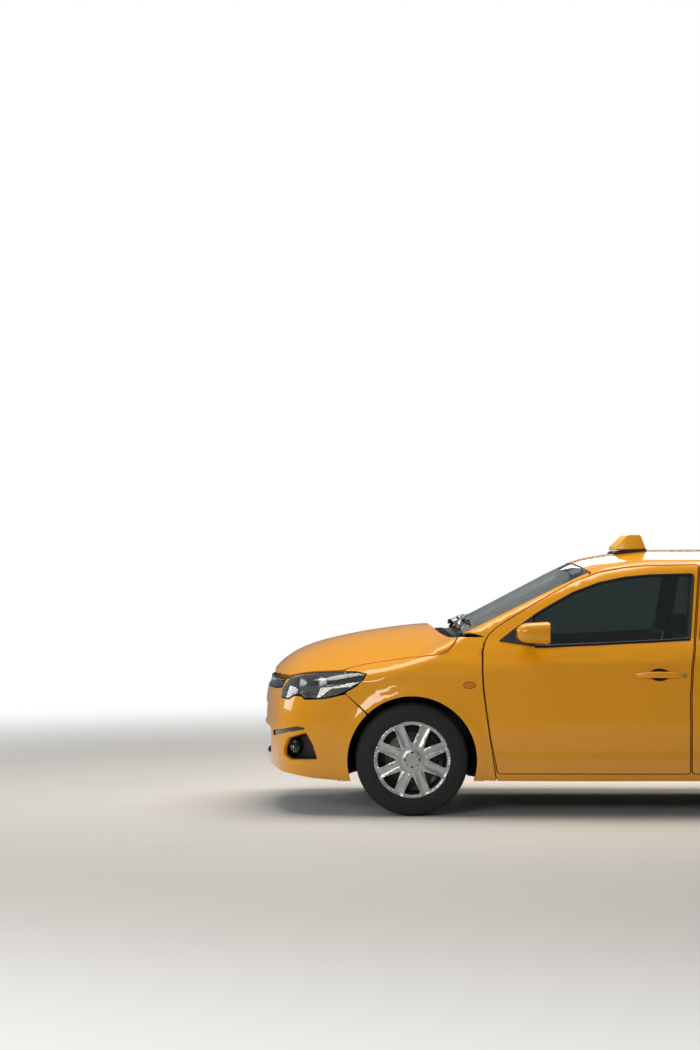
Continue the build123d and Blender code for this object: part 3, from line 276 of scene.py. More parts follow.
# %% [markdown]
# ## Ways to lay a flat outline onto the skin
# A door is drawn in side view, the bonnet and roof from above, and the bumper and lamps
# are wrapped round the nose. Each way starts from points inside the body and goes out
# to the skin: sideways, upwards, or round the corner from an upright axis.

# %% Ways onto the skin
WRAP_R = 0.60
NOSE_AXIS_X = -1.62
TAIL_AXIS_X = 1.66
SECTION_BASE = 0.62
SIDE_REACH = 0.75
UP_REACH = 1.05
WRAP_REACH = 1.2
END_REACH = 1.9


def way(start_of, along_of):
    """A way onto the skin, from functions that give a point inside the body and a reach."""

    def place(flat, depth=0.0):
        a, b = np.asarray(flat, float).T
        none = np.zeros(len(a))
        start = np.column_stack([none + part for part in start_of(a, b)])
        along = np.column_stack([none + part for part in along_of(a, b)])
        return reach_skin(start, along, depth)

    return place


def side_way(side, inner=0.30):
    """Lays (x, z) onto the left (-1) or right (+1) flank."""
    return way(lambda x, z: (x, side * inner, z), lambda x, z: (0.0, side * SIDE_REACH, 0.0))


def top_way(base=0.55):
    """Lays (x, y) onto the bonnet, roof or boot."""
    return way(lambda x, y: (x, y, base), lambda x, y: (0.0, 0.0, UP_REACH))


def wrap_way(axis_x, end):
    """Lays (angle times WRAP_R, z) round the nose (end -1) or tail (end +1)."""
    return way(lambda a, z: (axis_x, 0.0, z),
               lambda a, z: (WRAP_REACH * end * np.cos(a / WRAP_R), WRAP_REACH * np.sin(a / WRAP_R), 0.0))


def section_way(side):
    """Lays (x, angle) round the cross-section, from the sill (low) to the top (high)."""
    return way(lambda x, a: (x, 0.0, SECTION_BASE),
               lambda x, a: (0.0, WRAP_REACH * side * np.cos(a / WRAP_R), WRAP_REACH * np.sin(a / WRAP_R)))


def end_way(start_x, end):
    """Lays (y, z) onto the windscreen (end -1) or the rear window (end +1)."""
    return way(lambda y, z: (start_x, y, z), lambda y, z: (end * END_REACH, 0.0, 0.0))


def lid_way(centre_x, centre_z):
    """Lays (angle times WRAP_R, y) over the boot lid, from its front edge down to the tail."""
    return way(lambda a, y: (centre_x, y, centre_z),
               lambda a, y: (np.cos(a / WRAP_R), 0.0, np.sin(a / WRAP_R)))


def section_of(points):
    """Points on the skin as (x, angle) for section_way."""
    angle = np.arctan2(points[:, 2] - SECTION_BASE, np.abs(points[:, 1]))
    return np.column_stack([points[:, 0], angle * WRAP_R])


def wrap_of(points, axis_x, end):
    """Points on the skin as (angle, z) for wrap_way."""
    return np.column_stack([np.arctan2(points[:, 1], end * (points[:, 0] - axis_x)) * WRAP_R, points[:, 2]])


def side_points(pairs, side=-1):
    """Side-view points in millimetres, put on the flank."""
    return side_way(side)(np.array(pairs, float)[:, :2] * MM)


TOP_PLACE = top_way()
ROOF_PLACE = top_way(0.9)
FRONT_GLASS = end_way(0.2, -1)
BACK_GLASS = end_way(0.5, 1)
probe = TOP_PLACE([(-1.3, 0.0), (0.1, 0.0), (1.9, 0.0)])
print("bonnet, roof and boot heights:", [round(float(p[2]), 3) for p in probe])

# %% [markdown]
# ## Outlines with soft corners
# A shut line turns its corners on a radius, because a blade can't press a sharp one. An
# outline here is a few corner points, each with its own radius, and it is then divided
# finely enough for the skin to follow the body's curve.

# %% Outlines


def rounded(corners, radius, spacing):
    """A closed outline with rounded corners, divided at about the given spacing."""
    points = [np.array(c[:2], float) for c in corners]
    radii = [c[2] if len(c) > 2 else radius for c in corners]
    count = len(points)
    bends = []
    for k in range(count):
        before, here, after = points[k - 1], points[k], points[(k + 1) % count]
        to_before = (before - here) / np.linalg.norm(before - here)
        to_after = (after - here) / np.linalg.norm(after - here)
        cosine = np.clip(np.dot(to_before, to_after), -0.9999, 0.9999)
        half = 0.5 * math.acos(cosine)
        room = 0.49 * min(np.linalg.norm(before - here), np.linalg.norm(after - here))
        cut = min(radii[k] / math.tan(half), room)
        steps = max(2, int(math.ceil((math.pi - 2 * half) / 0.35)) + 1)
        start, end = here + to_before * cut, here + to_after * cut
        for t in np.linspace(0.0, 1.0, steps):
            bends.append((1 - t) ** 2 * start + 2 * t * (1 - t) * here + t * t * end)
    return divided(bends, spacing)


def divided(points, spacing):
    """The closed outline with its long stretches divided."""
    fine = []
    for k, a in enumerate(points):
        b = points[(k + 1) % len(points)]
        length = np.linalg.norm(np.asarray(b) - np.asarray(a))
        if length < 0.02 * spacing:
            continue
        steps = max(1, int(round(length / spacing)))
        fine += [np.asarray(a) + (np.asarray(b) - np.asarray(a)) * t / steps for t in range(steps)]
    return np.array(fine)


def turning(points):
    """Twice the signed area of a closed outline."""
    x, y = points[:, 0], points[:, 1]
    return float(np.sum(x * np.roll(y, -1) - np.roll(x, -1) * y))


def moved_in(points, distance):
    """A closed outline moved inwards by a small distance, or outwards if below zero."""
    sign = 1.0 if turning(points) > 0 else -1.0
    back = points - np.roll(points, 1, axis=0)
    ahead = np.roll(points, -1, axis=0) - points
    back = back / np.linalg.norm(back, axis=1)[:, None]
    ahead = ahead / np.linalg.norm(ahead, axis=1)[:, None]
    n_back = np.column_stack([-back[:, 1], back[:, 0]]) * sign
    n_ahead = np.column_stack([-ahead[:, 1], ahead[:, 0]]) * sign
    share = np.clip(1.0 + np.sum(n_back * n_ahead, axis=1), 0.4, 2.0)
    return points + (n_back + n_ahead) * (distance / share)[:, None]


def inside(points, outline):
    """Which points lie inside a closed outline."""
    hit = np.zeros(len(points), bool)
    px, py = points[:, 0], points[:, 1]
    for a, b in zip(outline, np.roll(outline, -1, axis=0)):
        if a[1] == b[1]:
            continue
        crosses = (a[1] > py) != (b[1] > py)
        at = a[0] + (py - a[1]) * (b[0] - a[0]) / (b[1] - a[1])
        hit ^= crosses & (px < at)
    return hit


def bands(rows, count):
    """Quads between rows that each hold a closed ring of points."""
    return [(k * count + i, k * count + (i + 1) % count, (k + 1) * count + (i + 1) % count,
             (k + 1) * count + i) for k in range(rows - 1) for i in range(count)]


def circle(count):
    """Angles that divide a full turn evenly."""
    return np.linspace(0, 2 * math.pi, count, endpoint=False)


def rectangle(a0, a1, b0, b1):
    """The four corners of an outline with square sides."""
    return [(a0, b0), (a1, b0), (a1, b1), (a0, b1)]


def gap_to(points, outline):
    """The distance from each point to a closed outline."""
    best = np.full(len(points), 1e9)
    for a, b in zip(outline, np.roll(outline, -1, axis=0)):
        ab = b - a
        t = np.clip(((points - a) @ ab) / max(float(ab @ ab), 1e-12), 0.0, 1.0)
        best = np.minimum(best, np.linalg.norm(points - (a + t[:, None] * ab), axis=1))
    return best


# %% [markdown]
# ## Pressed panels
# Each body panel is a sheet with a rolled edge: the skin, a narrow ring that drops away
# at the shut line, a rim as deep as the panel, and a back. The flat outline is filled
# with a triangle grid and laid onto the body's skin. Normals come from the depth
# function itself, so reflections run over the shut lines without a break.

# %% Panels on the skin
EDGE_ROLL = 1.6 * MM


def fill_outline(outline, holes, spacing, dense=()):
    """Triangles that fill an outline: returns the flat points, the triangles and the loops."""
    loops = [outline] + list(holes)
    loops = [loop if turning(loop) > 0 else loop[::-1] for loop in loops]
    rings = []
    for k, loop in enumerate(loops):
        rings.append(moved_in(loop, EDGE_ROLL if k == 0 else -EDGE_ROLL))
    low, high = outline.min(axis=0), outline.max(axis=0)
    nx = max(2, int((high[0] - low[0]) / spacing))
    ny = max(2, int((high[1] - low[1]) / (0.87 * spacing)))
    gx, gy = np.meshgrid(np.linspace(low[0], high[0], nx), np.linspace(low[1], high[1], ny))
    gx[1::2] += 0.5 * (high[0] - low[0]) / (nx - 1)
    grid = np.column_stack([gx.ravel(), gy.ravel()])
    for x0, x1, y0, y1, fine in dense:
        sx, sy = np.meshgrid(np.arange(x0, x1, fine), np.arange(y0, y1, fine))
        spot = np.column_stack([sx.ravel(), sy.ravel()])
        away = (grid[:, 0] < x0 - fine) | (grid[:, 0] > x1 + fine)
        away |= (grid[:, 1] < y0 - fine) | (grid[:, 1] > y1 + fine)
        grid = np.vstack([grid[away], spot])
    keep = inside(grid, loops[0])
    for hole in loops[1:]:
        keep &= ~inside(grid, hole)
    for k, ring in enumerate(rings):
        keep &= gap_to(grid, ring) > 0.42 * min(spacing, 0.5 * spacing + 0.004)
    grid = grid[keep]
    flat = list(loops) + list(rings) + [grid]
    starts = np.cumsum([0] + [len(part) for part in flat])
    edges = []
    for k in range(len(loops) + len(rings)):
        n = len(flat[k])
        edges += [(int(starts[k] + i), int(starts[k] + (i + 1) % n)) for i in range(n)]
    points = np.vstack(flat)
    out = delaunay_2d_cdt([Vector(p) for p in points], edges, [], 0, 1e-7)
    verts = np.array([tuple(v) for v in out[0]])
    middle = np.array([verts[list(t)].mean(axis=0) for t in out[2]])
    good = inside(middle, loops[0])
    for hole in loops[1:]:
        good &= ~inside(middle, hole)
    tris = [tuple(t) for t, ok in zip(out[2], good) if ok]
    origin = {}
    for new, olds in enumerate(out[3]):
        for old in olds:
            origin[old] = new
    border = []
    for k in range(len(loops)):
        border.append([origin[int(starts[k]) + i] for i in range(len(loops[k]))])
    return verts, tris, border


def new_piece(name, verts, faces, normals=None, smooth=True):
    """A mesh object from points and faces, with its own normals where they are given."""
    mesh = bpy.data.meshes.new(name)
    mesh.from_pydata([tuple(map(float, v)) for v in verts], [], faces)
    mesh.validate()
    mesh.polygons.foreach_set("use_smooth", [smooth] * len(mesh.polygons))
    if normals is not None and len(mesh.vertices) == len(verts):
        mesh.normals_split_custom_set_from_vertices([tuple(map(float, n)) for n in normals])
    piece = bpy.data.objects.new(name, mesh)
    bpy.context.scene.collection.objects.link(piece)
    return piece


def facing(verts, tris, normals):
    """The triangles, turned over one by one where they face against their normals."""
    t = np.array(tris)
    across = np.cross(verts[t[:, 1]] - verts[t[:, 0]], verts[t[:, 2]] - verts[t[:, 0]])
    wrong = np.sum(across * normals[t[:, 0]], axis=1) < 0
    t[wrong] = t[wrong][:, ::-1]
    return [tuple(int(i) for i in row) for row in t]


def sheet_mesh(place, outline, holes=(), thick=0.010, spacing=0.030, sink=0.0, dense=(),
               back=True, plain=None):
    """The points, faces and normals of one panel with its rolled edge, rim and back."""
    flat, tris, border = fill_outline(outline, list(holes), spacing, dense)
    on_border = np.zeros(len(flat), bool)
    for loop in border:
        on_border[loop] = True
    open_edge = plain(flat) if plain else np.zeros(len(flat), bool)
    on_border &= ~open_edge
    thick = thick(flat) if callable(thick) else np.full(len(flat), thick)
    sink = sink(flat) if callable(sink) else np.full(len(flat), sink)
    top = place(flat, sink)
    top[on_border] = place(flat[on_border], sink[on_border] + EDGE_ROLL)
    normals = skin_normal(top)
    tris = facing(top, tris, normals)
    under = place(flat, sink + thick)
    out_normals = normals.copy()
    rim_faces = []
    n = len(flat)
    verts = [top]
    all_normals = [out_normals]
    edge_out = np.zeros_like(normals)
    for loop in border:
        ring = top[loop]
        along = np.roll(ring, -1, axis=0) - np.roll(ring, 1, axis=0)
        outward = np.cross(along, normals[loop])
        edge_out[loop] = outward / np.maximum(np.linalg.norm(outward, axis=1), 1e-9)[:, None]
    for k, loop in enumerate(border):
        ring = np.array(loop)
        inner = top.mean(axis=0) if k == 0 else top[ring].mean(axis=0)
        toward = top[ring] - inner
        score = float(np.sum(edge_out[ring] * toward))
        want = 1.0 if k == 0 else -1.0
        if score * want < 0:
            edge_out[ring] *= -1.0
    for loop in border:
        ring = np.array([i for i in loop if not open_edge[i]])
        mixed = normals[ring] + 0.9 * edge_out[ring]
        all_normals[0][ring] = mixed / np.linalg.norm(mixed, axis=1)[:, None]
    faces = list(tris)
    if back:
        verts.append(under)
        all_normals.append(-normals)
        faces += [(t[2] + n, t[1] + n, t[0] + n) for t in tris]
    base = n * (2 if back else 1)
    for loop in border:
        ring = np.array(loop)
        m = len(ring)
        verts += [top[ring], under[ring]]
        all_normals += [edge_out[ring], edge_out[ring]]
        for i in range(m):
            j = (i + 1) % m
            if open_edge[ring[i]] and open_edge[ring[j]]:
                continue
            quad = (base + i, base + j, base + m + j, base + m + i)
            a, b, c = (np.vstack([top[ring], under[ring]])[q - base] for q in quad[:3])
            face_normal = np.cross(b - a, c - a)
            if np.dot(face_normal, edge_out[ring[i]]) < 0:
                quad = quad[::-1]
            rim_faces.append(quad)
        base += 2 * m
    faces += rim_faces
    return np.vstack(verts), faces, np.vstack(all_normals)


def joined(*meshes):
    """Several (points, faces, normals) sets as one."""
    verts, faces, normals = [], [], []
    base = 0
    for v, f, n in meshes:
        verts.append(v)
        normals.append(n)
        faces += [tuple(i + base for i in face) for face in f]
        base += len(v)
    return np.vstack(verts), faces, np.vstack(normals)


def piece_of(name, body, material, mesh, replaced=()):
    """A piece from ready points, faces and normals, on its body."""
    piece = new_piece(name, *mesh)
    piece.data.materials.append(material)
    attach(piece, body)
    if replaced:
        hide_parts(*replaced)
    return piece


def panel(name, body, material, place, outline, replaced=(), **detail):
    """A finished body panel on its own body."""
    return piece_of(name, body, material, sheet_mesh(place, outline, **detail), replaced)

# %% [markdown]
# ## Materials
# Real finishes are built from a few numbers: colour, metalness, roughness and coat. One
# helper adds a shader node with its settings and links, and each finish is then one
# short function. Patterns take their scale from real sizes, such as flake or weave.

# %% Material helpers


def srgb(code):
    """A hex colour as the linear values that a shader takes."""
    values = [int(code[i:i + 2], 16) / 255.0 for i in (1, 3, 5)]
    return [v / 12.92 if v <= 0.04045 else ((v + 0.055) / 1.055) ** 2.4 for v in values] + [1.0]


def add_node(tree, kind, links=(), **settings):
    """Adds a shader node; settings name inputs (spaces as _) or attributes of the node."""
    node = tree.nodes.new(kind)
    inputs = {socket.name.replace(" ", "_"): socket for socket in reversed(list(node.inputs))}
    for key, value in settings.items():
        if key in inputs:
            inputs[key].default_value = value
        else:
            setattr(node, key, value)
    for key, source in dict(links).items():
        tree.links.new(source, node.inputs[key])
    return node


def start_material(name, **surface):
    """A new material with one principled surface."""
    material = bpy.data.materials.new(name)
    material.use_nodes = True
    tree = material.node_tree
    tree.nodes.clear()
    shader = add_node(tree, "ShaderNodeBsdfPrincipled", **surface)
    add_node(tree, "ShaderNodeOutputMaterial", {"Surface": shader.outputs["BSDF"]})
    return material, tree, shader


def noise_at(tree, place, size, detail, **more):
    """Noise of a real size over the piece's own coordinates."""
    return add_node(tree, "ShaderNodeTexNoise", {"Vector": place.outputs["Object"]},
                    Scale=1.0 / size, Detail=detail, **more)


def vary(tree, shader, size, colour, amount, rough=None, detail=4.0):
    """Lets colour and roughness drift over a real size, as on any real surface."""
    place = add_node(tree, "ShaderNodeTexCoord")
    noise = noise_at(tree, place, size, detail, Roughness=0.6)
    tone = two_tones(tree, shader, noise.outputs["Fac"], shade(colour, 1.0 - amount), colour)
    tone.color_ramp.elements[0].position = 0.3
    tone.color_ramp.elements[1].position = 0.7
    if rough:
        spread = add_node(tree, "ShaderNodeMapRange", {"Value": noise.outputs["Fac"]},
                          From_Min=0.3, From_Max=0.7, To_Min=rough[0], To_Max=rough[1])
        tree.links.new(spread.outputs["Result"], shader.inputs["Roughness"])
    return noise


def two_tones(tree, shader, pattern, low, high):
    """Gives the surface one colour where a pattern is low and another where it is high."""
    tone = add_node(tree, "ShaderNodeValToRGB", {"Fac": pattern})
    tone.color_ramp.elements[0].color = low
    tone.color_ramp.elements[1].color = high
    tree.links.new(tone.outputs["Color"], shader.inputs["Base Color"])
    return tone


def shade(colour, share):
    """A colour made darker."""
    return [c * share for c in colour[:3]] + [1.0]


def add_bump(tree, shader, height, strength, distance, socket="Normal"):
    """Raises the surface a little where a pattern is bright."""
    bump = add_node(tree, "ShaderNodeBump", {"Height": height}, Strength=strength, Distance=distance)
    tree.links.new(bump.outputs["Normal"], shader.inputs[socket])
    return bump


def plain_finish(name, code, rough, metallic=0.0, grain=0.6 * MM, bump=0.04 * MM, drift=0.18, **more):
    """Moulded plastic, rubber or cast metal: one colour with a fine grain."""
    material, tree, shader = start_material(name, Metallic=metallic, **more)
    vary(tree, shader, 0.05, srgb(code), drift, (rough - 0.2 * drift, rough + 0.3 * drift))
    place = add_node(tree, "ShaderNodeTexCoord")
    fine = noise_at(tree, place, grain, 2.0)
    add_bump(tree, shader, fine.outputs["Fac"], 0.5, bump)
    return material


# %% [markdown]
# ## Body paint
# The paint is a solid taxi yellow under clear lacquer. Sprayed lacquer keeps a faint
# orange peel about a centimetre across, which softens reflections a little, and dust
# dulls the paint low down near the sills, where the wheels throw dirt.

# %% Body paint


def paint(name, code):
    """Solid colour coat under lacquer, with orange peel and a dusty lower edge."""
    material, tree, shader = start_material(name, Roughness=0.42, Specular_IOR_Level=0.15,
                                            Coat_Weight=1.0, Coat_Roughness=0.035, Coat_IOR=1.5)
    place = add_node(tree, "ShaderNodeTexCoord")
    colour = srgb(code)
    drift = noise_at(tree, place, 0.9, 2.0)
    tone = two_tones(tree, shader, drift.outputs["Fac"], shade(colour, 0.96), colour)
    split = add_node(tree, "ShaderNodeSeparateXYZ", {"Vector": place.outputs["Object"]})
    low = add_node(tree, "ShaderNodeMapRange", {"Value": split.outputs["Z"]},
                   From_Min=0.22, From_Max=0.50, To_Min=1.0, To_Max=0.0)
    specks = noise_at(tree, place, 0.035, 6.0, Roughness=0.7)
    dust = add_node(tree, "ShaderNodeMath",
                    {0: low.outputs["Result"], 1: specks.outputs["Fac"]}, operation="MULTIPLY")
    thin = add_node(tree, "ShaderNodeMath", {0: dust.outputs["Value"]}, operation="MULTIPLY")
    thin.inputs[1].default_value = 0.35
    mixed = add_node(tree, "ShaderNodeMixRGB",
                     {"Fac": thin.outputs["Value"], "Color1": tone.outputs["Color"]})
    mixed.inputs["Color2"].default_value = srgb("#8A7A5E")
    tree.links.new(mixed.outputs["Color"], shader.inputs["Base Color"])
    peel = noise_at(tree, place, 0.009, 1.0)
    add_bump(tree, shader, peel.outputs["Fac"], 0.12, 0.06 * MM, "Coat Normal")
    return material


TAXI_PAINT = paint("taxi yellow paint", "#F0A202")

# %% [markdown]
# ## Side frame
# The side of the car is one huge pressing: sill, pillars, roof rail and rear quarter
# around two door holes. It is laid round the body's section, so the sill, the flank and
# the curved rail come out of one flat outline. Behind each hole a step drops in to the
# flange that carries the door seal.

# %% Shut lines in side view, in millimetres
SHUT = 3.0
FRONT_DOOR = [
    (-921, 232, 18), (-961, 424), (-984, 585), (-999, 708), (-1003, 794), (-1001, 898), (-991, 946),
    (-970, 988), (-932, 1024), (-850, 1077), (-732, 1147), (-624, 1211), (-487, 1284), (-340, 1338),
    (-194, 1364), (-58, 1375), (215, 1380, 14), (209, 1345), (161, 946), (141, 822), (132, 661),
    (135, 232, 20),
]
REAR_DOOR = [
    (143, 232, 20), (140, 661), (149, 822), (169, 946), (217, 1345), (222, 1380, 14), (480, 1376),
    (640, 1364), (760, 1334), (850, 1280), (1076, 1030, 60), (1092, 955), (1088, 860), (1070, 760),
    (1030, 672), (960, 590), (905, 490), (876, 390), (868, 232, 20),
]
FRONT_WINDOW = [
    (-722, 930, 12), (-722, 1096, 16), (-628, 1152), (-491, 1227), (-345, 1281), (-199, 1311),
    (-64, 1324), (184, 1330, 22), (141, 966, 22), (-87, 954), (-363, 940), (-638, 928),
]
REAR_WINDOW = [
    (192, 968, 20), (238, 1330, 22), (470, 1329), (620, 1318), (730, 1286, 60), (815, 1230, 60),
    (1012, 1010, 18), (1006, 985, 10), (640, 979),
]
SIDE_FRAME = [
    (-924, 192, 8), (-963, 424), (-987, 585), (-1002, 708), (-1006, 794), (-1004, 898), (-994, 946),
    (-990, 985, 6),
]
CORNER = 34 * MM


def side_loop(pairs, grow=0.0, spacing=0.028):
    """A side-view outline in metres with rounded corners, moved outwards if asked."""
    loop = rounded([(x * MM, z * MM) + tuple(r * MM for r in rest) for x, z, *rest in pairs],
                   CORNER, spacing)
    return moved_in(loop, -grow) if grow else loop


def section_loop(pairs, side, grow=0.0, spacing=0.028):
    """A side-view outline as a loop for section_way."""
    return section_of(side_way(side)(side_loop(pairs, grow, spacing)))


def arc_points(centre_x, radius, start, end, count):
    """Side-view points along a wheel arch, in millimetres."""
    turns = np.radians(np.linspace(start, end, count))
    return [(centre_x + radius * math.cos(t), ARCH_Z / MM + radius * math.sin(t)) for t in turns]


SCREEN_EDGE = [(0.682, 1.000), (0.660, 1.075), (0.625, 1.170), (0.590, 1.255), (0.556, 1.338)]
BACK_EDGE = [(0.500, 1.368), (0.540, 1.290), (0.583, 1.200), (0.628, 1.115), (0.640, 1.083)]
RAIL_Y = 0.585


def frame_outline(side):
    """The outer edge of the side frame, as a loop for section_way."""
    front = section_of(side_points([p[:2] for p in SIDE_FRAME], side))
    pillar = section_of(FRONT_GLASS(SCREEN_EDGE))
    rail_x = np.linspace(-0.40, 0.93, 40)
    rail = section_of(TOP_PLACE(np.column_stack([rail_x, np.full(40, RAIL_Y)])))
    back = section_of(BACK_GLASS(BACK_EDGE))
    sill = section_of(BACK_GLASS([(0.60, 1.076), (0.50, 1.086), (0.30, 1.096),
                                                (0.12, 1.101), (0.0, 1.102)]))
    deck = section_of(TOP_PLACE([(1.594, 0.0), (1.594, 0.30), (1.594, 0.55), (1.597, 0.640), (1.612, 0.663),
                                 (1.70, 0.666), (1.85, 0.666), (1.98, 0.666), (2.035, 0.666)]))
    tail = section_of(side_points([(2040, 897), (1979, 896), (1979, 690), (1979, 609), (1800, 600),
                                   (1640, 560), (1580, 463)], side))
    arch = section_of(side_points(arc_points(REAR_AXLE, ARCH, 26.5, 198.4, 46), side))
    low = section_of(side_points([(905, 192), (-60, 192)], side))
    return np.vstack([front, pillar, rail, back, sill, deck, tail, arch, low])


def shut_depth(flat_z):
    """How far in a door's back face lies: deep below the waist, shallow in the frame."""
    low = 95 * MM + (40 - 95) * MM * soft_step(0.86, 0.925, flat_z)
    return low - 14 * MM * soft_step(1.20, 1.36, flat_z)


CENTRE_ANGLE = 0.5 * math.pi * WRAP_R


def wall(place, loop, deep, shallow):
    """A wall between two depths under a loop on the skin: points, faces and normals."""
    rows = [place(loop, depth) for depth in (shallow, deep)]
    faces = bands(len(rows), len(loop))
    verts = np.vstack(rows)
    along = np.roll(rows[0], -1, axis=0) - np.roll(rows[0], 1, axis=0)
    normal = np.cross(along, skin_normal(rows[0]))
    normal = normal / np.maximum(np.linalg.norm(normal, axis=1), 1e-9)[:, None]
    centre = rows[0].mean(axis=0)
    if float(np.sum(normal * (rows[0] - centre))) > 0:
        normal = -normal
    a, b, c = verts[faces[0][0]], verts[faces[0][1]], verts[faces[0][2]]
    if np.dot(np.cross(b - a, c - a), normal[0]) < 0:
        faces = [f[::-1] for f in faces]
    return verts, faces, np.vstack([normal, normal])


def ring_sheet(place, outer, inner, depth, inward=False):
    """A flat ring at one depth between two loops: points, faces and normals."""
    flat, tris, border = fill_outline(outer, [inner], 0.05)
    verts = place(flat, depth if np.isscalar(depth) else depth(flat))
    normals = skin_normal(verts) * (-1.0 if inward else 1.0)
    tris = facing(verts, tris, normals)
    return verts, tris, normals


FRONT_OPENING = [
    (-868, 290, 70), (-915, 430), (-936, 590), (-950, 710), (-953, 800), (-951, 900), (-905, 975),
    (-820, 1030), (-700, 1103), (-600, 1163), (-462, 1235), (-320, 1288), (-185, 1315), (-60, 1326),
    (163, 1332, 40), (115, 950), (92, 822), (84, 661), (88, 290, 70),
]
REAR_OPENING = [
    (190, 290, 70), (187, 661), (196, 822), (217, 950), (265, 1332, 40), (470, 1330), (620, 1317),
    (725, 1290, 60), (806, 1240, 60), (1026, 1010, 50), (1040, 950), (1036, 870), (1016, 785),
    (980, 715), (915, 635), (857, 520), (826, 400), (820, 290, 60),
]

# %% [markdown]
# ## The two door holes
# Each hole has a wall that follows the door's edge with a 3 millimetre gap, a flange
# parallel to the door's back, and a second wall into the cabin.

# %% Side frames


def flange_depth(flat):
    """Depth of the flange behind a door."""
    return shut_depth(flat[:, 1]) + 6 * MM


def side_frame(side, name):
    """The side pressing of one side with both door holes, walls and flanges."""
    round_way = section_way(side)
    flat_way = side_way(side)
    outline = frame_outline(side)
    outline = divided(outline, 0.024)
    doors = [section_loop(FRONT_DOOR, side, SHUT * MM), section_loop(REAR_DOOR, side, SHUT * MM)]
    skin = sheet_mesh(round_way, outline, doors, thick=12 * MM, spacing=0.040,
                      plain=lambda f: f[:, 1] > CENTRE_ANGLE - 1e-4)
    parts = [skin]
    for door, opening in ((FRONT_DOOR, FRONT_OPENING), (REAR_DOOR, REAR_OPENING)):
        edge = side_loop(door, SHUT * MM)
        hole = side_loop(opening)
        parts.append(wall(flat_way, edge, flange_depth(edge), 1 * MM))
        parts.append(ring_sheet(flat_way, edge, hole, flange_depth))
        inner = np.where(hole[:, 1] < 0.9, 150 * MM, 78 * MM)
        parts.append(wall(flat_way, hole, inner, flange_depth(hole)))
    return piece_of(name, "body", TAXI_PAINT, joined(*parts), [name.replace("side_frame", "body_side")])


for side, word in SIDES:
    built = side_frame(side, "side_frame_" + word)
    print(built.name, len(built.data.polygons), "faces")

# %% [markdown]
# ## Doors
# A door is an outer skin hemmed round an inner pressing, about 95 millimetres deep below
# the waist and slim round the window. The back follows the flange, so the seal gap is
# even. The handle cup is pressed into the skin, so the grid is finer there.

# %% Doors


def door(side, word, key, outline, window):
    """One door shell with its window hole, full depth and pressed handle cup."""
    place = side_way(side)
    cup = HANDLE_CUP if key == "front" else REAR_HANDLE_CUP
    fine = (cup[0] - 0.085, cup[0] + 0.085, cup[1] - 0.062, cup[1] + 0.062, 0.009)
    shell = sheet_mesh(place, side_loop(outline, -SHUT * MM), [side_loop(window)],
                       thick=lambda f: shut_depth(f[:, 1]), spacing=0.036, dense=[fine])
    which = key + "_" + word
    piece_of("door_shell_" + which, "door_" + which, TAXI_PAINT, shell, ["door_" + which])


for side, word in SIDES:
    for key, outline, window in (("front", FRONT_DOOR, FRONT_WINDOW),
                                 ("rear", REAR_DOOR, REAR_WINDOW)):
        door(side, word, key, outline, window)

# %% [markdown]
# ## Bonnet, roof and boot lid
# These are drawn from above. The bonnet's rear edge is curved so that it clears the cowl
# as it tips up, and its front edge rolls down the nose. The boot lid wraps from the deck
# down the tail, so it is laid round a line across the boot instead.

# %% Bonnet, roof and boot lid
LID_THICK = 18 * MM
LID_SPACING = 0.045
BONNET_HALF = [
    (-2163, 0), (-2160, 200), (-2146, 330), (-2112, 470), (-2072, 575), (-2040, 622, 20),
    (-1990, 644), (-1905, 679), (-1824, 708), (-1775, 722, 10), (-1736, 709), (-1625, 701),
    (-1500, 713), (-1417, 732), (-1340, 763), (-1274, 781), (-1226, 786), (-1186, 781), (-1158, 760),
    (-1144, 724, 8), (-1182, 640), (-1232, 440), (-1270, 220), (-1284, 0),
]


def both_halves(pairs):
    """An outline on the right side, completed by its mirror image."""
    back = [(x, -y, *rest) for x, y, *rest in reversed(pairs) if y > 0]
    return [(x * MM, y * MM, *[r * MM for r in rest]) for x, y, *rest in list(pairs) + back]


bonnet_edge = rounded(both_halves(BONNET_HALF), 40 * MM, 0.022)
panel("bonnet_skin", "bonnet", TAXI_PAINT, top_way(0.45), bonnet_edge, ["bonnet"],
      thick=LID_THICK, spacing=LID_SPACING)

ROOF_SEAM = RAIL_Y - 4 * MM
screen_top = FRONT_GLASS([(y, 1.392 - 0.050 * (y / 0.55) ** 2) for y in np.linspace(-0.555, 0.555, 19)])
back_top = BACK_GLASS([(y, 1.418 - 0.048 * (y / 0.50) ** 2) for y in np.linspace(0.505, -0.505, 19)])
rail_run = np.linspace(-0.38, 0.93, 30)
roof_edge = np.vstack([screen_top[:, :2], np.column_stack([rail_run, np.full(30, ROOF_SEAM)]),
                       back_top[:, :2], np.column_stack([rail_run[::-1], np.full(30, -ROOF_SEAM)])])
panel("roof_skin", "body", TAXI_PAINT, ROOF_PLACE, divided(roof_edge, 0.03),
      ["roof_panel"], thick=30 * MM, spacing=0.055)

LID_X = 1.72
LID_Z = 0.80


def lid_of(points):
    """Points on the skin as (angle, y) for lid_way."""
    angle = np.arctan2(points[:, 2] - LID_Z, points[:, 0] - LID_X)
    return np.column_stack([angle * WRAP_R, points[:, 1]])


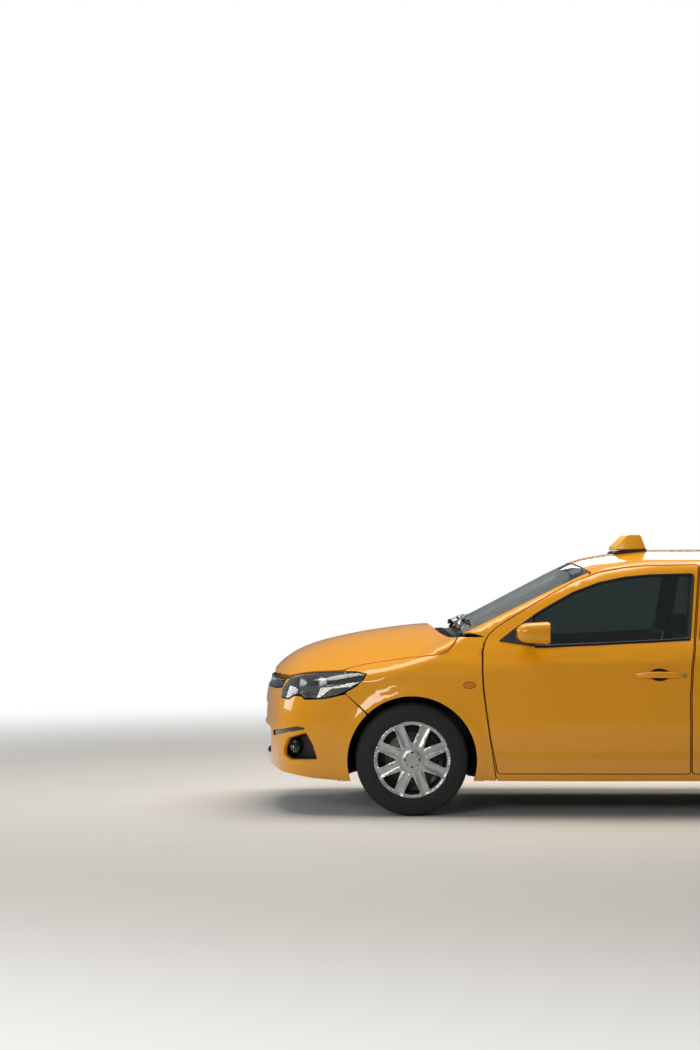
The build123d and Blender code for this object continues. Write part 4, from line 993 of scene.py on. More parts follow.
lid_front = lid_of(TOP_PLACE([(1.600, y) for y in (0.0, 0.3, 0.50, 0.632)]))
lid_side = lid_of(TOP_PLACE([(x, 0.660) for x in (1.622, 1.66, 1.75, 1.85, 1.95, 2.02)]))
tail_edge = []
for y, z in ((0.655, 0.900), (0.650, 0.886), (0.613, 0.880), (0.610, 0.800), (0.606, 0.696),
             (0.596, 0.668), (0.40, 0.660), (0.0, 0.658)):
    tail_edge.append(end_way(1.2, 1)([(y, z)])[0])
lid_tail = lid_of(np.array(tail_edge))
right_half = [tuple(p) for p in np.vstack([lid_front[1:], lid_side, lid_tail])]
left_half = [(a, -y) for a, y in right_half[::-1] if y > 0.01]
lid_edge = rounded([tuple(lid_front[0])] + right_half + left_half, 12 * MM, 0.022)
panel("boot_lid_skin", "boot_lid", TAXI_PAINT, lid_way(LID_X, LID_Z), lid_edge,
      ["boot_lid"], thick=LID_THICK, spacing=LID_SPACING)
print("bonnet, roof and boot lid laid")

# %% [markdown]
# ## Front wings
# The wing wraps from the wheel arch over the shoulder to the bonnet. Its rear edge
# follows the door, and its nose makes room for the headlamp and the bumper.

# %% Front wings


def wing_outline(side):
    """The edge of a front wing, as a loop for section_way."""
    rear = section_of(side_points([(-927 - 3, 192), (-967, 424), (-990, 585), (-1005, 708),
                                   (-1009, 794), (-1007, 898), (-997, 946), (-988, 980)], side))
    top = section_of(TOP_PLACE([(-1.078, 0.750), (-1.120, 0.736), (-1.139, 0.726)]))
    seam = [(x + dx, z - 5) for x, z, dx in (
        (-1144, 977, 6), (-1158, 949, 5), (-1186, 913, 4), (-1226, 891, 0), (-1274, 883, 0), (-1340, 877, 0),
        (-1417, 869, 0), (-1500, 857, 0), (-1625, 837, 0), (-1736, 813, 0), (-1768, 797, 3))]
    seam = section_of(side_points(seam, side))
    lamp = section_of(side_points([(-1764, 793), (-1700, 794), (-1637, 781),
                                   (-1658, 744), (-1697, 709), (-1756, 676), (-1750, 666)], side))
    arch = section_of(side_points(arc_points(FRONT_AXLE, ARCH, 133, -18.2, 40), side))
    base = section_of(side_points([(-1053, 192)], side))
    return np.vstack([rear, top, seam, lamp, arch, base])


for side, word in SIDES:
    wing_edge = divided(wing_outline(side), 0.022)
    panel("wing_skin_" + word, "body", TAXI_PAINT, section_way(side), wing_edge,
          ["front_fender_" + word], thick=16 * MM, spacing=0.024)
print("wings laid")

# %% [markdown]
# ## Recesses
# Lamp pods and grille mouths are pressed into the skin: a loop on the surface steps
# inwards and down in bands. The band next to the skin slopes, so it catches the light
# along its lower edge the way a moulded surround does.

# %% Stepped recesses


def skirt(place, loop, steps):
    """Bands that go from a loop on the skin through (inset, depth) steps."""
    rows = [place(moved_in(loop, inset) if inset else loop, depth) for inset, depth in steps]
    n = len(loop)
    verts, faces, normals = [], [], []
    middle = place(loop, 0.0).mean(axis=0)
    for k in range(len(rows) - 1):
        a, b = rows[k], rows[k + 1]
        base = 2 * n * k
        verts += [a, b]
        along = np.roll(a, -1, axis=0) - np.roll(a, 1, axis=0)
        normal = np.cross(along, b - a)
        normal = normal / np.maximum(np.linalg.norm(normal, axis=1), 1e-9)[:, None]
        out = skin_normal(a) - 0.8 * (a - middle) / np.linalg.norm(a - middle, axis=1)[:, None]
        if float(np.sum(normal * out)) < 0:
            normal = -normal
        normals += [normal, normal]
        for i in range(n):
            j = (i + 1) % n
            quad = (base + i, base + j, base + n + j, base + n + i)
            pts = [a[i], a[j], b[j]]
            if np.dot(np.cross(pts[1] - pts[0], pts[2] - pts[0]), normal[i]) < 0:
                quad = quad[::-1]
            faces.append(quad)
    return np.vstack(verts), faces, np.vstack(normals)


def cap(place, loop, depth, spacing=0.03):
    """A sheet that closes a loop at a depth."""
    flat, tris, border = fill_outline(loop, [], spacing)
    verts = place(flat, depth)
    normals = skin_normal(verts)
    tris = facing(verts, tris, normals)
    return verts, tris, normals


# %% Finishes for trim, lamps and glass
BLACK_TRIM = plain_finish("black moulded plastic", "#17181A", 0.48, grain=0.8 * MM, bump=0.10 * MM)
GLOSS_BLACK = plain_finish("black gloss plastic", "#0B0C0D", 0.12, grain=4 * MM, bump=0.01 * MM)
RUBBER = plain_finish("black seal rubber", "#101112", 0.62, grain=1.0 * MM, bump=0.06 * MM)
BLACK_STEEL = plain_finish("black chassis paint", "#1B1C1D", 0.40, grain=1.5 * MM, bump=0.12 * MM)
DARK_LINER = plain_finish("felted arch liner", "#121314", 0.92, grain=0.7 * MM, bump=0.30 * MM)
CHROME = plain_finish("chrome plating", "#D6DADC", 0.10, metallic=1.0, grain=6 * MM, bump=0.01 * MM)


def clear_finish(name, code, rough=0.02, ior=1.49, weight=1.0, alpha=1.0):
    """Clear moulded lens or glass with a little haze."""
    material, tree, shader = start_material(name, Transmission_Weight=weight, IOR=ior,
                                            Roughness=rough, Alpha=alpha)
    place = add_node(tree, "ShaderNodeTexCoord")
    smear = noise_at(tree, place, 0.12, 5.0, Roughness=0.7)
    haze = add_node(tree, "ShaderNodeMapRange", {"Value": smear.outputs["Fac"]},
                    From_Min=0.35, From_Max=0.75, To_Min=rough, To_Max=rough + 0.05)
    tree.links.new(haze.outputs["Result"], shader.inputs["Roughness"])
    two_tones(tree, shader, smear.outputs["Fac"], shade(srgb(code), 0.95), srgb(code))
    return material


LENS = clear_finish("clear polycarbonate lens", "#F4F8F8")
RED_LENS = clear_finish("red acrylic lens", "#B01015", 0.04)
AMBER_LENS = clear_finish("amber acrylic lens", "#FF9A1E", 0.05, weight=0.35)
SCREEN_GLASS = clear_finish("laminated windscreen glass", "#C9D6D0", 0.0, 1.52)
SIDE_GLASS = clear_finish("tinted side glass", "#5E6A68", 0.0, 1.52)

# %% [markdown]
# ## Front bumper
# The bumper cover is one moulding that wraps the nose from arch to arch. Its top edge
# runs under the grille and the lamps. It holds a wide mouth in the middle, a thin slot
# with a running light at each corner, and a fog lamp pocket below it.

# %% Front bumper
NOSE = wrap_way(NOSE_AXIS_X, -1)
NOSE_START = -1.2
FOG_POCKET = [(-2101, 366, 16), (-2078, 424, 20), (-1975, 459, 12), (-1936, 393, 30), (-1908, 306, 12),
              (-2066, 300, 22), (-2101, 324, 18)]
LIGHT_SLOT = [(-2164, 452, 4), (-2100, 471), (-2026, 489, 10), (-1984, 483, 7), (-1984, 473, 5),
              (-2070, 453), (-2150, 427), (-2164, 421, 4)]


def readers(axis_x, start_x, end):
    """Two readers of outlines for one end of the car; both give (angle, z) and keep the radii."""

    def from_side(pairs):
        skin = wrap_of(side_points([p[:2] for p in pairs], 1), axis_x, end)
        return [(a, z, *[r * MM for r in p[2:]]) for (a, z), p in zip(skin, pairs)]

    def from_end(pairs):
        skin = wrap_of(end_way(start_x, end)([p[:2] for p in pairs]), axis_x, end)
        return [(a, z, *p[2:]) for (a, z), p in zip(skin, pairs)]

    return from_side, from_end


# side-view points are in millimetres, and points seen from the end (y, z) in metres
nose_side, nose_front = readers(NOSE_AXIS_X, NOSE_START, -1)


def mirrored(right):
    """A right-hand half outline, completed on the left."""
    return right + [(-a, z, *rest) for a, z, *rest in reversed(right) if abs(a) > 1e-6]


bumper_half = nose_front([(0.0, 0.682), (0.20, 0.682), (0.48, 0.684), (0.590, 0.694, 0.012),
                          (0.592, 0.742, 0.004), (0.628, 0.744, 0.004)])
bumper_half += nose_side([(-2109, 690, 10), (-2119, 640, 6), (-2072, 633), (-2038, 655, 8), (-2000, 651, 8),
                          (-1984, 635, 6), (-1874, 640), (-1808, 655), (-1757, 667, 6)])
bumper_half += nose_side([(-1645, 563, 6)])
bumper_half += nose_side(arc_points(FRONT_AXLE, ARCH, 135, 198.5, 22))
bumper_half += nose_side([(-1760, 189), (-1945, 205), (-2056, 224), (-2140, 240)])
bumper_half += nose_front([(0.45, 0.250), (0.20, 0.255), (0.0, 0.256)])
mouth_half = nose_front([(0.0, 0.470), (0.30, 0.470), (0.425, 0.462, 0.02), (0.440, 0.410),
                         (0.395, 0.320, 0.03), (0.30, 0.312), (0.0, 0.312)])
front_well_half = nose_front([(0.0, 0.601), (0.260, 0.601, 0.010), (0.260, 0.485, 0.010), (0.0, 0.485)])
NOSE_SPACING = 0.018
bumper_loop = rounded(mirrored(bumper_half), 1 * MM, NOSE_SPACING)
mouth_loop = rounded(mirrored(mouth_half), 10 * MM, NOSE_SPACING)
fog_right = rounded(nose_side(FOG_POCKET), 12 * MM, 0.012)
slot_right = rounded(nose_side(LIGHT_SLOT), 3 * MM, 0.010)
fog_left = fog_right[::-1] * [-1, 1]
slot_left = slot_right[::-1] * [-1, 1]
BUMPER_THICK = 5 * MM
front_well = rounded(mirrored(front_well_half), 5 * MM, NOSE_SPACING)
bumper_mesh = sheet_mesh(NOSE, bumper_loop, [mouth_loop, front_well, fog_right, fog_left, slot_right,
                                             slot_left], thick=BUMPER_THICK, spacing=0.026)
surround = [skirt(NOSE, loop, [(0.0, 1 * MM), (3 * MM, 5 * MM), (6 * MM, 20 * MM)])
            for loop in (fog_right, fog_left)]
surround += [skirt(NOSE, front_well, [(0.0, 1 * MM), (4 * MM, 12 * MM)]),
             cap(NOSE, moved_in(front_well, 4 * MM), 12 * MM, 0.05)]
piece_of("front_bumper_cover", "body", TAXI_PAINT, joined(bumper_mesh, *surround), ["front_bumper"])
pockets = []
for loop in (fog_right, fog_left):
    pockets.append(skirt(NOSE, moved_in(loop, 6 * MM), [(0.0, 20 * MM), (6 * MM, 62 * MM)]))
    pockets.append(cap(NOSE, moved_in(moved_in(loop, 6 * MM), 6 * MM), 62 * MM))
for loop in (slot_right, slot_left):
    pockets.append(skirt(NOSE, loop, [(0.0, 2 * MM), (0.0, 20 * MM)]))
    pockets.append(cap(NOSE, loop, 20 * MM, 0.01))
pockets.append(skirt(NOSE, mouth_loop, [(0.0, 2 * MM), (4 * MM, 14 * MM), (8 * MM, 70 * MM)]))
piece_of("bumper_pockets", "body", BLACK_TRIM, joined(*pockets))
print("front bumper:", len(bumper_mesh[0]), "points")

# %% [markdown]
# ## Solids of revolution and small parts
# Wheels, bowls, buttons and tubes are turned or drawn parts. Small makers cover
# them: one spins a profile, one sweeps a ring along a line, and one makes a block with
# softened edges. Each returns points and faces, and a placing matrix puts them on the car.

# %% Makers for turned, swept and moulded parts


def spun(profile, count, start=0.0, turn=2 * math.pi):
    """Spins (radius, along) pairs round the Y axis: points and faces."""
    closed = abs(turn - 2 * math.pi) < 1e-9
    steps = count if closed else count + 1
    angles = start + np.linspace(0.0, turn, count + 1)[:steps]
    verts = []
    for a in angles:
        for radius, along in profile:
            verts.append((radius * math.cos(a), along, radius * math.sin(a)))
    m = len(profile)
    faces = []
    for k in range(count):
        n = (k + 1) % steps
        for i in range(m - 1):
            faces.append((k * m + i, n * m + i, n * m + i + 1, k * m + i + 1))
    return np.array(verts), faces


def tube(path, radius, count=10, closed=False, flatten=1.0):
    """Sweeps a round section along a path of points: points and faces."""
    path = np.array(path, float)
    n = len(path)
    if closed:
        tangent = np.roll(path, -1, axis=0) - np.roll(path, 1, axis=0)
    else:
        tangent = np.gradient(path, axis=0)
    tangent = tangent / np.linalg.norm(tangent, axis=1)[:, None]
    verts = []
    side = np.cross(tangent[0], [0.0, 0.0, 1.0])
    if np.linalg.norm(side) < 0.05:
        side = np.cross(tangent[0], [0.0, 1.0, 0.0])
    radii = radius if np.ndim(radius) else [radius] * n
    for k in range(n):
        side = side - tangent[k] * np.dot(side, tangent[k])
        side = side / np.linalg.norm(side)
        up = np.cross(side, tangent[k])
        for t in circle(count):
            verts.append(path[k] + radii[k] * (math.cos(t) * side + flatten * math.sin(t) * up))
    faces = []
    for k in range(n if closed else n - 1):
        j = (k + 1) % n
        for i in range(count):
            m = (i + 1) % count
            faces.append((k * count + i, j * count + i, j * count + m, k * count + m))
    if not closed:
        faces.append(tuple(range(count))[::-1])
        faces.append(tuple(range((n - 1) * count, n * count)))
    return np.array(verts), faces


def slab(outline, low, high, soft=0.0, axes="xz"):
    """An outline raised between two levels, with softened edges: points and faces."""
    loop = np.array(outline, float)
    loops = [(loop if not soft else moved_in(loop, soft), low)]
    if soft:
        loops += [(moved_in(loop, 0.3 * soft), low + 0.3 * soft * (1 if high > low else -1)),
                  (loop, low + soft * (1 if high > low else -1)),
                  (loop, high - soft * (1 if high > low else -1)),
                  (moved_in(loop, 0.3 * soft), high - 0.3 * soft * (1 if high > low else -1)),
                  (moved_in(loop, soft), high)]
    else:
        loops += [(loop, high)]
    n = len(loop)
    rows = []
    for flat, level in loops:
        levels = np.full(n, level)
        if axes == "xz":
            rows.append(np.column_stack([flat[:, 0], levels, flat[:, 1]]))
        elif axes == "xy":
            rows.append(np.column_stack([flat[:, 0], flat[:, 1], levels]))
        else:
            rows.append(np.column_stack([levels, flat[:, 0], flat[:, 1]]))
    faces = bands(len(rows), n)
    faces.append(tuple(range(n))[::-1])
    faces.append(tuple(range((len(rows) - 1) * n, len(rows) * n)))
    return np.vstack(rows), faces


def raised(corners, radius, spacing, *levels):
    """A slab from corners that are rounded first."""
    return slab(rounded(corners, radius, spacing), *levels)


def merged(*meshes):
    """Several (points, faces) pairs as one."""
    verts, faces, base = [], [], 0
    for v, f in meshes:
        verts.append(np.asarray(v, float))
        faces += [tuple(i + base for i in face) for face in f]
        base += len(v)
    return np.vstack(verts), faces


def moved(mesh, offset=(0, 0, 0), flip_y=False, turn_y=0.0):
    """A mesh turned about Y, mirrored across the car if asked, then moved."""
    v, f = np.array(mesh[0], float), mesh[1]
    if turn_y:
        c, s = math.cos(turn_y), math.sin(turn_y)
        v = np.column_stack([c * v[:, 0] + s * v[:, 2], v[:, 1], -s * v[:, 0] + c * v[:, 2]])
    if flip_y:
        v = v * [1, -1, 1]
        f = [face[::-1] for face in f]
    return v + np.array(offset, float), f


def solid_piece(name, body, materials, meshes, replaced=(), sharp=35.0, bevel=0.0):
    """A piece from point-and-face sets, one material each, with sharp edges kept."""
    mesh = bpy.data.meshes.new(name)
    verts, faces, slots = [], [], []
    base = 0
    for k, (v, f) in enumerate(meshes):
        verts += [tuple(map(float, p)) for p in v]
        faces += [tuple(i + base for i in face) for face in f]
        slots += [k if len(materials) > 1 else 0] * len(f)
        base += len(v)
    mesh.from_pydata(verts, [], faces)
    for material in materials:
        mesh.materials.append(material)
    mesh.polygons.foreach_set("material_index", slots)
    work = bmesh.new()
    work.from_mesh(mesh)
    bmesh.ops.recalc_face_normals(work, faces=work.faces)
    for edge in work.edges:
        edge.smooth = len(edge.link_faces) == 2 and edge.calc_face_angle(0.0) < math.radians(sharp)
    for face in work.faces:
        face.smooth = True
    work.to_mesh(mesh)
    work.free()
    piece = bpy.data.objects.new(name, mesh)
    bpy.context.scene.collection.objects.link(piece)
    if bevel:
        edge = piece.modifiers.new("bevel", "BEVEL")
        edge.width = bevel
        edge.segments = 2
        edge.limit_method = "ANGLE"
        edge.angle_limit = math.radians(40)
    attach(piece, body)
    if replaced:
        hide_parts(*replaced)
    return piece


# %% [markdown]
# ## Wheels
# The steel wheel sits behind a moulded cover with eight wide spokes. Each spoke carries
# two raised ridges, and the cover ends in a thin bead that grips the rim. The cap in the
# middle has four large notches and four small ones round it. The cover is painted silver.

# %% Wheel cover
SILVER = plain_finish("silver wheel lacquer", "#B9BDBC", 0.30, metallic=0.75, grain=0.5 * MM,
                      bump=0.02 * MM)
COVER_R = 0.212
WINDOW_IN = 0.086
WINDOW_OUT = 0.190
WINDOW_ANGLE = math.radians(14.5)


def cover_height(r, angle):
    """How far the cover stands out at a radius and an angle, in metres."""
    dome = -0.005 * np.clip((r - 0.06) / 0.15, 0, 1) ** 2
    spoke = np.abs((angle / (math.pi / 4)) % 1.0 - 0.5) * (math.pi / 4)
    across = r * np.sin(spoke)
    half = 0.5 * (0.030 + 0.22 * np.clip(r - 0.06, 0, 1))
    ridge = np.exp(-((across - half * 0.95) / 0.0045) ** 2) * soft_step(0.070, 0.088, r)
    ridge = ridge * soft_step(0.203, 0.188, r)
    valley = -0.0025 * np.exp(-(across / (0.7 * half)) ** 2) * soft_step(0.07, 0.10, r)
    bead = 0.004 * np.exp(-((r - 0.205) / 0.0045) ** 2)
    cap = 0.004 * soft_step(0.054, 0.047, r)
    return dome + 0.0045 * ridge + valley + bead + cap


def window_loop(k):
    """The outline of one of the eight openings in the cover, in the wheel's plane."""
    middle = k * math.pi / 4
    corners = []
    for r, a, soft in ((WINDOW_IN, 0.0, 0.007), (WINDOW_OUT, WINDOW_ANGLE, 0.012),
                       (WINDOW_OUT + 0.006, 0.0, 0.10), (WINDOW_OUT, -WINDOW_ANGLE, 0.012)):
        corners.append((r * math.cos(middle + a), r * math.sin(middle + a), soft))
    return rounded(corners, 0.006, 0.006)


def notch_loop(k):
    """One notch round the centre cap: large on the main axes, small between."""
    middle = k * math.pi / 4
    large = k % 2 == 0
    r = 0.040
    rx, ry = (0.0045, 0.0085) if large else (0.0026, 0.0040)
    turns = circle(12)
    local = np.column_stack([r + rx * np.cos(turns), ry * np.sin(turns)])
    c, s = math.cos(middle), math.sin(middle)
    return local @ np.array([[c, s], [-s, c]])


def cover_mesh():
    """The wheel cover as a sheet with its openings, facing -Y."""
    ring = circle(96)
    edge = COVER_R * np.column_stack([np.cos(ring), np.sin(ring)])
    holes = [window_loop(k) for k in range(8)] + [notch_loop(k) for k in range(8)]

    def place(flat, depth=0.0):
        flat = np.asarray(flat, float)
        r = np.hypot(flat[:, 0], flat[:, 1])
        out = cover_height(r, np.arctan2(flat[:, 1], flat[:, 0]))
        return np.column_stack([flat[:, 0], -out + depth, flat[:, 1]])

    flat, tris, border = fill_outline(edge, holes, 0.0075)
    front, back = place(flat, 0.0), place(flat, 0.003)
    n = len(flat)
    faces = list(tris) + [(t[2] + n, t[1] + n, t[0] + n) for t in tris]
    verts = [front, back]
    base = 2 * n
    for k, loop in enumerate(border):
        deep = 0.010 if k == 0 else (0.012 if k <= 8 else 0.004)
        lip = place(flat[loop], deep)
        m = len(loop)
        verts += [front[loop], lip]
        for i in range(m):
            j = (i + 1) % m
            faces.append((base + i, base + j, base + m + j, base + m + i))
        base += 2 * m
    return np.vstack(verts), faces


cover = cover_mesh()
print("wheel cover:", len(cover[1]), "faces")

# %% [markdown]
# ## Rims and tyres
# Behind the cover is the black steel rim with its disc. The tyre is a turned section
# with a moulded tread: blocks stand between four grooves round the tyre and many
# narrow cross cuts, and the side wall carries fine raised bands. No lettering is moulded.

# %% Rims, tyres and hubs
RIM_SECTION = [(0.196, -0.084), (0.196, -0.081), (0.186, -0.076), (0.178, -0.066), (0.178, 0.030),
               (0.178, 0.066), (0.186, 0.076), (0.196, 0.081), (0.196, 0.084), (0.189, 0.084),
               (0.172, 0.060), (0.172, -0.062), (0.189, -0.084), (0.196, -0.084)]
DISC_SECTION = [(0.171, -0.030), (0.150, -0.022), (0.110, -0.036), (0.085, -0.040), (0.060, -0.034),
                (0.030, -0.034), (0.030, -0.028), (0.085, -0.034), (0.110, -0.030), (0.150, -0.016),
                (0.171, -0.024)]
WALL_SECTION = [(0.1965, 0.0835), (0.203, 0.0885), (0.213, 0.0915), (0.216, 0.0930), (0.219, 0.0925),
                (0.236, 0.0960), (0.238, 0.0972), (0.241, 0.0965), (0.262, 0.0972), (0.280, 0.0940),
                (0.292, 0.0895), (0.294, 0.0895), (0.301, 0.0830), (0.3055, 0.0760)]
TREAD = [(0.0760, 0), (0.0700, 0), (0.0560, 0), (0.0555, 1), (0.0485, 1), (0.0480, 0), (0.0240, 0),
         (0.0235, 1), (0.0150, 1), (0.0145, 0), (-0.0145, 0), (-0.0150, 1), (-0.0235, 1), (-0.0240, 0),
         (-0.0480, 0), (-0.0485, 1), (-0.0555, 1), (-0.0560, 0), (-0.0700, 0), (-0.0760, 0)]
GROOVE = 0.006
BLOCKS = 64


def tyre_mesh():
    """The tyre with grooves round it and cross cuts between the tread blocks."""
    right = WALL_SECTION
    left = [(r, -a) for r, a in reversed(WALL_SECTION)]
    verts, faces = [], []
    count = BLOCKS * 4
    rows = []
    for k in range(count):
        angle = 2 * math.pi * k / count
        cut = k % 4 == 3
        row = list(right)
        for along, grooved in TREAD[1:-1]:
            crown = TYRE_R - 0.0042 * (along / 0.076) ** 2
            shoulder = abs(along) > 0.054
            deep = GROOVE if grooved else (0.0045 if cut and (shoulder or abs(along) < 0.03) else 0.0)
            row.append((crown - deep, along))
        row += left
        row += [(0.205, -0.070), (0.250, -0.080), (0.292, -0.060), (0.298, 0.0), (0.292, 0.060),
                (0.250, 0.080), (0.205, 0.070)]
        rows.append([(r * math.cos(angle), a, r * math.sin(angle)) for r, a in row])
    m = len(rows[0])
    for row in rows:
        verts += row
    for k in range(count):
        n = (k + 1) % count
        for i in range(m):
            j = (i + 1) % m
            faces.append((k * m + i, n * m + i, n * m + j, k * m + j))
    return np.array(verts), faces


def tyre_rubber():
    """Vulcanised rubber, a little grey from dust, with fine rings on the wall."""
    material, tree, shader = start_material("tyre rubber", Roughness=0.75)
    place = add_node(tree, "ShaderNodeTexCoord")
    noise = vary(tree, shader, 0.03, srgb("#1C1D1F"), 0.35, (0.68, 0.86))
    split = add_node(tree, "ShaderNodeSeparateXYZ", {"Vector": place.outputs["Object"]})
    x2 = add_node(tree, "ShaderNodeMath", {0: split.outputs["X"], 1: split.outputs["X"]},
                  operation="MULTIPLY")
    r2 = add_node(tree, "ShaderNodeMath", {0: split.outputs["Z"], 1: split.outputs["Z"],
                                           2: x2.outputs["Value"]}, operation="MULTIPLY_ADD")
    r = add_node(tree, "ShaderNodeMath", {0: r2.outputs["Value"]}, operation="SQRT")
    rings = add_node(tree, "ShaderNodeMath", {0: r.outputs["Value"]}, operation="MULTIPLY")
    rings.inputs[1].default_value = 2 * math.pi / 0.004
    wave = add_node(tree, "ShaderNodeMath", {0: rings.outputs["Value"]}, operation="SINE")
    both = add_node(tree, "ShaderNodeMath", {0: wave.outputs["Value"], 1: noise.outputs["Fac"]},
                    operation="ADD")
    add_bump(tree, shader, both.outputs["Value"], 0.35, 0.12 * MM)
    return material


TYRE_RUBBER = tyre_rubber()
CAST_IRON = plain_finish("cast iron", "#5B5754", 0.55, metallic=0.8, grain=0.9 * MM, bump=0.08 * MM)
tyre = tyre_mesh()
rim = spun(RIM_SECTION, 72)
disc = spun(DISC_SECTION, 48)
valve = tube([(0.160, -0.060, 0.0), (0.172, -0.078, 0.0), (0.176, -0.092, 0.0)], 0.004, 8)
bolts = []
for k in range(4):
    a = math.radians(45 + 90 * k)
    head = spun([(0.0001, -0.050), (0.009, -0.050), (0.0105, -0.047), (0.0105, -0.034)], 6)
    bolts.append(moved(head, (0.050 * math.cos(a), 0, 0.050 * math.sin(a))))
COVER_OUT = 0.0945
WHEELS = [("front_left", (FRONT_AXLE_X, -0.750)), ("front_right", (FRONT_AXLE_X, 0.750)),
          ("rear_left", (REAR_AXLE_X, -0.739)), ("rear_right", (REAR_AXLE_X, 0.739))]
for name, (x, y) in WHEELS:
    centre = (x, y, TYRE_R)
    right = y > 0
    body = "wheel_" + name
    shape = moved(cover, (0, -COVER_OUT, 0))
    parts = [moved(shape, centre, right), moved(rim, centre, right), moved(disc, centre, right)]
    parts += [moved(merged(*bolts), centre, right), moved(valve, centre, right)]
    piece = solid_piece("wheel_" + name + "_trim", body, [SILVER, BLACK_STEEL, BLACK_STEEL, CAST_IRON,
                                                          RUBBER], parts, ["wheel_" + name], sharp=30)
    tyre_piece = solid_piece("tyre_" + name + "_tread", body, [TYRE_RUBBER], [tyre],
                             ["tyre_" + name], sharp=28)
    tyre_piece.location = centre
print("wheels built:", len(WHEELS), "tyre faces:", len(tyre[1]))

# %% [markdown]
# ## Glass
# The windscreen and rear window are bonded behind the body's edge, with a black
# printed border that hides the glue. The side windows are tempered panes set in about a
# centimetre, behind black frames, and run down into rubber seals at the waist.

# %% Screens
SCREEN_HALF = [(0.0, 1.052), (0.25, 1.045), (0.45, 1.026), (0.60, 1.004), (0.672, 0.996, 0.02),
               (0.655, 1.075), (0.620, 1.170), (0.585, 1.255), (0.549, 1.330, 0.03),
               (0.40, 1.362), (0.20, 1.380), (0.0, 1.386)]
BACK_HALF = [(0.0, 1.108), (0.30, 1.102), (0.50, 1.092), (0.628, 1.080, 0.03), (0.618, 1.115),
             (0.575, 1.200), (0.532, 1.290), (0.495, 1.360, 0.03), (0.30, 1.392), (0.0, 1.408)]
INK = plain_finish("black printed glass border", "#0A0B0B", 0.22, grain=2 * MM, bump=0.005 * MM)


def screen(name, place, half, border, node):
    """A bonded screen: the pane, and the printed border just under its outer face."""
    loop = rounded(mirrored(half), 5 * MM, 0.022)
    pane = sheet_mesh(place, loop, thick=4.5 * MM, spacing=0.05, sink=1.0 * MM)
    piece_of(name, "body", SCREEN_GLASS, pane, [node])
    band = ring_sheet(place, moved_in(loop, 1 * MM), moved_in(loop, border), 5.8 * MM)
    piece_of(name + "_border", "body", INK, band)
    seal = skirt(place, moved_in(loop, -5 * MM), [(0.0, 8 * MM), (1.5 * MM, -0.5 * MM),
                                                 (5 * MM, 0.5 * MM), (6 * MM, 4 * MM)])
    piece_of(name + "_seal", "body", RUBBER, seal)


screen("windscreen_glass", FRONT_GLASS, SCREEN_HALF, 34 * MM, "windscreen")
screen("rear_glass", BACK_GLASS, BACK_HALF, 40 * MM, "rear_window")

heater = []
for k in range(11):
    z = 1.150 + 0.019 * k
    reach = 0.555 - 0.45 * (z - 1.115)
    line = BACK_GLASS([(y, z) for y in np.linspace(-reach, reach, 14)], 6.2 * MM)
    heater.append(tube(line, 0.5 * MM, 4))
solid_piece("rear_glass_heater", "body", [CAST_IRON], [merged(*heater)])

# %% [markdown]
# ## Side windows
# Each pane is tinted and sits under its rubber. A black frame of even width hides the
# door's inner edge round each window.

# %% Side windows
WAIST_FRONT = [(-716, 927), (-638, 928), (-363, 940), (-87, 954), (141, 966)]
WAIST_REAR = [(192, 968), (640, 979), (1006, 985)]


def window_parts(side, word, key, window, waist):
    """The pane, its rubber frame and the waist strip of one door."""
    place = side_way(side)
    body = "door_" + key + "_" + word
    loop = side_loop(window)
    pane = sheet_mesh(place, moved_in(loop, -4 * MM), thick=4 * MM, spacing=0.06, sink=10 * MM)
    piece_of("pane_" + key + "_" + word, body, SIDE_GLASS, pane, ["glass_" + key + "_" + word])
    frame_band = skirt(place, moved_in(loop, -3 * MM),
                       [(0.0, 2.5 * MM), (0.0, -1.0 * MM), (4 * MM, -1.6 * MM), (9 * MM, 1.5 * MM),
                        (14 * MM, 7 * MM), (17 * MM, 10 * MM)])
    inner = skirt(place, moved_in(loop, -3 * MM), [(17 * MM, 14 * MM), (10 * MM, 20 * MM),
                                                  (6 * MM, 36 * MM)])
    piece_of("window_rubber_" + key + "_" + word, body, RUBBER, joined(frame_band, inner))
    line = place(np.array(waist) * MM, 0.0)
    line = line + skin_normal(line) * 1.0 * MM
    strip = tube(divided_path(line, 0.03), 3.2 * MM, 10, flatten=2.4)
    solid_piece("waist_strip_" + key + "_" + word, body, [GLOSS_BLACK], [strip])


def divided_path(points, spacing):
    """An open path with extra points at about the given spacing."""
    out = []
    for a, b in zip(points[:-1], points[1:]):
        steps = max(1, int(round(np.linalg.norm(b - a) / spacing)))
        out += [a + (b - a) * t / steps for t in range(steps)]
    return np.array(out + [points[-1]])


for side, word in SIDES:
    window_parts(side, word, "front", FRONT_WINDOW, WAIST_FRONT)
    window_parts(side, word, "rear", REAR_WINDOW, WAIST_REAR)
print("glass laid")

# %% [markdown]
# ## Headlamps
# A clear moulded lens closes each lamp. Behind it a black surround holds three chrome
# bowls, two for the beams and a small one for the indicator, each with a clear bulb. The
# bowls are real hollows, so their reflections change as one walks past the car.

# %% Headlamps
LAMP_SIDE = [
    (-2116, 640, 5), (-2106, 692, 12), (-2080, 744, 14), (-2048, 768, 16), (-1966, 779), (-1824, 787),
    (-1700, 787), (-1643, 776, 5), (-1663, 744), (-1702, 713), (-1761, 680), (-1808, 663, 16),
    (-1874, 648), (-1984, 643, 8), (-2000, 659, 10), (-2038, 663, 10), (-2072, 641, 6),
]
BOWLS = [((-1.985, 0.600, 0.712), 0.052), ((-1.880, 0.678, 0.722), 0.046), ((-2.050, 0.545, 0.700), 0.030)]


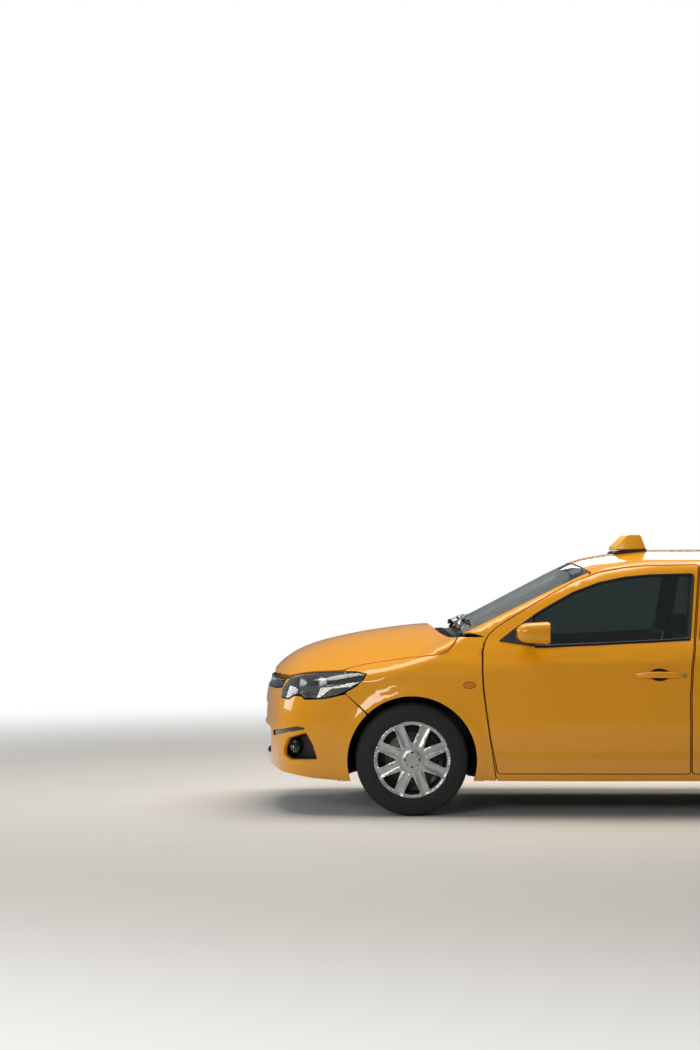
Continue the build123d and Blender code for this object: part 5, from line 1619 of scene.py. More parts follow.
def headlamp(side, word):
    """One headlamp: lens, black surround, chrome bowls and bulbs."""
    loop = rounded(nose_side(LAMP_SIDE), 8 * MM, 0.012)
    loop = loop if side > 0 else loop[::-1] * [-1, 1]
    lens = sheet_mesh(NOSE, moved_in(loop, 1.5 * MM), thick=2.5 * MM, spacing=0.024, sink=0.5 * MM)
    piece_of("headlamp_lens_" + word, "body", LENS, lens, ["headlamp_" + word])
    rim_band = skirt(NOSE, moved_in(loop, -1 * MM), [(0.0, 4 * MM), (0.0, 0.6 * MM), (2.5 * MM, 0.6 * MM),
                                                     (8 * MM, 6 * MM), (14 * MM, 30 * MM),
                                                     (22 * MM, 62 * MM)])
    back = cap(NOSE, moved_in(moved_in(loop, 10 * MM), 11 * MM), 62 * MM, 0.03)
    piece_of("headlamp_bezel_" + word, "body", GLOSS_BLACK, joined(rim_band, back))
    bowls, bulbs = [], []
    for (x, y, z), r in BOWLS:
        profile = [(r + 0.004, 0.0), (r + 0.004, 0.003), (r, 0.003), (r * 0.86, r * 0.32),
                   (r * 0.62, r * 0.58), (r * 0.34, r * 0.76), (0.006, r * 0.84)]
        bowl = spun([(q, a) for q, a in profile], 40)
        bulb = spun([(0.0001, r * 0.28), (r * 0.16, r * 0.34), (r * 0.18, r * 0.84)], 16)
        lean = math.radians(28)
        turn = np.array([[math.cos(lean), -math.sin(lean)], [math.sin(lean), math.cos(lean)]])
        for made, store in ((bowl, bowls), (bulb, bulbs)):
            v = np.array(made[0])
            facing_x = np.column_stack([v[:, 1], v[:, 0], v[:, 2]])
            flat = facing_x[:, :2] @ turn.T
            v = np.column_stack([flat[:, 0] + x, side * (flat[:, 1] + y), facing_x[:, 2] + z])
            store.append((v, made[1]))
    solid_piece("headlamp_bowls_" + word, "body", [CHROME, LENS], [merged(*bowls), merged(*bulbs)])


for side, word in SIDES:
    headlamp(side, word)
print("headlamps built")

# %% [markdown]
# ## Grille, fog lamps and lower mouth
# The upper grille is a black moulding with thin bright bars. The lower mouth has
# horizontal vanes with a fine mesh behind. Each fog lamp is a round glass in a bowl at
# the back of its pocket, and a strip of clear plastic fills the slot above.

# %% Grille and fog lamps


def bars_across(heights, reach, sink, radius, thin=0.5):
    """Bars that follow the nose from side to side at given heights."""
    made = []
    for z in heights:
        half = wrap_of(end_way(NOSE_START, -1)([(reach, z)]), NOSE_AXIS_X, -1)[0][0]
        flat = np.array([(a, z) for a in np.linspace(-half, half, 41)])
        made.append(tube(NOSE(flat, sink), radius, 8, flatten=thin))
    return merged(*made)


grille_half = nose_front([(0.0, 0.746), (0.25, 0.744), (0.50, 0.742), (0.585, 0.741, 0.006),
                          (0.583, 0.700, 0.014), (0.48, 0.690), (0.20, 0.688), (0.0, 0.688)])
grille_loop = rounded(mirrored(grille_half), 2 * MM, 0.016)
grille_frame = skirt(NOSE, grille_loop, [(0.0, 8 * MM), (0.0, 1.0 * MM), (5 * MM, 0.0), (9 * MM, 4 * MM),
                                         (11 * MM, 40 * MM)])
grille_back = cap(NOSE, moved_in(grille_loop, 8 * MM), 38 * MM, 0.05)
piece_of("grille_frame", "body", GLOSS_BLACK, joined(grille_frame, grille_back), ["grille"])
solid_piece("grille_bars", "body", [CHROME], [bars_across((0.706, 0.719, 0.732), 0.566, 10 * MM, 4.5 * MM)])
solid_piece("mouth_vanes", "body", [BLACK_TRIM],
            [bars_across((0.345, 0.375, 0.405, 0.435), 0.425, 34 * MM, 7 * MM, 0.6)])
mouth_reach = wrap_of(end_way(NOSE_START, -1)([(0.415, 0.40)]), NOSE_AXIS_X, -1)[0][0]
mesh_bars = []
for a in np.linspace(-mouth_reach, mouth_reach, 47):
    column = np.array([(a, z) for z in np.linspace(0.318, 0.464, 8)])
    mesh_bars.append(tube(NOSE(column, 62 * MM), 1.6 * MM, 5))
for z in np.arange(0.322, 0.465, 0.012):
    row = np.array([(a, z) for a in np.linspace(-mouth_reach, mouth_reach, 31)])
    mesh_bars.append(tube(NOSE(row, 62 * MM), 1.6 * MM, 5))
solid_piece("mouth_mesh", "body", [BLACK_TRIM], [merged(*mesh_bars)])
# A dark felt sheet deep behind the mouth paints the shade inside it.
mouth_shade_sheet = cap(NOSE, moved_in(mouth_loop, 4 * MM), 92 * MM, 0.06)
piece_of("mouth_shadow", "body", DARK_LINER, mouth_shade_sheet)

FOG_AT = (-2.020, 0.690, 0.372)
for side, word in SIDES:
    lean = math.radians(52)
    c, s = math.cos(lean), math.sin(lean)
    made = []
    for profile in ([(0.044, 0.0), (0.044, 0.016), (0.038, 0.016), (0.036, 0.0)],
                    [(0.0001, -0.004), (0.020, -0.003), (0.036, 0.002)],
                    [(0.036, 0.002), (0.030, 0.018), (0.018, 0.028), (0.0001, 0.032)]):
        v, f = spun(profile, 32)
        turned_v = np.column_stack([v[:, 1] * c + v[:, 0] * s, side * (v[:, 1] * -s + v[:, 0] * c),
                                    v[:, 2]])
        made.append((turned_v + np.array([FOG_AT[0] - 0.020, side * (FOG_AT[1] - 0.010), FOG_AT[2]]), f))
    solid_piece("fog_lamp_" + word, "body", [BLACK_TRIM, LENS, CHROME], made)
    loop = slot_right if side > 0 else slot_left
    strip = sheet_mesh(NOSE, moved_in(loop, 1.5 * MM), thick=4 * MM, spacing=0.02, sink=7 * MM)
    piece_of("running_light_" + word, "body", LENS, strip)
print("grille and fog lamps built")

# %% [markdown]
# ## Rear bumper and tail lamps
# The rear bumper wraps the tail the way the front one wraps the nose. Each tail lamp is
# a red lens round the corner with a clear band for reversing and an amber one for the
# indicator, over a bright chrome housing. The number plates are blank.

# %% Rear end
TAIL = wrap_way(TAIL_AXIS_X, 1)
TAIL_START = 1.2


tail_side, tail_front = readers(TAIL_AXIS_X, TAIL_START, 1)
rear_half = tail_front([(0.0, 0.650), (0.40, 0.652), (0.600, 0.660, 0.01), (0.618, 0.684, 0.01)])
rear_half += tail_side([(1984, 684, 5), (1984, 606, 5), (1800, 597), (1642, 557, 6)])
rear_half += tail_side(arc_points(REAR_AXLE, ARCH, 44, -18.4, 16)[1:])
rear_half += tail_side([(1760, 192), (1950, 206), (2080, 228)])
rear_half += tail_front([(0.55, 0.246), (0.25, 0.250), (0.0, 0.250)])
rear_loop = rounded(mirrored(rear_half), 1 * MM, NOSE_SPACING)
plate_half = tail_front([(0.0, 0.560), (0.262, 0.560, 0.012), (0.262, 0.440, 0.012), (0.0, 0.440)])
plate_loop = rounded(mirrored(plate_half), 5 * MM, NOSE_SPACING)
rear_mesh = sheet_mesh(TAIL, rear_loop, [plate_loop], thick=BUMPER_THICK, spacing=0.034)
plate_well = [skirt(TAIL, plate_loop, [(0.0, 1 * MM), (6 * MM, 12 * MM)]),
              cap(TAIL, moved_in(plate_loop, 6 * MM), 12 * MM, 0.05)]
piece_of("rear_bumper_cover", "body", TAXI_PAINT, joined(rear_mesh, *plate_well), ["rear_bumper"])

AMBER = clear_finish("amber reflector", "#F08A1E", 0.05)
for side, word in SIDES:
    pairs = tail_side([(1988, 693, 6), (1988, 886, 14)]) + tail_front([(0.640, 0.886, 0.012),
                                                                      (0.619, 0.860, 0.01),
                                                                      (0.619, 0.693, 0.008)])
    loop = rounded(pairs, 6 * MM, 0.012)
    loop = loop if side > 0 else loop[::-1] * [-1, 1]
    lens = sheet_mesh(TAIL, moved_in(loop, 1.5 * MM), thick=3 * MM, spacing=0.022)
    piece_of("tail_lens_" + word, "body", RED_LENS, lens, ["tail_lamp_" + word])
    tub = joined(skirt(TAIL, loop, [(0.0, 1 * MM), (4 * MM, 8 * MM), (10 * MM, 44 * MM)]),
                 cap(TAIL, moved_in(loop, 9 * MM), 44 * MM, 0.03))
    piece_of("tail_housing_" + word, "body", CHROME, tub)
    inner = moved_in(loop, 12 * MM)
    low = inner[:, 1].min()
    for kind, z0, z1, stuff in (("reverse", 0.012, 0.048, LENS), ("turn", 0.118, 0.160, AMBER)):
        a0, a1 = inner[:, 0].min() + 8 * MM, inner[:, 0].max() - 8 * MM
        band = rounded(rectangle(a0, a1, low + z0, low + z1), 8 * MM, 0.014)
        piece_of("tail_" + kind + "_" + word, "body", stuff,
                 sheet_mesh(TAIL, band, thick=3 * MM, spacing=0.03, sink=14 * MM))
print("rear end built")


def plate(name, place, loop, sink):
    """A blank number plate: a white reflective sheet in a thin black holder."""
    material, tree, shader = start_material(name + " sheeting", Roughness=0.35, Coat_Weight=0.3)
    spot = add_node(tree, "ShaderNodeTexCoord")
    cells = add_node(tree, "ShaderNodeTexVoronoi", {"Vector": spot.outputs["Object"]}, Scale=1.0 / 0.003)
    two_tones(tree, shader, cells.outputs["Distance"], srgb("#DADCDC"), srgb("#F2F3F2"))
    piece_of(name, "body", material,
             sheet_mesh(place, moved_in(loop, 5 * MM), thick=1.5 * MM, spacing=0.06, sink=sink - 2 * MM))
    holder = joined(skirt(place, loop, [(0.0, sink + 6 * MM), (0.0, sink), (1 * MM, sink - 4 * MM),
                                        (5 * MM, sink - 4 * MM), (6 * MM, sink)]),
                    cap(place, loop, sink, 0.05))
    piece_of(name + "_holder", "body", BLACK_TRIM, holder)


rear_plate = rounded(mirrored(tail_front([(0.0, 0.553), (0.254, 0.553, 0.006), (0.254, 0.447, 0.006),
                                          (0.0, 0.447)])), 4 * MM, 0.018)
front_plate = rounded(mirrored(nose_front([(0.0, 0.596), (0.254, 0.596, 0.006), (0.254, 0.490, 0.006),
                                           (0.0, 0.490)])), 4 * MM, 0.018)
plate("rear_plate", TAIL, rear_plate, 8 * MM)
plate("front_plate", NOSE, front_plate, 8 * MM)
print("plates laid")

# %% [markdown]
# ## Mirrors, handles and side lamps
# Each door mirror is a soft-edged shell in the body colour on a black foot in the window
# corner, with the glass at the back. The handles are body-coloured bars over a black sheet
# in each cup that paints the shade of the recess, with a key cylinder at the rear end of
# the front ones. A small amber lamp sits on each front wing.

# %% Door mirrors
MIRROR_GLASS = plain_finish("silvered mirror glass", "#DDE3E4", 0.03, metallic=1.0, grain=20 * MM,
                            bump=0.002 * MM)


def rounded_box(low, high, corner, count=7, taper=(1.0, 1.0)):
    """A box with large round edges, drawn as rings from front to back."""
    low, high = np.array(low), np.array(high)
    middle, half = 0.5 * (low + high), 0.5 * (high - low)
    rings = []
    steps = np.linspace(0.0, math.pi / 2, count)
    levels = [(-half[0] + corner * (1 - math.sin(t)), corner * (1 - math.cos(t))) for t in steps[::-1]]
    levels += [(half[0] - 0.25 * corner, 0.0), (half[0], 0.12 * corner)]
    verts = []
    around = 40
    for x, inset in levels:
        share = (x + half[0]) / (2 * half[0])
        grow = taper[0] + (taper[1] - taper[0]) * share
        hy, hz = half[1] - inset, half[2] - inset
        r = max(corner - inset, 0.35 * corner)
        ring = []
        for k in range(around):
            a = 2 * math.pi * (k + 0.5) / around
            cy = math.copysign(hy - r, math.cos(a))
            cz = math.copysign(hz - r, math.sin(a))
            ring.append((x, (cy + r * math.cos(a)) * grow, (cz + r * math.sin(a)) * grow))
        verts += ring
        rings.append(ring)
    faces = bands(len(rings), around)
    faces.append(tuple(range(around))[::-1])
    return np.array(verts) + middle, faces, [np.array(r) + middle for r in rings]


for side, word in SIDES:
    body = "door_front_" + word
    shell_v, shell_f, rings = rounded_box((-0.824, 0.846, 0.946), (-0.642, 0.972, 1.070), 0.055,
                                          taper=(0.80, 1.0))
    rim_in = rings[-1]
    centre = rim_in.mean(axis=0)
    lip = [centre + (rim_in - centre) * [1, f, f] + [dx, 0, 0]
           for f, dx in ((1.0, 0.0), (0.95, 0.004), (0.93, -0.004), (0.90, -0.020))]
    lip_v, lip_f = np.vstack(lip), bands(len(lip), len(rim_in))
    glass_v = centre + (rim_in - centre) * [1, 0.90, 0.90] + [-0.010, 0, 0]
    glass_f = [tuple(range(len(rim_in)))]
    flip = side > 0
    turn = [moved((v * [1, -1, 1], [g[::-1] for g in f]), flip_y=flip)
            for v, f in ((shell_v, shell_f), (lip_v, lip_f), (glass_v, glass_f))]
    solid_piece("mirror_shell_" + word, body, [TAXI_PAINT, BLACK_TRIM, MIRROR_GLASS], turn,
                ["mirror_" + word], sharp=50)
    place = side_way(side)
    foot = side_loop([(-916, 958, 6), (-820, 944), (-724, 930, 4), (-724, 1096, 4), (-820, 1030)])
    sail = sheet_mesh(place, foot, thick=5 * MM, spacing=0.03, sink=-3.0 * MM)
    piece_of("mirror_sail_" + word, body, BLACK_TRIM, sail)
    stalk_path = [(-0.765, side * 0.800, 0.985), (-0.760, side * 0.835, 0.982),
                  (-0.750, side * 0.865, 0.985), (-0.745, side * 0.890, 0.992)]
    solid_piece("mirror_stalk_" + word, body, [BLACK_TRIM],
                [tube(stalk_path, [0.040, 0.032, 0.028, 0.030], 16, flatten=0.62)])

# %% Door handles
HANDLES = {"front": (-163, 82, 774), "rear": (762, 1002, 820)}
for side, word in SIDES:
    place = side_way(side)
    for key, (x0, x1, z) in HANDLES.items():
        body = "door_" + key + "_" + word
        cup = (HANDLE_CUP if key == "front" else REAR_HANDLE_CUP)
        run = np.linspace(x0, x1, 15)
        lift = 0.020 * np.sin(np.pi * np.clip((run - x0) / (x1 - x0), 0.0, 1.0)) ** 0.55
        feet = np.column_stack([run, np.full(15, z) + 4 * np.sin(np.pi * (run - x0) / (x1 - x0))]) * MM
        flat = place(feet, 0.0)
        edge_y = min(abs(flat[0, 1]), abs(flat[-1, 1]))
        path = np.column_stack([flat[:, 0], side * (edge_y + 0.003 + lift), flat[:, 2]])
        girth = 0.0075 * (0.60 + 0.40 * np.sin(np.pi * np.linspace(0.04, 0.96, 15)) ** 0.5)
        bar = tube(path, girth, 18, flatten=2.3)
        pad = [tube([(x * MM, side * (edge_y - 0.010), z * MM), (x * MM, side * (edge_y + 0.004), z * MM)],
                    [0.0175, 0.0165], 20) for x in (x0 + 6, x1 - 4)]
        meshes, stuff = [bar, merged(*pad)], [TAXI_PAINT, TAXI_PAINT]
        if key == "front" and side < 0:
            lock = spun([(0.0001, 0.0), (0.0095, 0.0), (0.0105, -0.002), (0.0105, -0.010)], 24)
            slot_cut = slab(rectangle(-0.001, 0.001, -0.005, 0.005), -0.0012, 0.002)
            at = ((x1 + 20) * MM, -(edge_y + 0.0005), z * MM)
            meshes += [moved(lock, at, False), moved(slot_cut, at, False)]
            stuff += [CHROME, GLOSS_BLACK]
        solid_piece("handle_" + key + "_" + word, body, stuff, meshes, sharp=40)
        cx, cz, rx, rz, deep = cup
        ring = np.array([(cx + 0.86 * rx * math.cos(t), cz + 0.80 * rz * math.sin(t)) for t in circle(40)])
        # A black sheet just proud of the cup paints the shade of the recess; the pressed cup itself is body
        # colour.
        bowl = sheet_mesh(place, ring, thick=1.0 * MM, spacing=0.014, sink=-0.9 * MM)
        piece_of("handle_cup_" + key + "_" + word, body, BLACK_TRIM, bowl)

# %% Side lamps and fuel flap
for side, word in SIDES:
    place = side_way(side)
    ring = np.array([(-1.077 + 0.031 * math.cos(t), 0.720 + 0.0165 * math.sin(t)) for t in circle(36)])
    lens = sheet_mesh(place, ring, thick=3 * MM, spacing=0.014, sink=-3.2 * MM)
    piece_of("side_lamp_" + word, "body", AMBER_LENS, lens)
    bezel = skirt(place, moved_in(ring, -3 * MM), [(0.0, 1 * MM), (0.5 * MM, -2.2 * MM),
                                                   (2.5 * MM, -2.4 * MM), (3.5 * MM, -1 * MM)])
    piece_of("side_lamp_bezel_" + word, "body", BLACK_TRIM, bezel)
flap = rounded(rectangle(1.555, 1.715, 0.735, 0.880), 26 * MM, 0.012)
# A thin black band round the fuel flap paints the shade in its shut gap.
groove = skirt(side_way(1), flap, [(-1.5 * MM, -0.25 * MM), (0.0, -0.4 * MM), (1.5 * MM, -0.25 * MM)])
piece_of("fuel_flap_seam", "body", RUBBER, groove)
flap_skin = sheet_mesh(side_way(1), moved_in(flap, 1.5 * MM), thick=1.5 * MM, spacing=0.03, sink=-0.9 * MM)
piece_of("fuel_flap", "body", TAXI_PAINT, flap_skin)
print("mirrors, handles and side lamps built")

# %% [markdown]
# ## Taxi sign
# The roof sign is a moulded yellow box with sloping ends on a thin black base, with a
# rubber gasket round its foot. Its faces are blank.

# %% Taxi sign
SIGN_YELLOW = plain_finish("yellow acrylic sign moulding", "#EDB722", 0.28, grain=30 * MM,
                           bump=0.004 * MM, drift=0.03, Subsurface_Weight=0.25, Subsurface_Scale=0.01)
SIGN_SIDE = [(-0.205, 1.462), (-0.203, 1.482, 0.008), (-0.132, 1.5508, 0.016), (-0.060, 1.5508, 0.012),
             (-0.034, 1.482, 0.006), (-0.032, 1.462)]
sign_loop = rounded(SIGN_SIDE, 3 * MM, 0.010)
sign_box = slab(sign_loop, -0.186, 0.186, 0.006, "xz")
ridge = raised(rectangle(-0.118, -0.078, 1.5400, 1.5509), 3 * MM, 0.01, -0.150, 0.150, 0.002, "xz")
base_loop = rounded(rectangle(-0.214, -0.024, -0.194, 0.194), 14 * MM, 0.02)
solid_piece("taxi_sign_box", "body", [SIGN_YELLOW], [merged(sign_box, ridge)], ["taxi_sign"], sharp=38,
            bevel=2 * MM)
base = sheet_mesh(ROOF_PLACE, base_loop, thick=11 * MM, spacing=0.03, sink=-12 * MM)
piece_of("taxi_sign_base", "body", BLACK_TRIM, base)
seam_loop = rounded(rectangle(-0.209, -0.029, -0.1895, 0.1895), 8 * MM, 0.02)
gasket = skirt(ROOF_PLACE, seam_loop, [(0.0, -11 * MM), (-1 * MM, -15 * MM), (3 * MM, -16 * MM),
                                       (6 * MM, -13 * MM)])
piece_of("taxi_sign_gasket", "body", RUBBER, gasket)
print("taxi sign built")

# %% [markdown]
# ## Scuttle, wipers and wheel arches
# A black scuttle fills the gap between bonnet and windscreen, with a slatted air intake.
# Two wipers rest on the glass: a pressed arm, a bright spring end and a rubber blade.
# Felted liners close the wheel arches, and rubber mud flaps hang behind the wheels.

# %% Scuttle and wipers
COWL_HALF = [(-1270, 0), (-1256, 220), (-1218, 440), (-1170, 630), (-1118, 700, 6), (-1100, 724, 6),
             (-1010, 724, 6), (-1040, 648), (-1056, 590), (-1086, 440), (-1118, 220), (-1128, 0)]
cowl_edge = rounded(both_halves(COWL_HALF), 10 * MM, 0.022)
cowl_mesh = sheet_mesh(TOP_PLACE, cowl_edge, thick=4 * MM, spacing=0.04, sink=32 * MM)
piece_of("scuttle_panel", "body", BLACK_TRIM, cowl_mesh, ["cowl"])
slats = []
for k in range(-22, 23):
    y = 0.024 * k
    bow = 0.030 * (y / 0.53) ** 2
    line = np.array([(x, y) for x in np.linspace(-1.236 + 1.6 * bow, -1.190 + 1.6 * bow, 4)])
    slats.append(tube(TOP_PLACE(line, 30 * MM), 2.6 * MM, 6))
solid_piece("scuttle_slats", "body", [BLACK_TRIM], [merged(*slats)])
seal_line = TOP_PLACE([(-1.262 + 0.095 * (y / 0.62) ** 2, y)
                                for y in np.linspace(-0.62, 0.62, 41)], 28 * MM)
solid_piece("bonnet_rear_seal", "body", [RUBBER], [tube(seal_line, 6 * MM, 8)])


def on_glass(points, rise):
    """Front-view points on the windscreen, raised off the glass."""
    skin = FRONT_GLASS(points, 0.0)
    return skin + skin_normal(skin) * rise


WIPERS = {"left": ((-0.520, 1.015), (-0.090, 1.082), (-0.470, 1.052), (0.115, 1.075)),
          "right": ((0.060, 1.045), (0.440, 1.070), (0.120, 1.058), (0.615, 1.040))}
for word, (foot, tip, blade_a, blade_b) in WIPERS.items():
    spindle_at = on_glass([foot], 0.010)[0]
    arm_run = on_glass([(foot[0] + (tip[0] - foot[0]) * t, foot[1] + (tip[1] - foot[1]) * t)
                        for t in np.linspace(0.0, 1.0, 12)], 0.0)
    rise = 0.010 + 0.008 * np.sin(np.pi * np.linspace(0.0, 1.0, 12))
    arm_run = arm_run + skin_normal(arm_run) * rise[:, None]
    arm = tube(arm_run, np.linspace(0.0075, 0.0040, 12), 8, flatten=0.6)
    cap_round = tube([spindle_at - [0, 0, 0.022], spindle_at + [0, 0, 0.002], spindle_at + [0, 0, 0.006]],
                     [0.014, 0.013, 0.008], 20)
    blade_run = [(blade_a[0] + (blade_b[0] - blade_a[0]) * t,
                  blade_a[1] + (blade_b[1] - blade_a[1]) * t) for t in np.linspace(0, 1, 18)]
    spine = tube(on_glass(blade_run, 0.0125), 0.0048, 8, flatten=0.8)
    rubber_strip = tube(on_glass(blade_run, 0.0050), 0.0032, 6)
    clip_at = 0.5 * (np.array(blade_a) + np.array(blade_b))
    clip = tube(on_glass([clip_at - [0.022, 0.0], clip_at + [0.022, 0.0]], 0.014), 0.0060, 10)
    solid_piece("wiper_" + word, "body", [BLACK_STEEL, BLACK_TRIM, CHROME, RUBBER],
                [merged(arm, spine), merged(clip, cap_round),
                 tube(arm_run[2:5] + [0, 0, 0.002], 0.0050, 8, flatten=0.6), rubber_strip])

# %% Wheel arch liners and mud flaps
LINER_R = 0.366
LIP = 0.004
LIP_GROWTH = 0.051
LINERS = [(FRONT_AXLE_X, 0.470, 0.790, -14.0, 196.0), (REAR_AXLE_X, 0.520, 0.785, -18.0, 196.0)]
for axle_x, near, far, a0, a1 in LINERS:
    for side in (-1, 1):
        word = ("front" if axle_x < 0 else "rear") + ("_left" if side < 0 else "_right")
        angles = np.radians(np.linspace(a0, a1, 46))
        lip = [LIP + (LIP_GROWTH * float(soft_step(88.0, 108.0, math.degrees(t))) if axle_x < 0 else 0.0)
               for t in angles]
        cross = [(far - LIP, None), (far, 0.0), (far - 0.05, 0.006), (0.5 * (near + far), 0.008),
                 (near + 0.05, 0.0), (near, -0.020), (near - 0.001, -0.110)]
        rings = [[(side * (y if d is not None else y - 0.3 * up), LINER_R + (up if d is None else d))
                  for y, d in cross] for up in lip]
        verts = [(axle_x + r * math.cos(t), y, ARCH_Z + r * math.sin(t))
                 for t, ring in zip(angles, rings) for y, r in ring]
        m = len(cross)
        faces = [(k * m + i, (k + 1) * m + i, (k + 1) * m + i + 1, k * m + i + 1)
                 for k in range(len(angles) - 1) for i in range(m - 1)]
        solid_piece("arch_liner_" + word, "body", [DARK_LINER], [(np.array(verts), faces)], sharp=50)
for side, word in SIDES:
    for axle, x, z_top, z_low, far in (("front", -1.006, 0.330, 0.188, 0.815),
                                       ("rear", 1.640, 0.330, 0.195, 0.800)):
        outline = rounded(rectangle(0.640, far, z_low, z_top), 16 * MM, 0.03)
        flap_mesh = slab(outline * [side, 1], x - 0.004, x + 0.004, 0.0015, "yz")
        solid_piece("mud_flap_" + axle + "_" + word, "body", [RUBBER], [flap_mesh])

# %% Splash shields under the bumpers
nose_low = nose_side([(-1760, 189), (-1945, 205), (-2056, 224), (-2140, 240)])
nose_low += nose_front([(0.45, 0.250), (0.20, 0.255), (0.0, 0.256)])
tail_low = tail_side([(1612, 190), (1760, 192), (1950, 206), (2080, 228)])
tail_low += tail_front([(0.55, 0.246), (0.25, 0.250), (0.0, 0.250)])
for name, place, low_edge in (("front", NOSE, nose_low), ("rear", TAIL, tail_low)):
    right = place(np.array([(a, z) for a, z, *rest in low_edge]), 14 * MM) + [0, 0, 0.008]
    ring = np.vstack([right, right[-2::-1] * [1, -1, 1]])
    count = len(ring)
    middle = ring.mean(axis=0) * [1, 0, 1]
    inner = middle + (ring - middle) * [0.55, 0.55, 1.0]
    verts = np.vstack([ring, inner, ring + [0, 0, 0.004], inner + [0, 0, 0.004]])
    faces = []
    for k in range(count):
        j = (k + 1) % count
        faces += [(k, j, count + j, count + k), (2 * count + k, 3 * count + k, 3 * count + j, 2 * count + j),
                  (k, 2 * count + k, 2 * count + j, j)]
    faces += [tuple(range(count, 2 * count)), tuple(range(3 * count, 4 * count))[::-1]]
    solid_piece("splash_shield_" + name, "body", [BLACK_TRIM], [(verts, faces)], sharp=60)
print("scuttle, wipers, arches and shields built")

# %% [markdown]
# ## Doors, roof and floor inside
# The cabin is trimmed in grey cloth and plastic. Each door has a moulded card with an
# armrest, a pull and a cloth panel. A pale headliner closes the roof, and a carpet with
# a raised tunnel covers the floor.

# %% Cabin materials


def weave(name, code, second, pitch):
    """Woven cloth: threads one over the other at a real pitch, slightly fuzzy."""
    material, tree, shader = start_material(name, Roughness=0.9, Sheen_Weight=0.35, Sheen_Roughness=0.4)
    spot = add_node(tree, "ShaderNodeTexCoord")
    bands = []
    for axis in ("X", "Z"):
        wave = add_node(tree, "ShaderNodeTexWave", {"Vector": spot.outputs["Object"]},
                        bands_direction=axis, Scale=1.0 / pitch / 6.28, Distortion=0.4)
        bands.append(wave)
    both = add_node(tree, "ShaderNodeMath", {0: bands[0].outputs["Fac"], 1: bands[1].outputs["Fac"]},
                    operation="MULTIPLY")
    two_tones(tree, shader, both.outputs["Value"], srgb(second), srgb(code))
    add_bump(tree, shader, both.outputs["Value"], 0.5, 0.25 * MM)
    return material


CLOTH_DARK = weave("charcoal seat cloth", "#3A3D42", "#1E2023", 1.6 * MM)
CLOTH_MID = weave("grey patterned seat cloth", "#6A6E73", "#34373B", 2.4 * MM)
CARPET = plain_finish("needle felt carpet", "#26272A", 0.96, grain=1.4 * MM, bump=0.6 * MM)
HEADLINER = plain_finish("knitted headliner", "#C9C5BB", 0.93, grain=1.2 * MM, bump=0.15 * MM)
TRIM_GREY = plain_finish("grey grained plastic", "#4A4C4F", 0.58, grain=1.1 * MM, bump=0.16 * MM)
DASH_SOFT = plain_finish("dark soft-touch plastic", "#222427", 0.62, grain=1.3 * MM, bump=0.20 * MM)
ALLOY = plain_finish("cast aluminium", "#A4A6A5", 0.42, metallic=0.9, grain=0.8 * MM, bump=0.06 * MM)
GALVANISED = plain_finish("galvanised pipe steel", "#8C8A84", 0.38, metallic=0.9, grain=5 * MM,
                          bump=0.05 * MM)
DARK_IRON = plain_finish("black waxed chassis iron", "#2A2927", 0.50, metallic=0.4, grain=1.2 * MM,
                         bump=0.15 * MM)
PRIMER = plain_finish("underbody sealant", "#303133", 0.80, grain=2.2 * MM, bump=0.35 * MM)
LIGHT_TRIM = plain_finish("satin silver trim", "#9A9C9E", 0.35, metallic=0.6, grain=0.9 * MM,
                          bump=0.01 * MM)

# %% Door cards and headliner
CARD_DEPTH = 96 * MM
CLOTH_DEPTH = 103 * MM
ROLL_DEPTH = 70 * MM
CARD_FRONT = [(-880, 300, 40), (-930, 520), (-940, 780, 30), (-900, 845, 20), (70, 845, 20),
              (76, 640), (80, 300, 30)]
CARD_REAR = [(206, 300, 30), (206, 640), (214, 855, 20), (980, 855, 30), (950, 740), (880, 650),
             (820, 520), (800, 300, 30)]
ROLLS = {"front": (-900, 80, 868), "rear": (220, 1000, 878)}
for side, word in SIDES:
    place = side_way(side)
    for key, pairs, arm in (("front", CARD_FRONT, (-640, -60, 690)), ("rear", CARD_REAR, (330, 800, 716))):
        loop = side_loop(pairs)
        card = sheet_mesh(place, loop, thick=6 * MM, spacing=0.07, sink=CARD_DEPTH)
        inner_panel = sheet_mesh(place, moved_in(loop, 85 * MM), thick=8 * MM, spacing=0.07,
                                 sink=CLOTH_DEPTH)
        body = "door_" + key + "_" + word
        piece_of("door_card_" + key + "_" + word, body, TRIM_GREY, card)
        piece_of("door_cloth_" + key + "_" + word, body, CLOTH_MID, inner_panel)
        x0, x1, z = arm
        run = [(x * MM, z * MM) for x in np.linspace(x0, x1, 12)]
        line = place(run, CARD_DEPTH)
        line = line + np.array([0.0, -side * 0.026, 0.0])
        thick = [0.022] + [0.036] * 10 + [0.024]
        solid_piece("armrest_" + key + "_" + word, body, [DASH_SOFT], [tube(line, thick, 14, flatten=0.8)])
        r0, r1, rz = ROLLS[key]
        roll = place(np.array([(x * MM, rz * MM) for x in np.linspace(r0, r1, 12)]), ROLL_DEPTH)
        solid_piece("door_roll_" + key + "_" + word, body, [DASH_SOFT],
                    [tube(roll, [0.012] + [0.034] * 10 + [0.012], 14)])
        hx = (x0 + 40) * MM
        pull = place(np.array([(hx + d * MM, (z + 120) * MM) for d in (0, 35, 75, 110)]), CARD_DEPTH)
        pull = pull + np.array([[0, -side * k, 0] for k in (0.004, 0.016, 0.018, 0.006)])
        solid_piece("door_pull_" + key + "_" + word, body, [LIGHT_TRIM], [tube(pull, 0.007, 10)])
roof_loop = rounded(rectangle(-0.36, 0.84, -0.50, 0.50), 60 * MM, 0.05)
liner_mesh = sheet_mesh(ROOF_PLACE, roof_loop, thick=4 * MM, spacing=0.08, sink=38 * MM)
piece_of("headliner", "body", HEADLINER, liner_mesh)
print("door cards and headliner built")
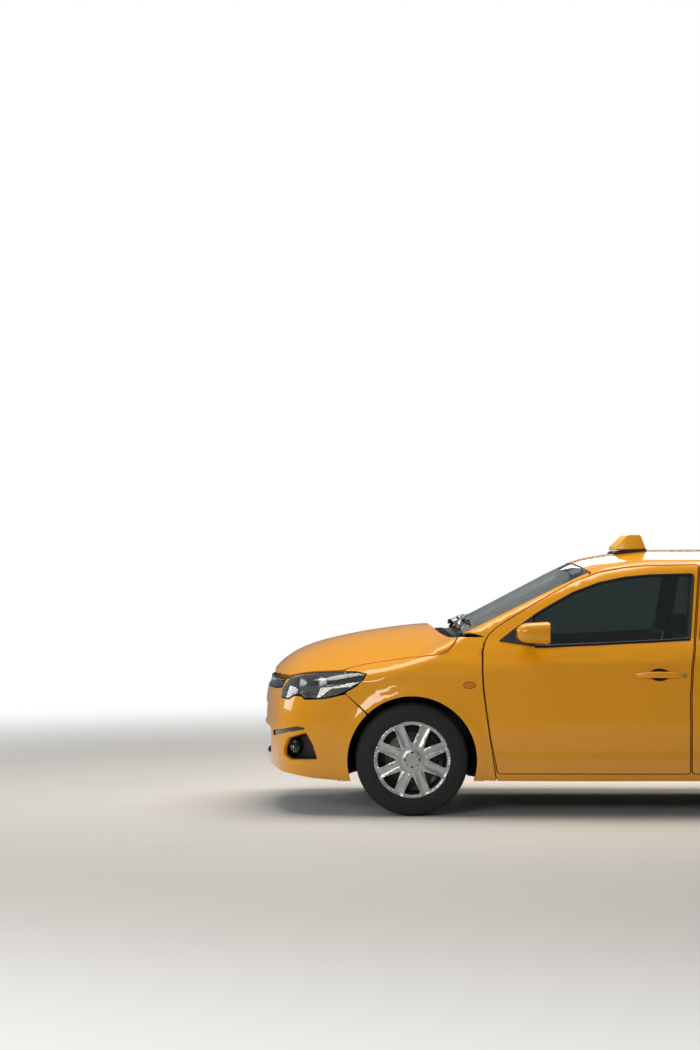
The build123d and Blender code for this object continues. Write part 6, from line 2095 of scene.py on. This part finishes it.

# %% [markdown]
# ## Seats
# Each front seat has a cushion, a backrest and a headrest on two steel
# posts. The rear bench is one wide cushion with a tall backrest. The covers are charcoal
# cloth with a patterned middle. A cloth simulation fills each cover with air, the way
# foam does, so that it swells between its seams; the swell of a point is limited.

# %% Soft cushions
SWELL = 0.012
VOXEL = 0.011


def pad_mesh(outline, low, high, crown, axes):
    """A thick crowned slab: the start of a cushion, a little smaller than the finished one."""
    return raised(outline, 30 * MM, 0.030, low, high, crown, axes)


def soft_cover(name, mesh, materials, pick, replaced=(), swell=SWELL):
    """Turns a pad into a swollen cushion and gives it to the body of the car."""
    data = bpy.data.meshes.new(name)
    data.from_pydata([tuple(map(float, p)) for p in mesh[0]], [], mesh[1])
    piece = bpy.data.objects.new(name, data)
    bpy.context.scene.collection.objects.link(piece)
    bpy.context.view_layer.objects.active = piece
    remesh = piece.modifiers.new("remesh", "REMESH")
    remesh.mode = "VOXEL"
    remesh.voxel_size = VOXEL
    bpy.context.view_layer.update()
    shaped = bpy.data.meshes.new_from_object(piece.evaluated_get(bpy.context.evaluated_depsgraph_get()))
    piece.modifiers.clear()
    piece.data = shaped
    shaped.name = name
    start = np.array([v.co[:] for v in shaped.vertices])
    cloth = piece.modifiers.new("cloth", "CLOTH")
    cloth.settings.use_pressure = True
    cloth.settings.uniform_pressure_force = 4.0
    cloth.settings.effector_weights.gravity = 0.0
    cloth.settings.quality = 5
    cloth.point_cache.frame_start = 1
    cloth.point_cache.frame_end = 20
    for frame_number in range(1, 21):
        bpy.context.scene.frame_set(frame_number)
    shown = piece.evaluated_get(bpy.context.evaluated_depsgraph_get())
    grown = np.array([v.co[:] for v in shown.data.vertices])
    piece.modifiers.clear()
    bpy.context.scene.frame_set(1)
    step = grown - start
    size = np.linalg.norm(step, axis=1)
    limit = swell * np.tanh(size / swell) / np.maximum(size, 1e-9)
    shaped.vertices.foreach_set("co", (start + step * limit[:, None]).ravel())
    for material in materials:
        shaped.materials.append(material)
    for face in shaped.polygons:
        face.material_index = pick(face.center)
        face.use_smooth = True
    shaped.update()
    smooth = piece.modifiers.new("finish", "SUBSURF")
    smooth.levels = 1
    smooth.render_levels = 1
    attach(piece, "body")
    if replaced:
        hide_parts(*replaced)
    return piece


def along_line(start, end, half, thick):
    """The side-view outline of a pad that lies along a line, as x, z pairs."""
    start, end = np.array(start), np.array(end)
    way = (end - start) / np.linalg.norm(end - start)
    up = np.array([-way[1], way[0]])
    corners = [start - up * half, end - up * half, end + up * (thick - half), start + up * (thick - half)]
    return [(float(x), float(z), 0.045) for x, z in corners]


SEAT_Y = 0.345
SEAT_HALF = 0.215
SEAT_BACK_HALF = 0.205
HEAD_HALF = 0.105
BENCH_HALF = 0.530
BENCH_BASE_HALF = 0.545
CROWN = 0.040


def seat(side, word):
    """One front seat: cushion, backrest, headrest, posts and rails."""
    y = side * SEAT_Y
    middle = lambda centre: 1 if abs(centre[1] - y) < 0.125 else 0
    cushion = pad_mesh(along_line((-0.500, 0.415), (0.020, 0.385), 0.065, 0.135), y - SEAT_HALF,
                       y + SEAT_HALF, CROWN, "xz")
    soft_cover("seat_cushion_" + word, cushion, [CLOTH_DARK, CLOTH_MID], middle, ["front_seat_" + word])
    back = pad_mesh(along_line((0.050, 0.435), (0.150, 0.940), 0.050, 0.105), y - SEAT_BACK_HALF,
                    y + SEAT_BACK_HALF, CROWN, "xz")
    soft_cover("seat_back_" + word, back, [CLOTH_DARK, CLOTH_MID], middle)
    head = pad_mesh(along_line((0.118, 0.985), (0.150, 1.100), 0.036, 0.072), y - HEAD_HALF,
                    y + HEAD_HALF, 0.026, "xz")
    soft_cover("seat_head_" + word, head, [CLOTH_DARK], lambda centre: 0, swell=0.008)
    posts = [tube([(0.122, y + d, 0.920), (0.136, y + d, 1.010)], 0.006, 10) for d in (-0.05, 0.05)]
    rails = [tube([(-0.430, y + d, 0.228), (-0.030, y + d, 0.228)], 0.016, 8) for d in (-0.17, 0.17)]
    frame_legs = [raised([(-0.44, 0.232), (-0.02, 0.232), (0.0, 0.355), (-0.46, 0.355)], 12 * MM, 0.03,
                         y + d - 0.010, y + d + 0.010, 0.003, "xz") for d in (-0.175, 0.175)]
    solid_piece("seat_frame_" + word, "body", [CHROME, DARK_IRON], [merged(*posts),
                                                                   merged(*rails, *frame_legs)])
    plinth = raised([(-0.47, 0.300), (0.05, 0.300), (0.075, 0.400), (-0.49, 0.400)], 20 * MM, 0.03,
                    y - 0.222, y + 0.222, 0.008, "xz")
    solid_piece("seat_valance_" + word, "body", [DASH_SOFT], [plinth])


for side, word in SIDES:
    seat(side, word)
bench_pick = lambda centre: 1 if 0.10 < abs(centre[1]) < 0.44 else 0
bench = pad_mesh(along_line((0.480, 0.400), (0.930, 0.380), 0.080, 0.170), -BENCH_HALF, BENCH_HALF, 0.045,
                 "xz")
soft_cover("bench_cushion", bench, [CLOTH_DARK, CLOTH_MID], bench_pick, ["rear_bench"])
bench_back = pad_mesh(along_line((0.965, 0.440), (1.120, 0.905), 0.050, 0.105), -BENCH_HALF, BENCH_HALF,
                      CROWN, "xz")
soft_cover("bench_back", bench_back, [CLOTH_DARK, CLOTH_MID], bench_pick)
bench_base = raised([(0.450, 0.215), (0.845, 0.215), (0.845, 0.400), (0.450, 0.380)], 20 * MM, 0.03,
                    -BENCH_BASE_HALF, BENCH_BASE_HALF, 0.010, "xz")
shelf = raised(rectangle(1.110, 1.175, -0.545, 0.545), 10 * MM, 0.04, 0.922, 0.937, 0.004, "xy")
solid_piece("bench_base", "body", [CARPET, TRIM_GREY], [bench_base, shelf])
print("seats built")

# %% [markdown]
# ## Dashboard and steering wheel
# The dashboard is a soft dark moulding with a hood over the dials, round vents, a blank
# screen and a console. The steering wheel has a padded rim, three spokes and a blank
# airbag cover. Pedals, a gear lever and a hand brake stand where the driver needs them.

# %% Dashboard
DASH_SIDE = [(-1.020, 0.660), (-0.740, 0.640, 0.03), (-0.690, 0.760, 0.03), (-0.705, 0.860, 0.04),
             (-0.760, 0.905, 0.04), (-0.900, 0.925, 0.03), (-1.020, 0.915)]
dash = raised(DASH_SIDE, 10 * MM, 0.02, -0.665, 0.665, 0.012, "xz")
hood_side = [(-0.860, 0.880), (-0.690, 0.850, 0.01), (-0.672, 0.925, 0.02), (-0.760, 0.962, 0.03),
             (-0.870, 0.940, 0.02)]
hood = raised(hood_side, 8 * MM, 0.012, -0.510, -0.190, 0.022, "xz")
console = raised([(-0.760, 0.300), (-0.560, 0.300), (-0.580, 0.500, 0.04), (-0.680, 0.700), (-0.720, 0.840),
                  (-0.780, 0.840)], 12 * MM, 0.03, -0.105, 0.105, 0.012, "xz")
tunnel = raised([(-0.600, 0.240), (0.420, 0.240), (0.420, 0.420, 0.05), (-0.200, 0.420),
                 (-0.560, 0.400, 0.03)], 12 * MM, 0.04, -0.085, 0.085, 0.018, "xz")
solid_piece("dashboard_shell", "body", [DASH_SOFT, TRIM_GREY], [merged(dash, hood),
                                                               merged(console, tunnel)],
            ["dashboard"], sharp=50)


def facing_rear(profile, x, y, z, lean=0.0, count=28):
    """A turned part whose axis points to the rear of the car."""
    v, f = spun(profile, count)
    v = np.column_stack([-v[:, 1], v[:, 0], v[:, 2]])
    c, s = math.cos(lean), math.sin(lean)
    v = np.column_stack([c * v[:, 0] - s * v[:, 2], v[:, 1], s * v[:, 0] + c * v[:, 2]])
    return v + np.array([x, y, z]), f


VENT = [(0.038, 0.0), (0.038, -0.010), (0.033, -0.012), (0.030, -0.004), (0.0001, -0.004)]
vents, fins, knobs = [], [], []
for y in (-0.580, -0.075, 0.075, 0.580):
    vents.append(facing_rear(VENT, -0.700, y, 0.825, 0.1))
    for k in (-2, -1, 0, 1, 2):
        half = math.sqrt(max(0.0, 0.028 ** 2 - (0.010 * k) ** 2))
        fins.append(tube([(-0.692, y - half, 0.825 + 0.010 * k), (-0.692, y + half, 0.825 + 0.010 * k)],
                         0.0022, 6, flatten=0.5))
for k in (-1, 0, 1):
    knobs.append(facing_rear([(0.021, 0.0), (0.021, -0.010), (0.018, -0.020), (0.0001, -0.021)],
                             -0.668, 0.060 * k, 0.660, 0.25))
dials = [facing_rear([(0.052, 0.0), (0.052, -0.008), (0.048, -0.010), (0.046, -0.003), (0.0001, -0.003)],
                     -0.690, -0.350 + 0.085 * k, 0.900, 0.3) for k in (-1, 1)]
screen_box = raised(rectangle(-0.090, 0.090, 0.700, 0.785), 8 * MM, 0.02, -0.700, -0.684, 0.003, "yz")
glove = raised(rectangle(0.200, 0.560, 0.680, 0.800), 16 * MM, 0.03, -0.720, -0.686, 0.006, "yz")
strip = raised(rectangle(-0.620, 0.620, 0.768, 0.778), 3 * MM, 0.05, -0.710, -0.690, 0.002, "yz")
solid_piece("dash_fittings", "body", [LIGHT_TRIM, BLACK_TRIM, GLOSS_BLACK, DASH_SOFT],
            [merged(strip, *knobs), merged(*fins, *vents), merged(*dials, screen_box), glove])

# %% Steering wheel
HUB = np.array([-0.555, -0.350, 0.852])
TILT = math.atan2(0.065, 0.140)
ct, st = math.cos(TILT), math.sin(TILT)


def on_wheel(points):
    """Points in the plane of the steering wheel: across, up, and out to the driver."""
    p = np.array(points, float)
    across, up, out = p[:, 0], p[:, 1], p[:, 2]
    return HUB + np.column_stack([ct * out - st * up, across, st * out + ct * up])


RIM_R = 0.174
ring_run = on_wheel([(RIM_R * math.cos(t), RIM_R * math.sin(t), 0.014) for t in circle(48)])
rim = tube(ring_run, 0.0138, 14, closed=True)
SPOKE = [(0.04, 0.004), (0.11, 0.002), (0.172, 0.013)]
spokes = [tube(on_wheel([(r * math.cos(t), r * math.sin(t), out) for r, out in SPOKE]),
               [0.026, 0.019, 0.013], 12, flatten=0.5) for t in np.radians((8, 172, 270))]
AIRBAG = [(0.070, -0.010), (0.072, 0.004), (0.068, 0.018), (0.052, 0.028), (0.026, 0.032), (0.0001, 0.033)]
cover_rows = [on_wheel([(r * 1.08 * math.cos(t), r * 0.92 * math.sin(t), out) for t in circle(36)])
              for r, out in AIRBAG]
airbag = (np.vstack(cover_rows), bands(len(cover_rows), 36))
column = tube([HUB + [-0.165, 0, -0.077], HUB + [-0.090, 0, -0.042], HUB + [-0.010, 0, -0.005]],
              [0.046, 0.050, 0.034], 18)
stalks = [tube([HUB + [-0.060, 0.0, -0.020], HUB + [-0.055, 0.080 * s, -0.012],
                HUB + [-0.050, 0.165 * s, 0.000]], [0.008, 0.007, 0.009], 10) for s in (-1, 1)]
solid_piece("steering_rim", "body", [DASH_SOFT, LIGHT_TRIM, BLACK_TRIM],
            [merged(rim, airbag), merged(*spokes), merged(column, *stalks)], ["steering_wheel"], sharp=60)
lever = tube([(-0.420, 0.0, 0.420), (-0.425, 0.0, 0.480), (-0.432, 0.0, 0.530)], [0.016, 0.008, 0.007], 12)
knob = facing_rear([(0.0001, -0.024), (0.017, -0.018), (0.023, 0.0), (0.017, 0.018), (0.0001, 0.022)],
                   -0.433, 0.0, 0.545, 0.0, 20)
brake = tube([(0.150, 0.0, 0.432), (0.020, 0.0, 0.462), (-0.060, 0.0, 0.480)], [0.015, 0.016, 0.012], 12)
pedals = [raised(rectangle(y - 0.028, y + 0.028, z, z + 0.055), 6 * MM, 0.02, -0.905, -0.895, 0.002,
                 "yz") for y, z in ((-0.450, 0.320), (-0.350, 0.320), (-0.240, 0.300))]
pedal_arms = [tube([(-0.902, y, 0.360), (-0.930, y, 0.500), (-0.935, y, 0.660)], 0.007, 8)
              for y in (-0.450, -0.350, -0.240)]
solid_piece("driver_controls", "body", [BLACK_TRIM, CHROME, RUBBER, DARK_IRON],
            [merged(knob, brake), lever, merged(*pedals), merged(*pedal_arms)])
mirror_box = raised([(-0.115, 1.262), (0.115, 1.262), (0.120, 1.318), (-0.120, 1.318)], 18 * MM, 0.02,
                    -0.402, -0.378, 0.008, "yz")
mirror_face = raised([(-0.108, 1.267), (0.108, 1.267), (0.112, 1.312), (-0.112, 1.312)], 14 * MM, 0.02,
                     -0.378, -0.3765, 0.0, "yz")
mirror_arm = tube([(-0.400, 0, 1.300), (-0.420, 0, 1.330), (-0.428, 0, 1.352)], 0.008, 10)
solid_piece("cabin_mirror", "body", [BLACK_TRIM, MIRROR_GLASS], [merged(mirror_box, mirror_arm),
                                                                mirror_face])
print("dashboard and controls built")

# %% [markdown]
# ## Floor, engine bay and boot
# A moulded carpet lines the cabin. The engine lies across the car under a ribbed plastic
# cover, with its gearbox, pulleys, radiator, battery and tanks round it. The boot has a
# felt floor and side linings. The chassis parts keep their own shapes and get real
# finishes: sealant, black wax, cast iron and galvanised pipe.

# %% Carpets and boot lining
cabin_floor = raised([(-1.030, -0.480), (-0.930, -0.640), (0.840, -0.640), (0.840, 0.640), (-0.930, 0.640),
                      (-1.030, 0.480)], 60 * MM, 0.06, 0.2115, 0.222, 0.004, "xy")
toe_board = raised([(-1.030, 0.222), (-0.930, 0.222), (-1.020, 0.420), (-1.030, 0.640), (-1.046, 0.640),
                    (-1.046, 0.222)], 3 * MM, 0.03, -0.480, 0.480, 0.003, "xz")
mats = [raised(rectangle(-0.900, -0.560, y - 0.20, y + 0.20), 30 * MM, 0.03, 0.222, 0.229, 0.002,
               "xy") for y in (-0.345, 0.345)]
boot_floor = raised(rectangle(1.205, 2.030, -0.520, 0.520), 60 * MM, 0.05, 0.4215, 0.431, 0.004, "xy")
boot_front = raised(rectangle(-0.560, 0.560, 0.430, 0.915), 30 * MM, 0.05, 1.2015, 1.210, 0.003, "yz")
boot_sides = [raised([(1.215, 0.432), (2.020, 0.432), (2.020, 0.640), (1.900, 0.830), (1.600, 0.880),
                      (1.215, 0.905)], 40 * MM, 0.05, s * 0.545, s * 0.552, 0.0, "xz") for s in (-1, 1)]
solid_piece("cabin_carpet", "body", [CARPET, RUBBER], [merged(cabin_floor, toe_board), merged(*mats)],
            sharp=50)
solid_piece("boot_lining", "body", [CARPET], [merged(boot_floor, boot_front, *boot_sides)], sharp=50)

# %% Engine and gearbox
ENGINE_PAINT = plain_finish("grey iron engine paint", "#55585A", 0.50, metallic=0.6, grain=0.9 * MM,
                            bump=0.12 * MM)
block = raised([(-1.800, 0.272), (-1.500, 0.272), (-1.470, 0.420), (-1.470, 0.600), (-1.790, 0.600),
                (-1.830, 0.400)], 16 * MM, 0.03, -0.200, 0.240, 0.010, "xz")
head = raised([(-1.800, 0.600), (-1.480, 0.600), (-1.490, 0.700), (-1.780, 0.705)], 14 * MM, 0.03, -0.210,
              0.235, 0.008, "xz")
bell = tube([(-1.640, -0.200, 0.420), (-1.640, -0.260, 0.420), (-1.635, -0.325, 0.400)],
            [0.150, 0.135, 0.080], 28)
ribs = [raised(rectangle(-1.815, -1.500, z, z + 0.008), 2 * MM, 0.05, -0.206, 0.246, 0.001,
               "xz") for z in (0.340, 0.400, 0.460, 0.520)]
cover_side = [(-1.795, 0.705), (-1.470, 0.700), (-1.470, 0.735, 0.02), (-1.520, 0.760, 0.02),
              (-1.770, 0.768, 0.02), (-1.795, 0.745, 0.02)]
cam_cover = raised(cover_side, 5 * MM, 0.014, -0.195, 0.220, 0.016, "xz")
cover_ribs = [raised([(-1.760, 0.760), (-1.530, 0.752), (-1.530, 0.762), (-1.760, 0.772)], 2 * MM, 0.05,
                     y - 0.006, y + 0.006, 0.002, "xz") for y in (-0.13, -0.08, -0.03, 0.02, 0.07, 0.12,
                                                                  0.17)]
filler = spun([(0.0001, 0.016), (0.020, 0.016), (0.026, 0.012), (0.028, 0.0), (0.028, -0.010)], 24)
filler = (np.column_stack([filler[0][:, 0], filler[0][:, 2], filler[0][:, 1]]) + [-1.560, -0.120, 0.764],
          filler[1])
runners = [tube([(-1.470, y, 0.650), (-1.430, y, 0.690), (-1.400, y, 0.670), (-1.390, y, 0.610),
                 (-1.398, y, 0.560)], 0.021, 14) for y in (-0.15, -0.04, 0.07, 0.18)]
plenum = tube([(-1.402, -0.210, 0.545), (-1.402, 0.0, 0.545), (-1.402, 0.240, 0.545)], 0.042, 20)
shield = raised([(-1.875, 0.560), (-1.835, 0.560), (-1.812, 0.690, 0.03), (-1.850, 0.700, 0.02)], 5 * MM,
                0.014, -0.150, 0.190, 0.010, "xz")
pulley = spun([(0.020, 0.0), (0.072, 0.0), (0.074, 0.004), (0.068, 0.010), (0.074, 0.016), (0.072, 0.020),
               (0.020, 0.020), (0.016, 0.028), (0.0001, 0.028)], 36)
pulleys = [moved(pulley, (-1.640, 0.250, 0.370)), moved((pulley[0] * [0.75, 1, 0.75], pulley[1]),
                                                        (-1.740, 0.250, 0.530)),
           moved((pulley[0] * [0.6, 1, 0.6], pulley[1]), (-1.560, 0.250, 0.560))]
belt_loop = rounded([(-1.690, 0.300, 0.05), (-1.575, 0.310, 0.05), (-1.515, 0.560, 0.045),
                     (-1.600, 0.610, 0.02), (-1.745, 0.590, 0.04), (-1.798, 0.520, 0.04)], 30 * MM, 0.015)
belt_out, belt_in = belt_loop, moved_in(belt_loop, 5 * MM)
n = len(belt_loop)
belt_v = np.vstack([np.column_stack([l[:, 0], np.full(n, y), l[:, 1]])
                    for l, y in ((belt_out, 0.253), (belt_out, 0.267), (belt_in, 0.267), (belt_in, 0.253))])
belt_f = [(k * n + i, k * n + (i + 1) % n, ((k + 1) % 4) * n + (i + 1) % n, ((k + 1) % 4) * n + i)
          for k in range(4) for i in range(n)]
alternator = tube([(-1.745, 0.100, 0.530), (-1.745, 0.120, 0.530), (-1.745, 0.235, 0.530)],
                  [0.050, 0.062, 0.062], 24)
solid_piece("engine_unit", "body", [ENGINE_PAINT, ALLOY, BLACK_TRIM, CAST_IRON, RUBBER],
            [merged(block, *ribs), merged(head, bell, alternator, *runners, plenum),
             merged(cam_cover, filler, *cover_ribs), merged(shield, *pulleys), (belt_v, belt_f)],
            ["engine_block"], sharp=38)

# %% Round the engine
core = raised(rectangle(-0.360, 0.360, 0.330, 0.640), 6 * MM, 0.05, -1.985, -1.957, 0.004, "yz")
core_fins = [tube([(-1.956, -0.340, z), (-1.956, 0.340, z)], 0.0022, 6)
             for z in np.arange(0.345, 0.63, 0.012)]
FAN_Y, FAN_Z = 0.09, 0.480
FAN_RING = [(0.150, -1.945), (0.158, -1.945), (0.158, -1.920), (0.150, -1.920), (0.150, -1.945)]
fan_ring = [[(x, FAN_Y + r * math.cos(t), FAN_Z + r * math.sin(t)) for t in circle(40)]
            for r, x in FAN_RING]
fan_frame = (np.vstack(fan_ring), bands(len(fan_ring), 40))
blades = []
for t0 in circle(7):
    run = [(-1.930 + 0.004 * j, FAN_Y + r * math.cos(t0 + 0.12 * j), FAN_Z + r * math.sin(t0 + 0.12 * j))
           for j, r in enumerate((0.030, 0.070, 0.110, 0.145))]
    blades.append(tube(run, [0.012, 0.020, 0.026, 0.024], 8, flatten=0.25))
fan_hub = facing_rear([(0.038, 0.0), (0.036, -0.016), (0.0001, -0.020)], -1.935, FAN_Y, FAN_Z)
top_beam = raised(rectangle(-2.010, -1.950, 0.640, 0.668), 5 * MM, 0.03, -0.420, 0.420, 0.004, "xz")
battery = raised(rectangle(-1.560, -1.390, -0.440, -0.240), 8 * MM, 0.03, 0.560, 0.740, 0.005, "xy")
tray = raised(rectangle(-1.580, -1.370, -0.455, -0.235), 8 * MM, 0.03, 0.545, 0.565, 0.003, "xy")
terminals = [tube([(x, -0.400, 0.738), (x, -0.400, 0.756)], 0.009, 12) for x in (-1.530, -1.420)]
tank = raised(rectangle(-1.330, -1.200, 0.300, 0.420), 25 * MM, 0.02, 0.600, 0.760, 0.012, "xy")
tank_cap = tube([(-1.265, 0.360, 0.757), (-1.265, 0.360, 0.778)], 0.026, 20)
washer = raised(rectangle(-1.880, -1.780, 0.330, 0.440), 20 * MM, 0.02, 0.510, 0.680, 0.010, "xy")
washer_cap = tube([(-1.830, 0.385, 0.678), (-1.830, 0.385, 0.698)], 0.022, 20)
airbox = raised(rectangle(-1.360, -1.180, -0.160, 0.100), 22 * MM, 0.03, 0.560, 0.730, 0.012, "xy")
hoses = [tube([(-1.950, -0.25, 0.600), (-1.905, -0.255, 0.625), (-1.850, -0.240, 0.640),
               (-1.800, -0.200, 0.650)], 0.019, 12),
         tube([(-1.950, 0.30, 0.380), (-1.905, 0.300, 0.370), (-1.850, 0.270, 0.372),
               (-1.790, 0.230, 0.380)], 0.019, 12),
         tube([(-1.400, 0.235, 0.560), (-1.380, 0.200, 0.640), (-1.330, 0.110, 0.680),
               (-1.290, 0.060, 0.690)], 0.030, 14)]
TANK_WHITE = plain_finish("translucent tank plastic", "#D9DAD2", 0.35, grain=4 * MM, bump=0.03 * MM,
                          Subsurface_Weight=0.3, Subsurface_Scale=0.008)
sides = [raised([(-2.050, s * 0.355), (-1.745, s * 0.355), (-1.745, s * 0.700), (-1.930, s * 0.660),
                 (-2.050, s * 0.560)], 15 * MM, 0.03, 0.452, 0.458, 0.001, "xy") for s in (-1, 1)]
solid_piece("engine_bay_fittings", "body", [ALLOY, BLACK_TRIM, TANK_WHITE, CAST_IRON, RUBBER, DARK_IRON],
            [merged(core, *core_fins), merged(fan_frame, fan_hub, *blades, battery, airbox, tank_cap,
                                              washer_cap), merged(tank, washer), merged(*terminals),
             merged(*hoses), merged(top_beam, tray, *sides)], sharp=40)

# %% Finishes on the chassis
CHASSIS = {"floor_pan": PRIMER, "front_subframe": DARK_IRON, "knuckle_left": CAST_IRON,
           "knuckle_right": CAST_IRON, "rear_axle": DARK_IRON, "exhaust": GALVANISED}
for name, material in CHASSIS.items():
    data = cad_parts[name].data
    data.materials.clear()
    data.materials.append(material)
shown = [o.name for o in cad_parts.values() if not o.hide_render]
print("chassis finished; CAD nodes still shown:", sorted(shown))

# %% [markdown]
# ## Studio and camera
# The car stands on a pale, plain floor under large soft lights. The camera stands where
# the photograph was taken from: level with the windows, far away, and square to the
# side, with the front wheel left of the middle. Its long lens keeps the shape true.

# %% Camera
FOCAL = 85.0
scene = bpy.context.scene
lens = bpy.data.cameras.new("camera")
lens.sensor_width = 36.0
lens.sensor_fit = "AUTO"
lens.lens = FOCAL
camera = bpy.data.objects.new("camera", lens)
scene.collection.objects.link(camera)
camera.location = (-1.732, -14.45, 1.417)
camera.rotation_euler = (math.radians(90.0 + 0.762), 0.0, 0.0)
scene.camera = camera

# %% [markdown]
# ## Floor and lights
# One large panel overhead gives the long soft highlight on the bonnet and roof, a lower
# one at the camera's side fills the flank, and a rim light behind parts the roof from
# the background. The floor is a matt pale grey, so the shadow under the car is plain.

# %% Floor and lights
floor_mesh = bpy.data.meshes.new("floor")
floor_mesh.from_pydata([(-40, -40, 0), (40, -40, 0), (40, 40, 0), (-40, 40, 0)], [], [(0, 1, 2, 3)])
floor = bpy.data.objects.new("floor", floor_mesh)
scene.collection.objects.link(floor)
floor_stuff, floor_tree, floor_shader = start_material("studio floor", Roughness=0.75)
vary(floor_tree, floor_shader, 0.8, srgb("#D2D1CD"), 0.03, (0.70, 0.80))
spot = add_node(floor_tree, "ShaderNodeTexCoord")
away = add_node(floor_tree, "ShaderNodeVectorMath", {0: spot.outputs["Object"]}, operation="LENGTH")
fade = add_node(floor_tree, "ShaderNodeMapRange", {"Value": away.outputs["Value"]},
                interpolation_type="SMOOTHSTEP", From_Min=4.2, From_Max=10.0, To_Min=0.0, To_Max=1.0)
clear = add_node(floor_tree, "ShaderNodeBsdfTransparent")
floor_mix = add_node(floor_tree, "ShaderNodeMixShader", {0: fade.outputs["Result"],
                                                        1: floor_shader.outputs["BSDF"],
                                                        2: clear.outputs["BSDF"]})
floor_end = [n for n in floor_tree.nodes if n.type == "OUTPUT_MATERIAL"][0]
floor_tree.links.new(floor_mix.outputs["Shader"], floor_end.inputs["Surface"])
floor.data.materials.append(floor_stuff)


def soft_light(name, place, aim, wide, high, power, tint="#FFFFFF"):
    """A rectangular studio light that points at a place on the car."""
    data = bpy.data.lights.new(name, "AREA")
    data.shape = "RECTANGLE"
    data.size = wide
    data.size_y = high
    data.energy = power
    data.color = srgb(tint)[:3]
    lamp = bpy.data.objects.new(name, data)
    lamp.location = place
    lamp.rotation_euler = (Vector(aim) - Vector(place)).to_track_quat("-Z", "Y").to_euler()
    scene.collection.objects.link(lamp)


soft_light("overhead", (-0.5, 0.6, 5.2), (-0.2, 0, 0.6), 7.0, 2.4, 300.0, "#FFF6EA")
soft_light("side fill", (-4.5, -8.5, 3.0), (-0.5, -0.5, 0.7), 4.0, 1.6, 190.0, "#FFF8EE")
soft_light("front fill", (-9.0, 1.0, 2.6), (-1.5, 0, 0.7), 4.0, 2.4, 160.0)
soft_light("rim", (2.5, 7.5, 4.2), (0.2, 0, 1.0), 7.0, 1.6, 260.0, "#FFF3E2")

world = bpy.data.worlds.new("studio")
scene.world = world
world.use_nodes = True
sky = world.node_tree
sky.nodes.clear()
path = add_node(sky, "ShaderNodeLightPath")
first = add_node(sky, "ShaderNodeMath", {0: path.outputs["Is Camera Ray"],
                                         1: path.outputs["Is Transmission Ray"]}, operation="MAXIMUM")
glow = add_node(sky, "ShaderNodeBackground", Color=srgb("#C9D2DE"), Strength=0.32)
white = add_node(sky, "ShaderNodeBackground", Color=(1.0, 1.0, 1.0, 1.0), Strength=1.0)
pick = add_node(sky, "ShaderNodeMixShader", {0: first.outputs["Value"]})
sky.links.new(glow.outputs["Background"], pick.inputs[1])
sky.links.new(white.outputs["Background"], pick.inputs[2])
add_node(sky, "ShaderNodeOutputWorld", {"Surface": pick.outputs["Shader"]})
scene.view_settings.view_transform = "Standard"
print("camera and lights set")
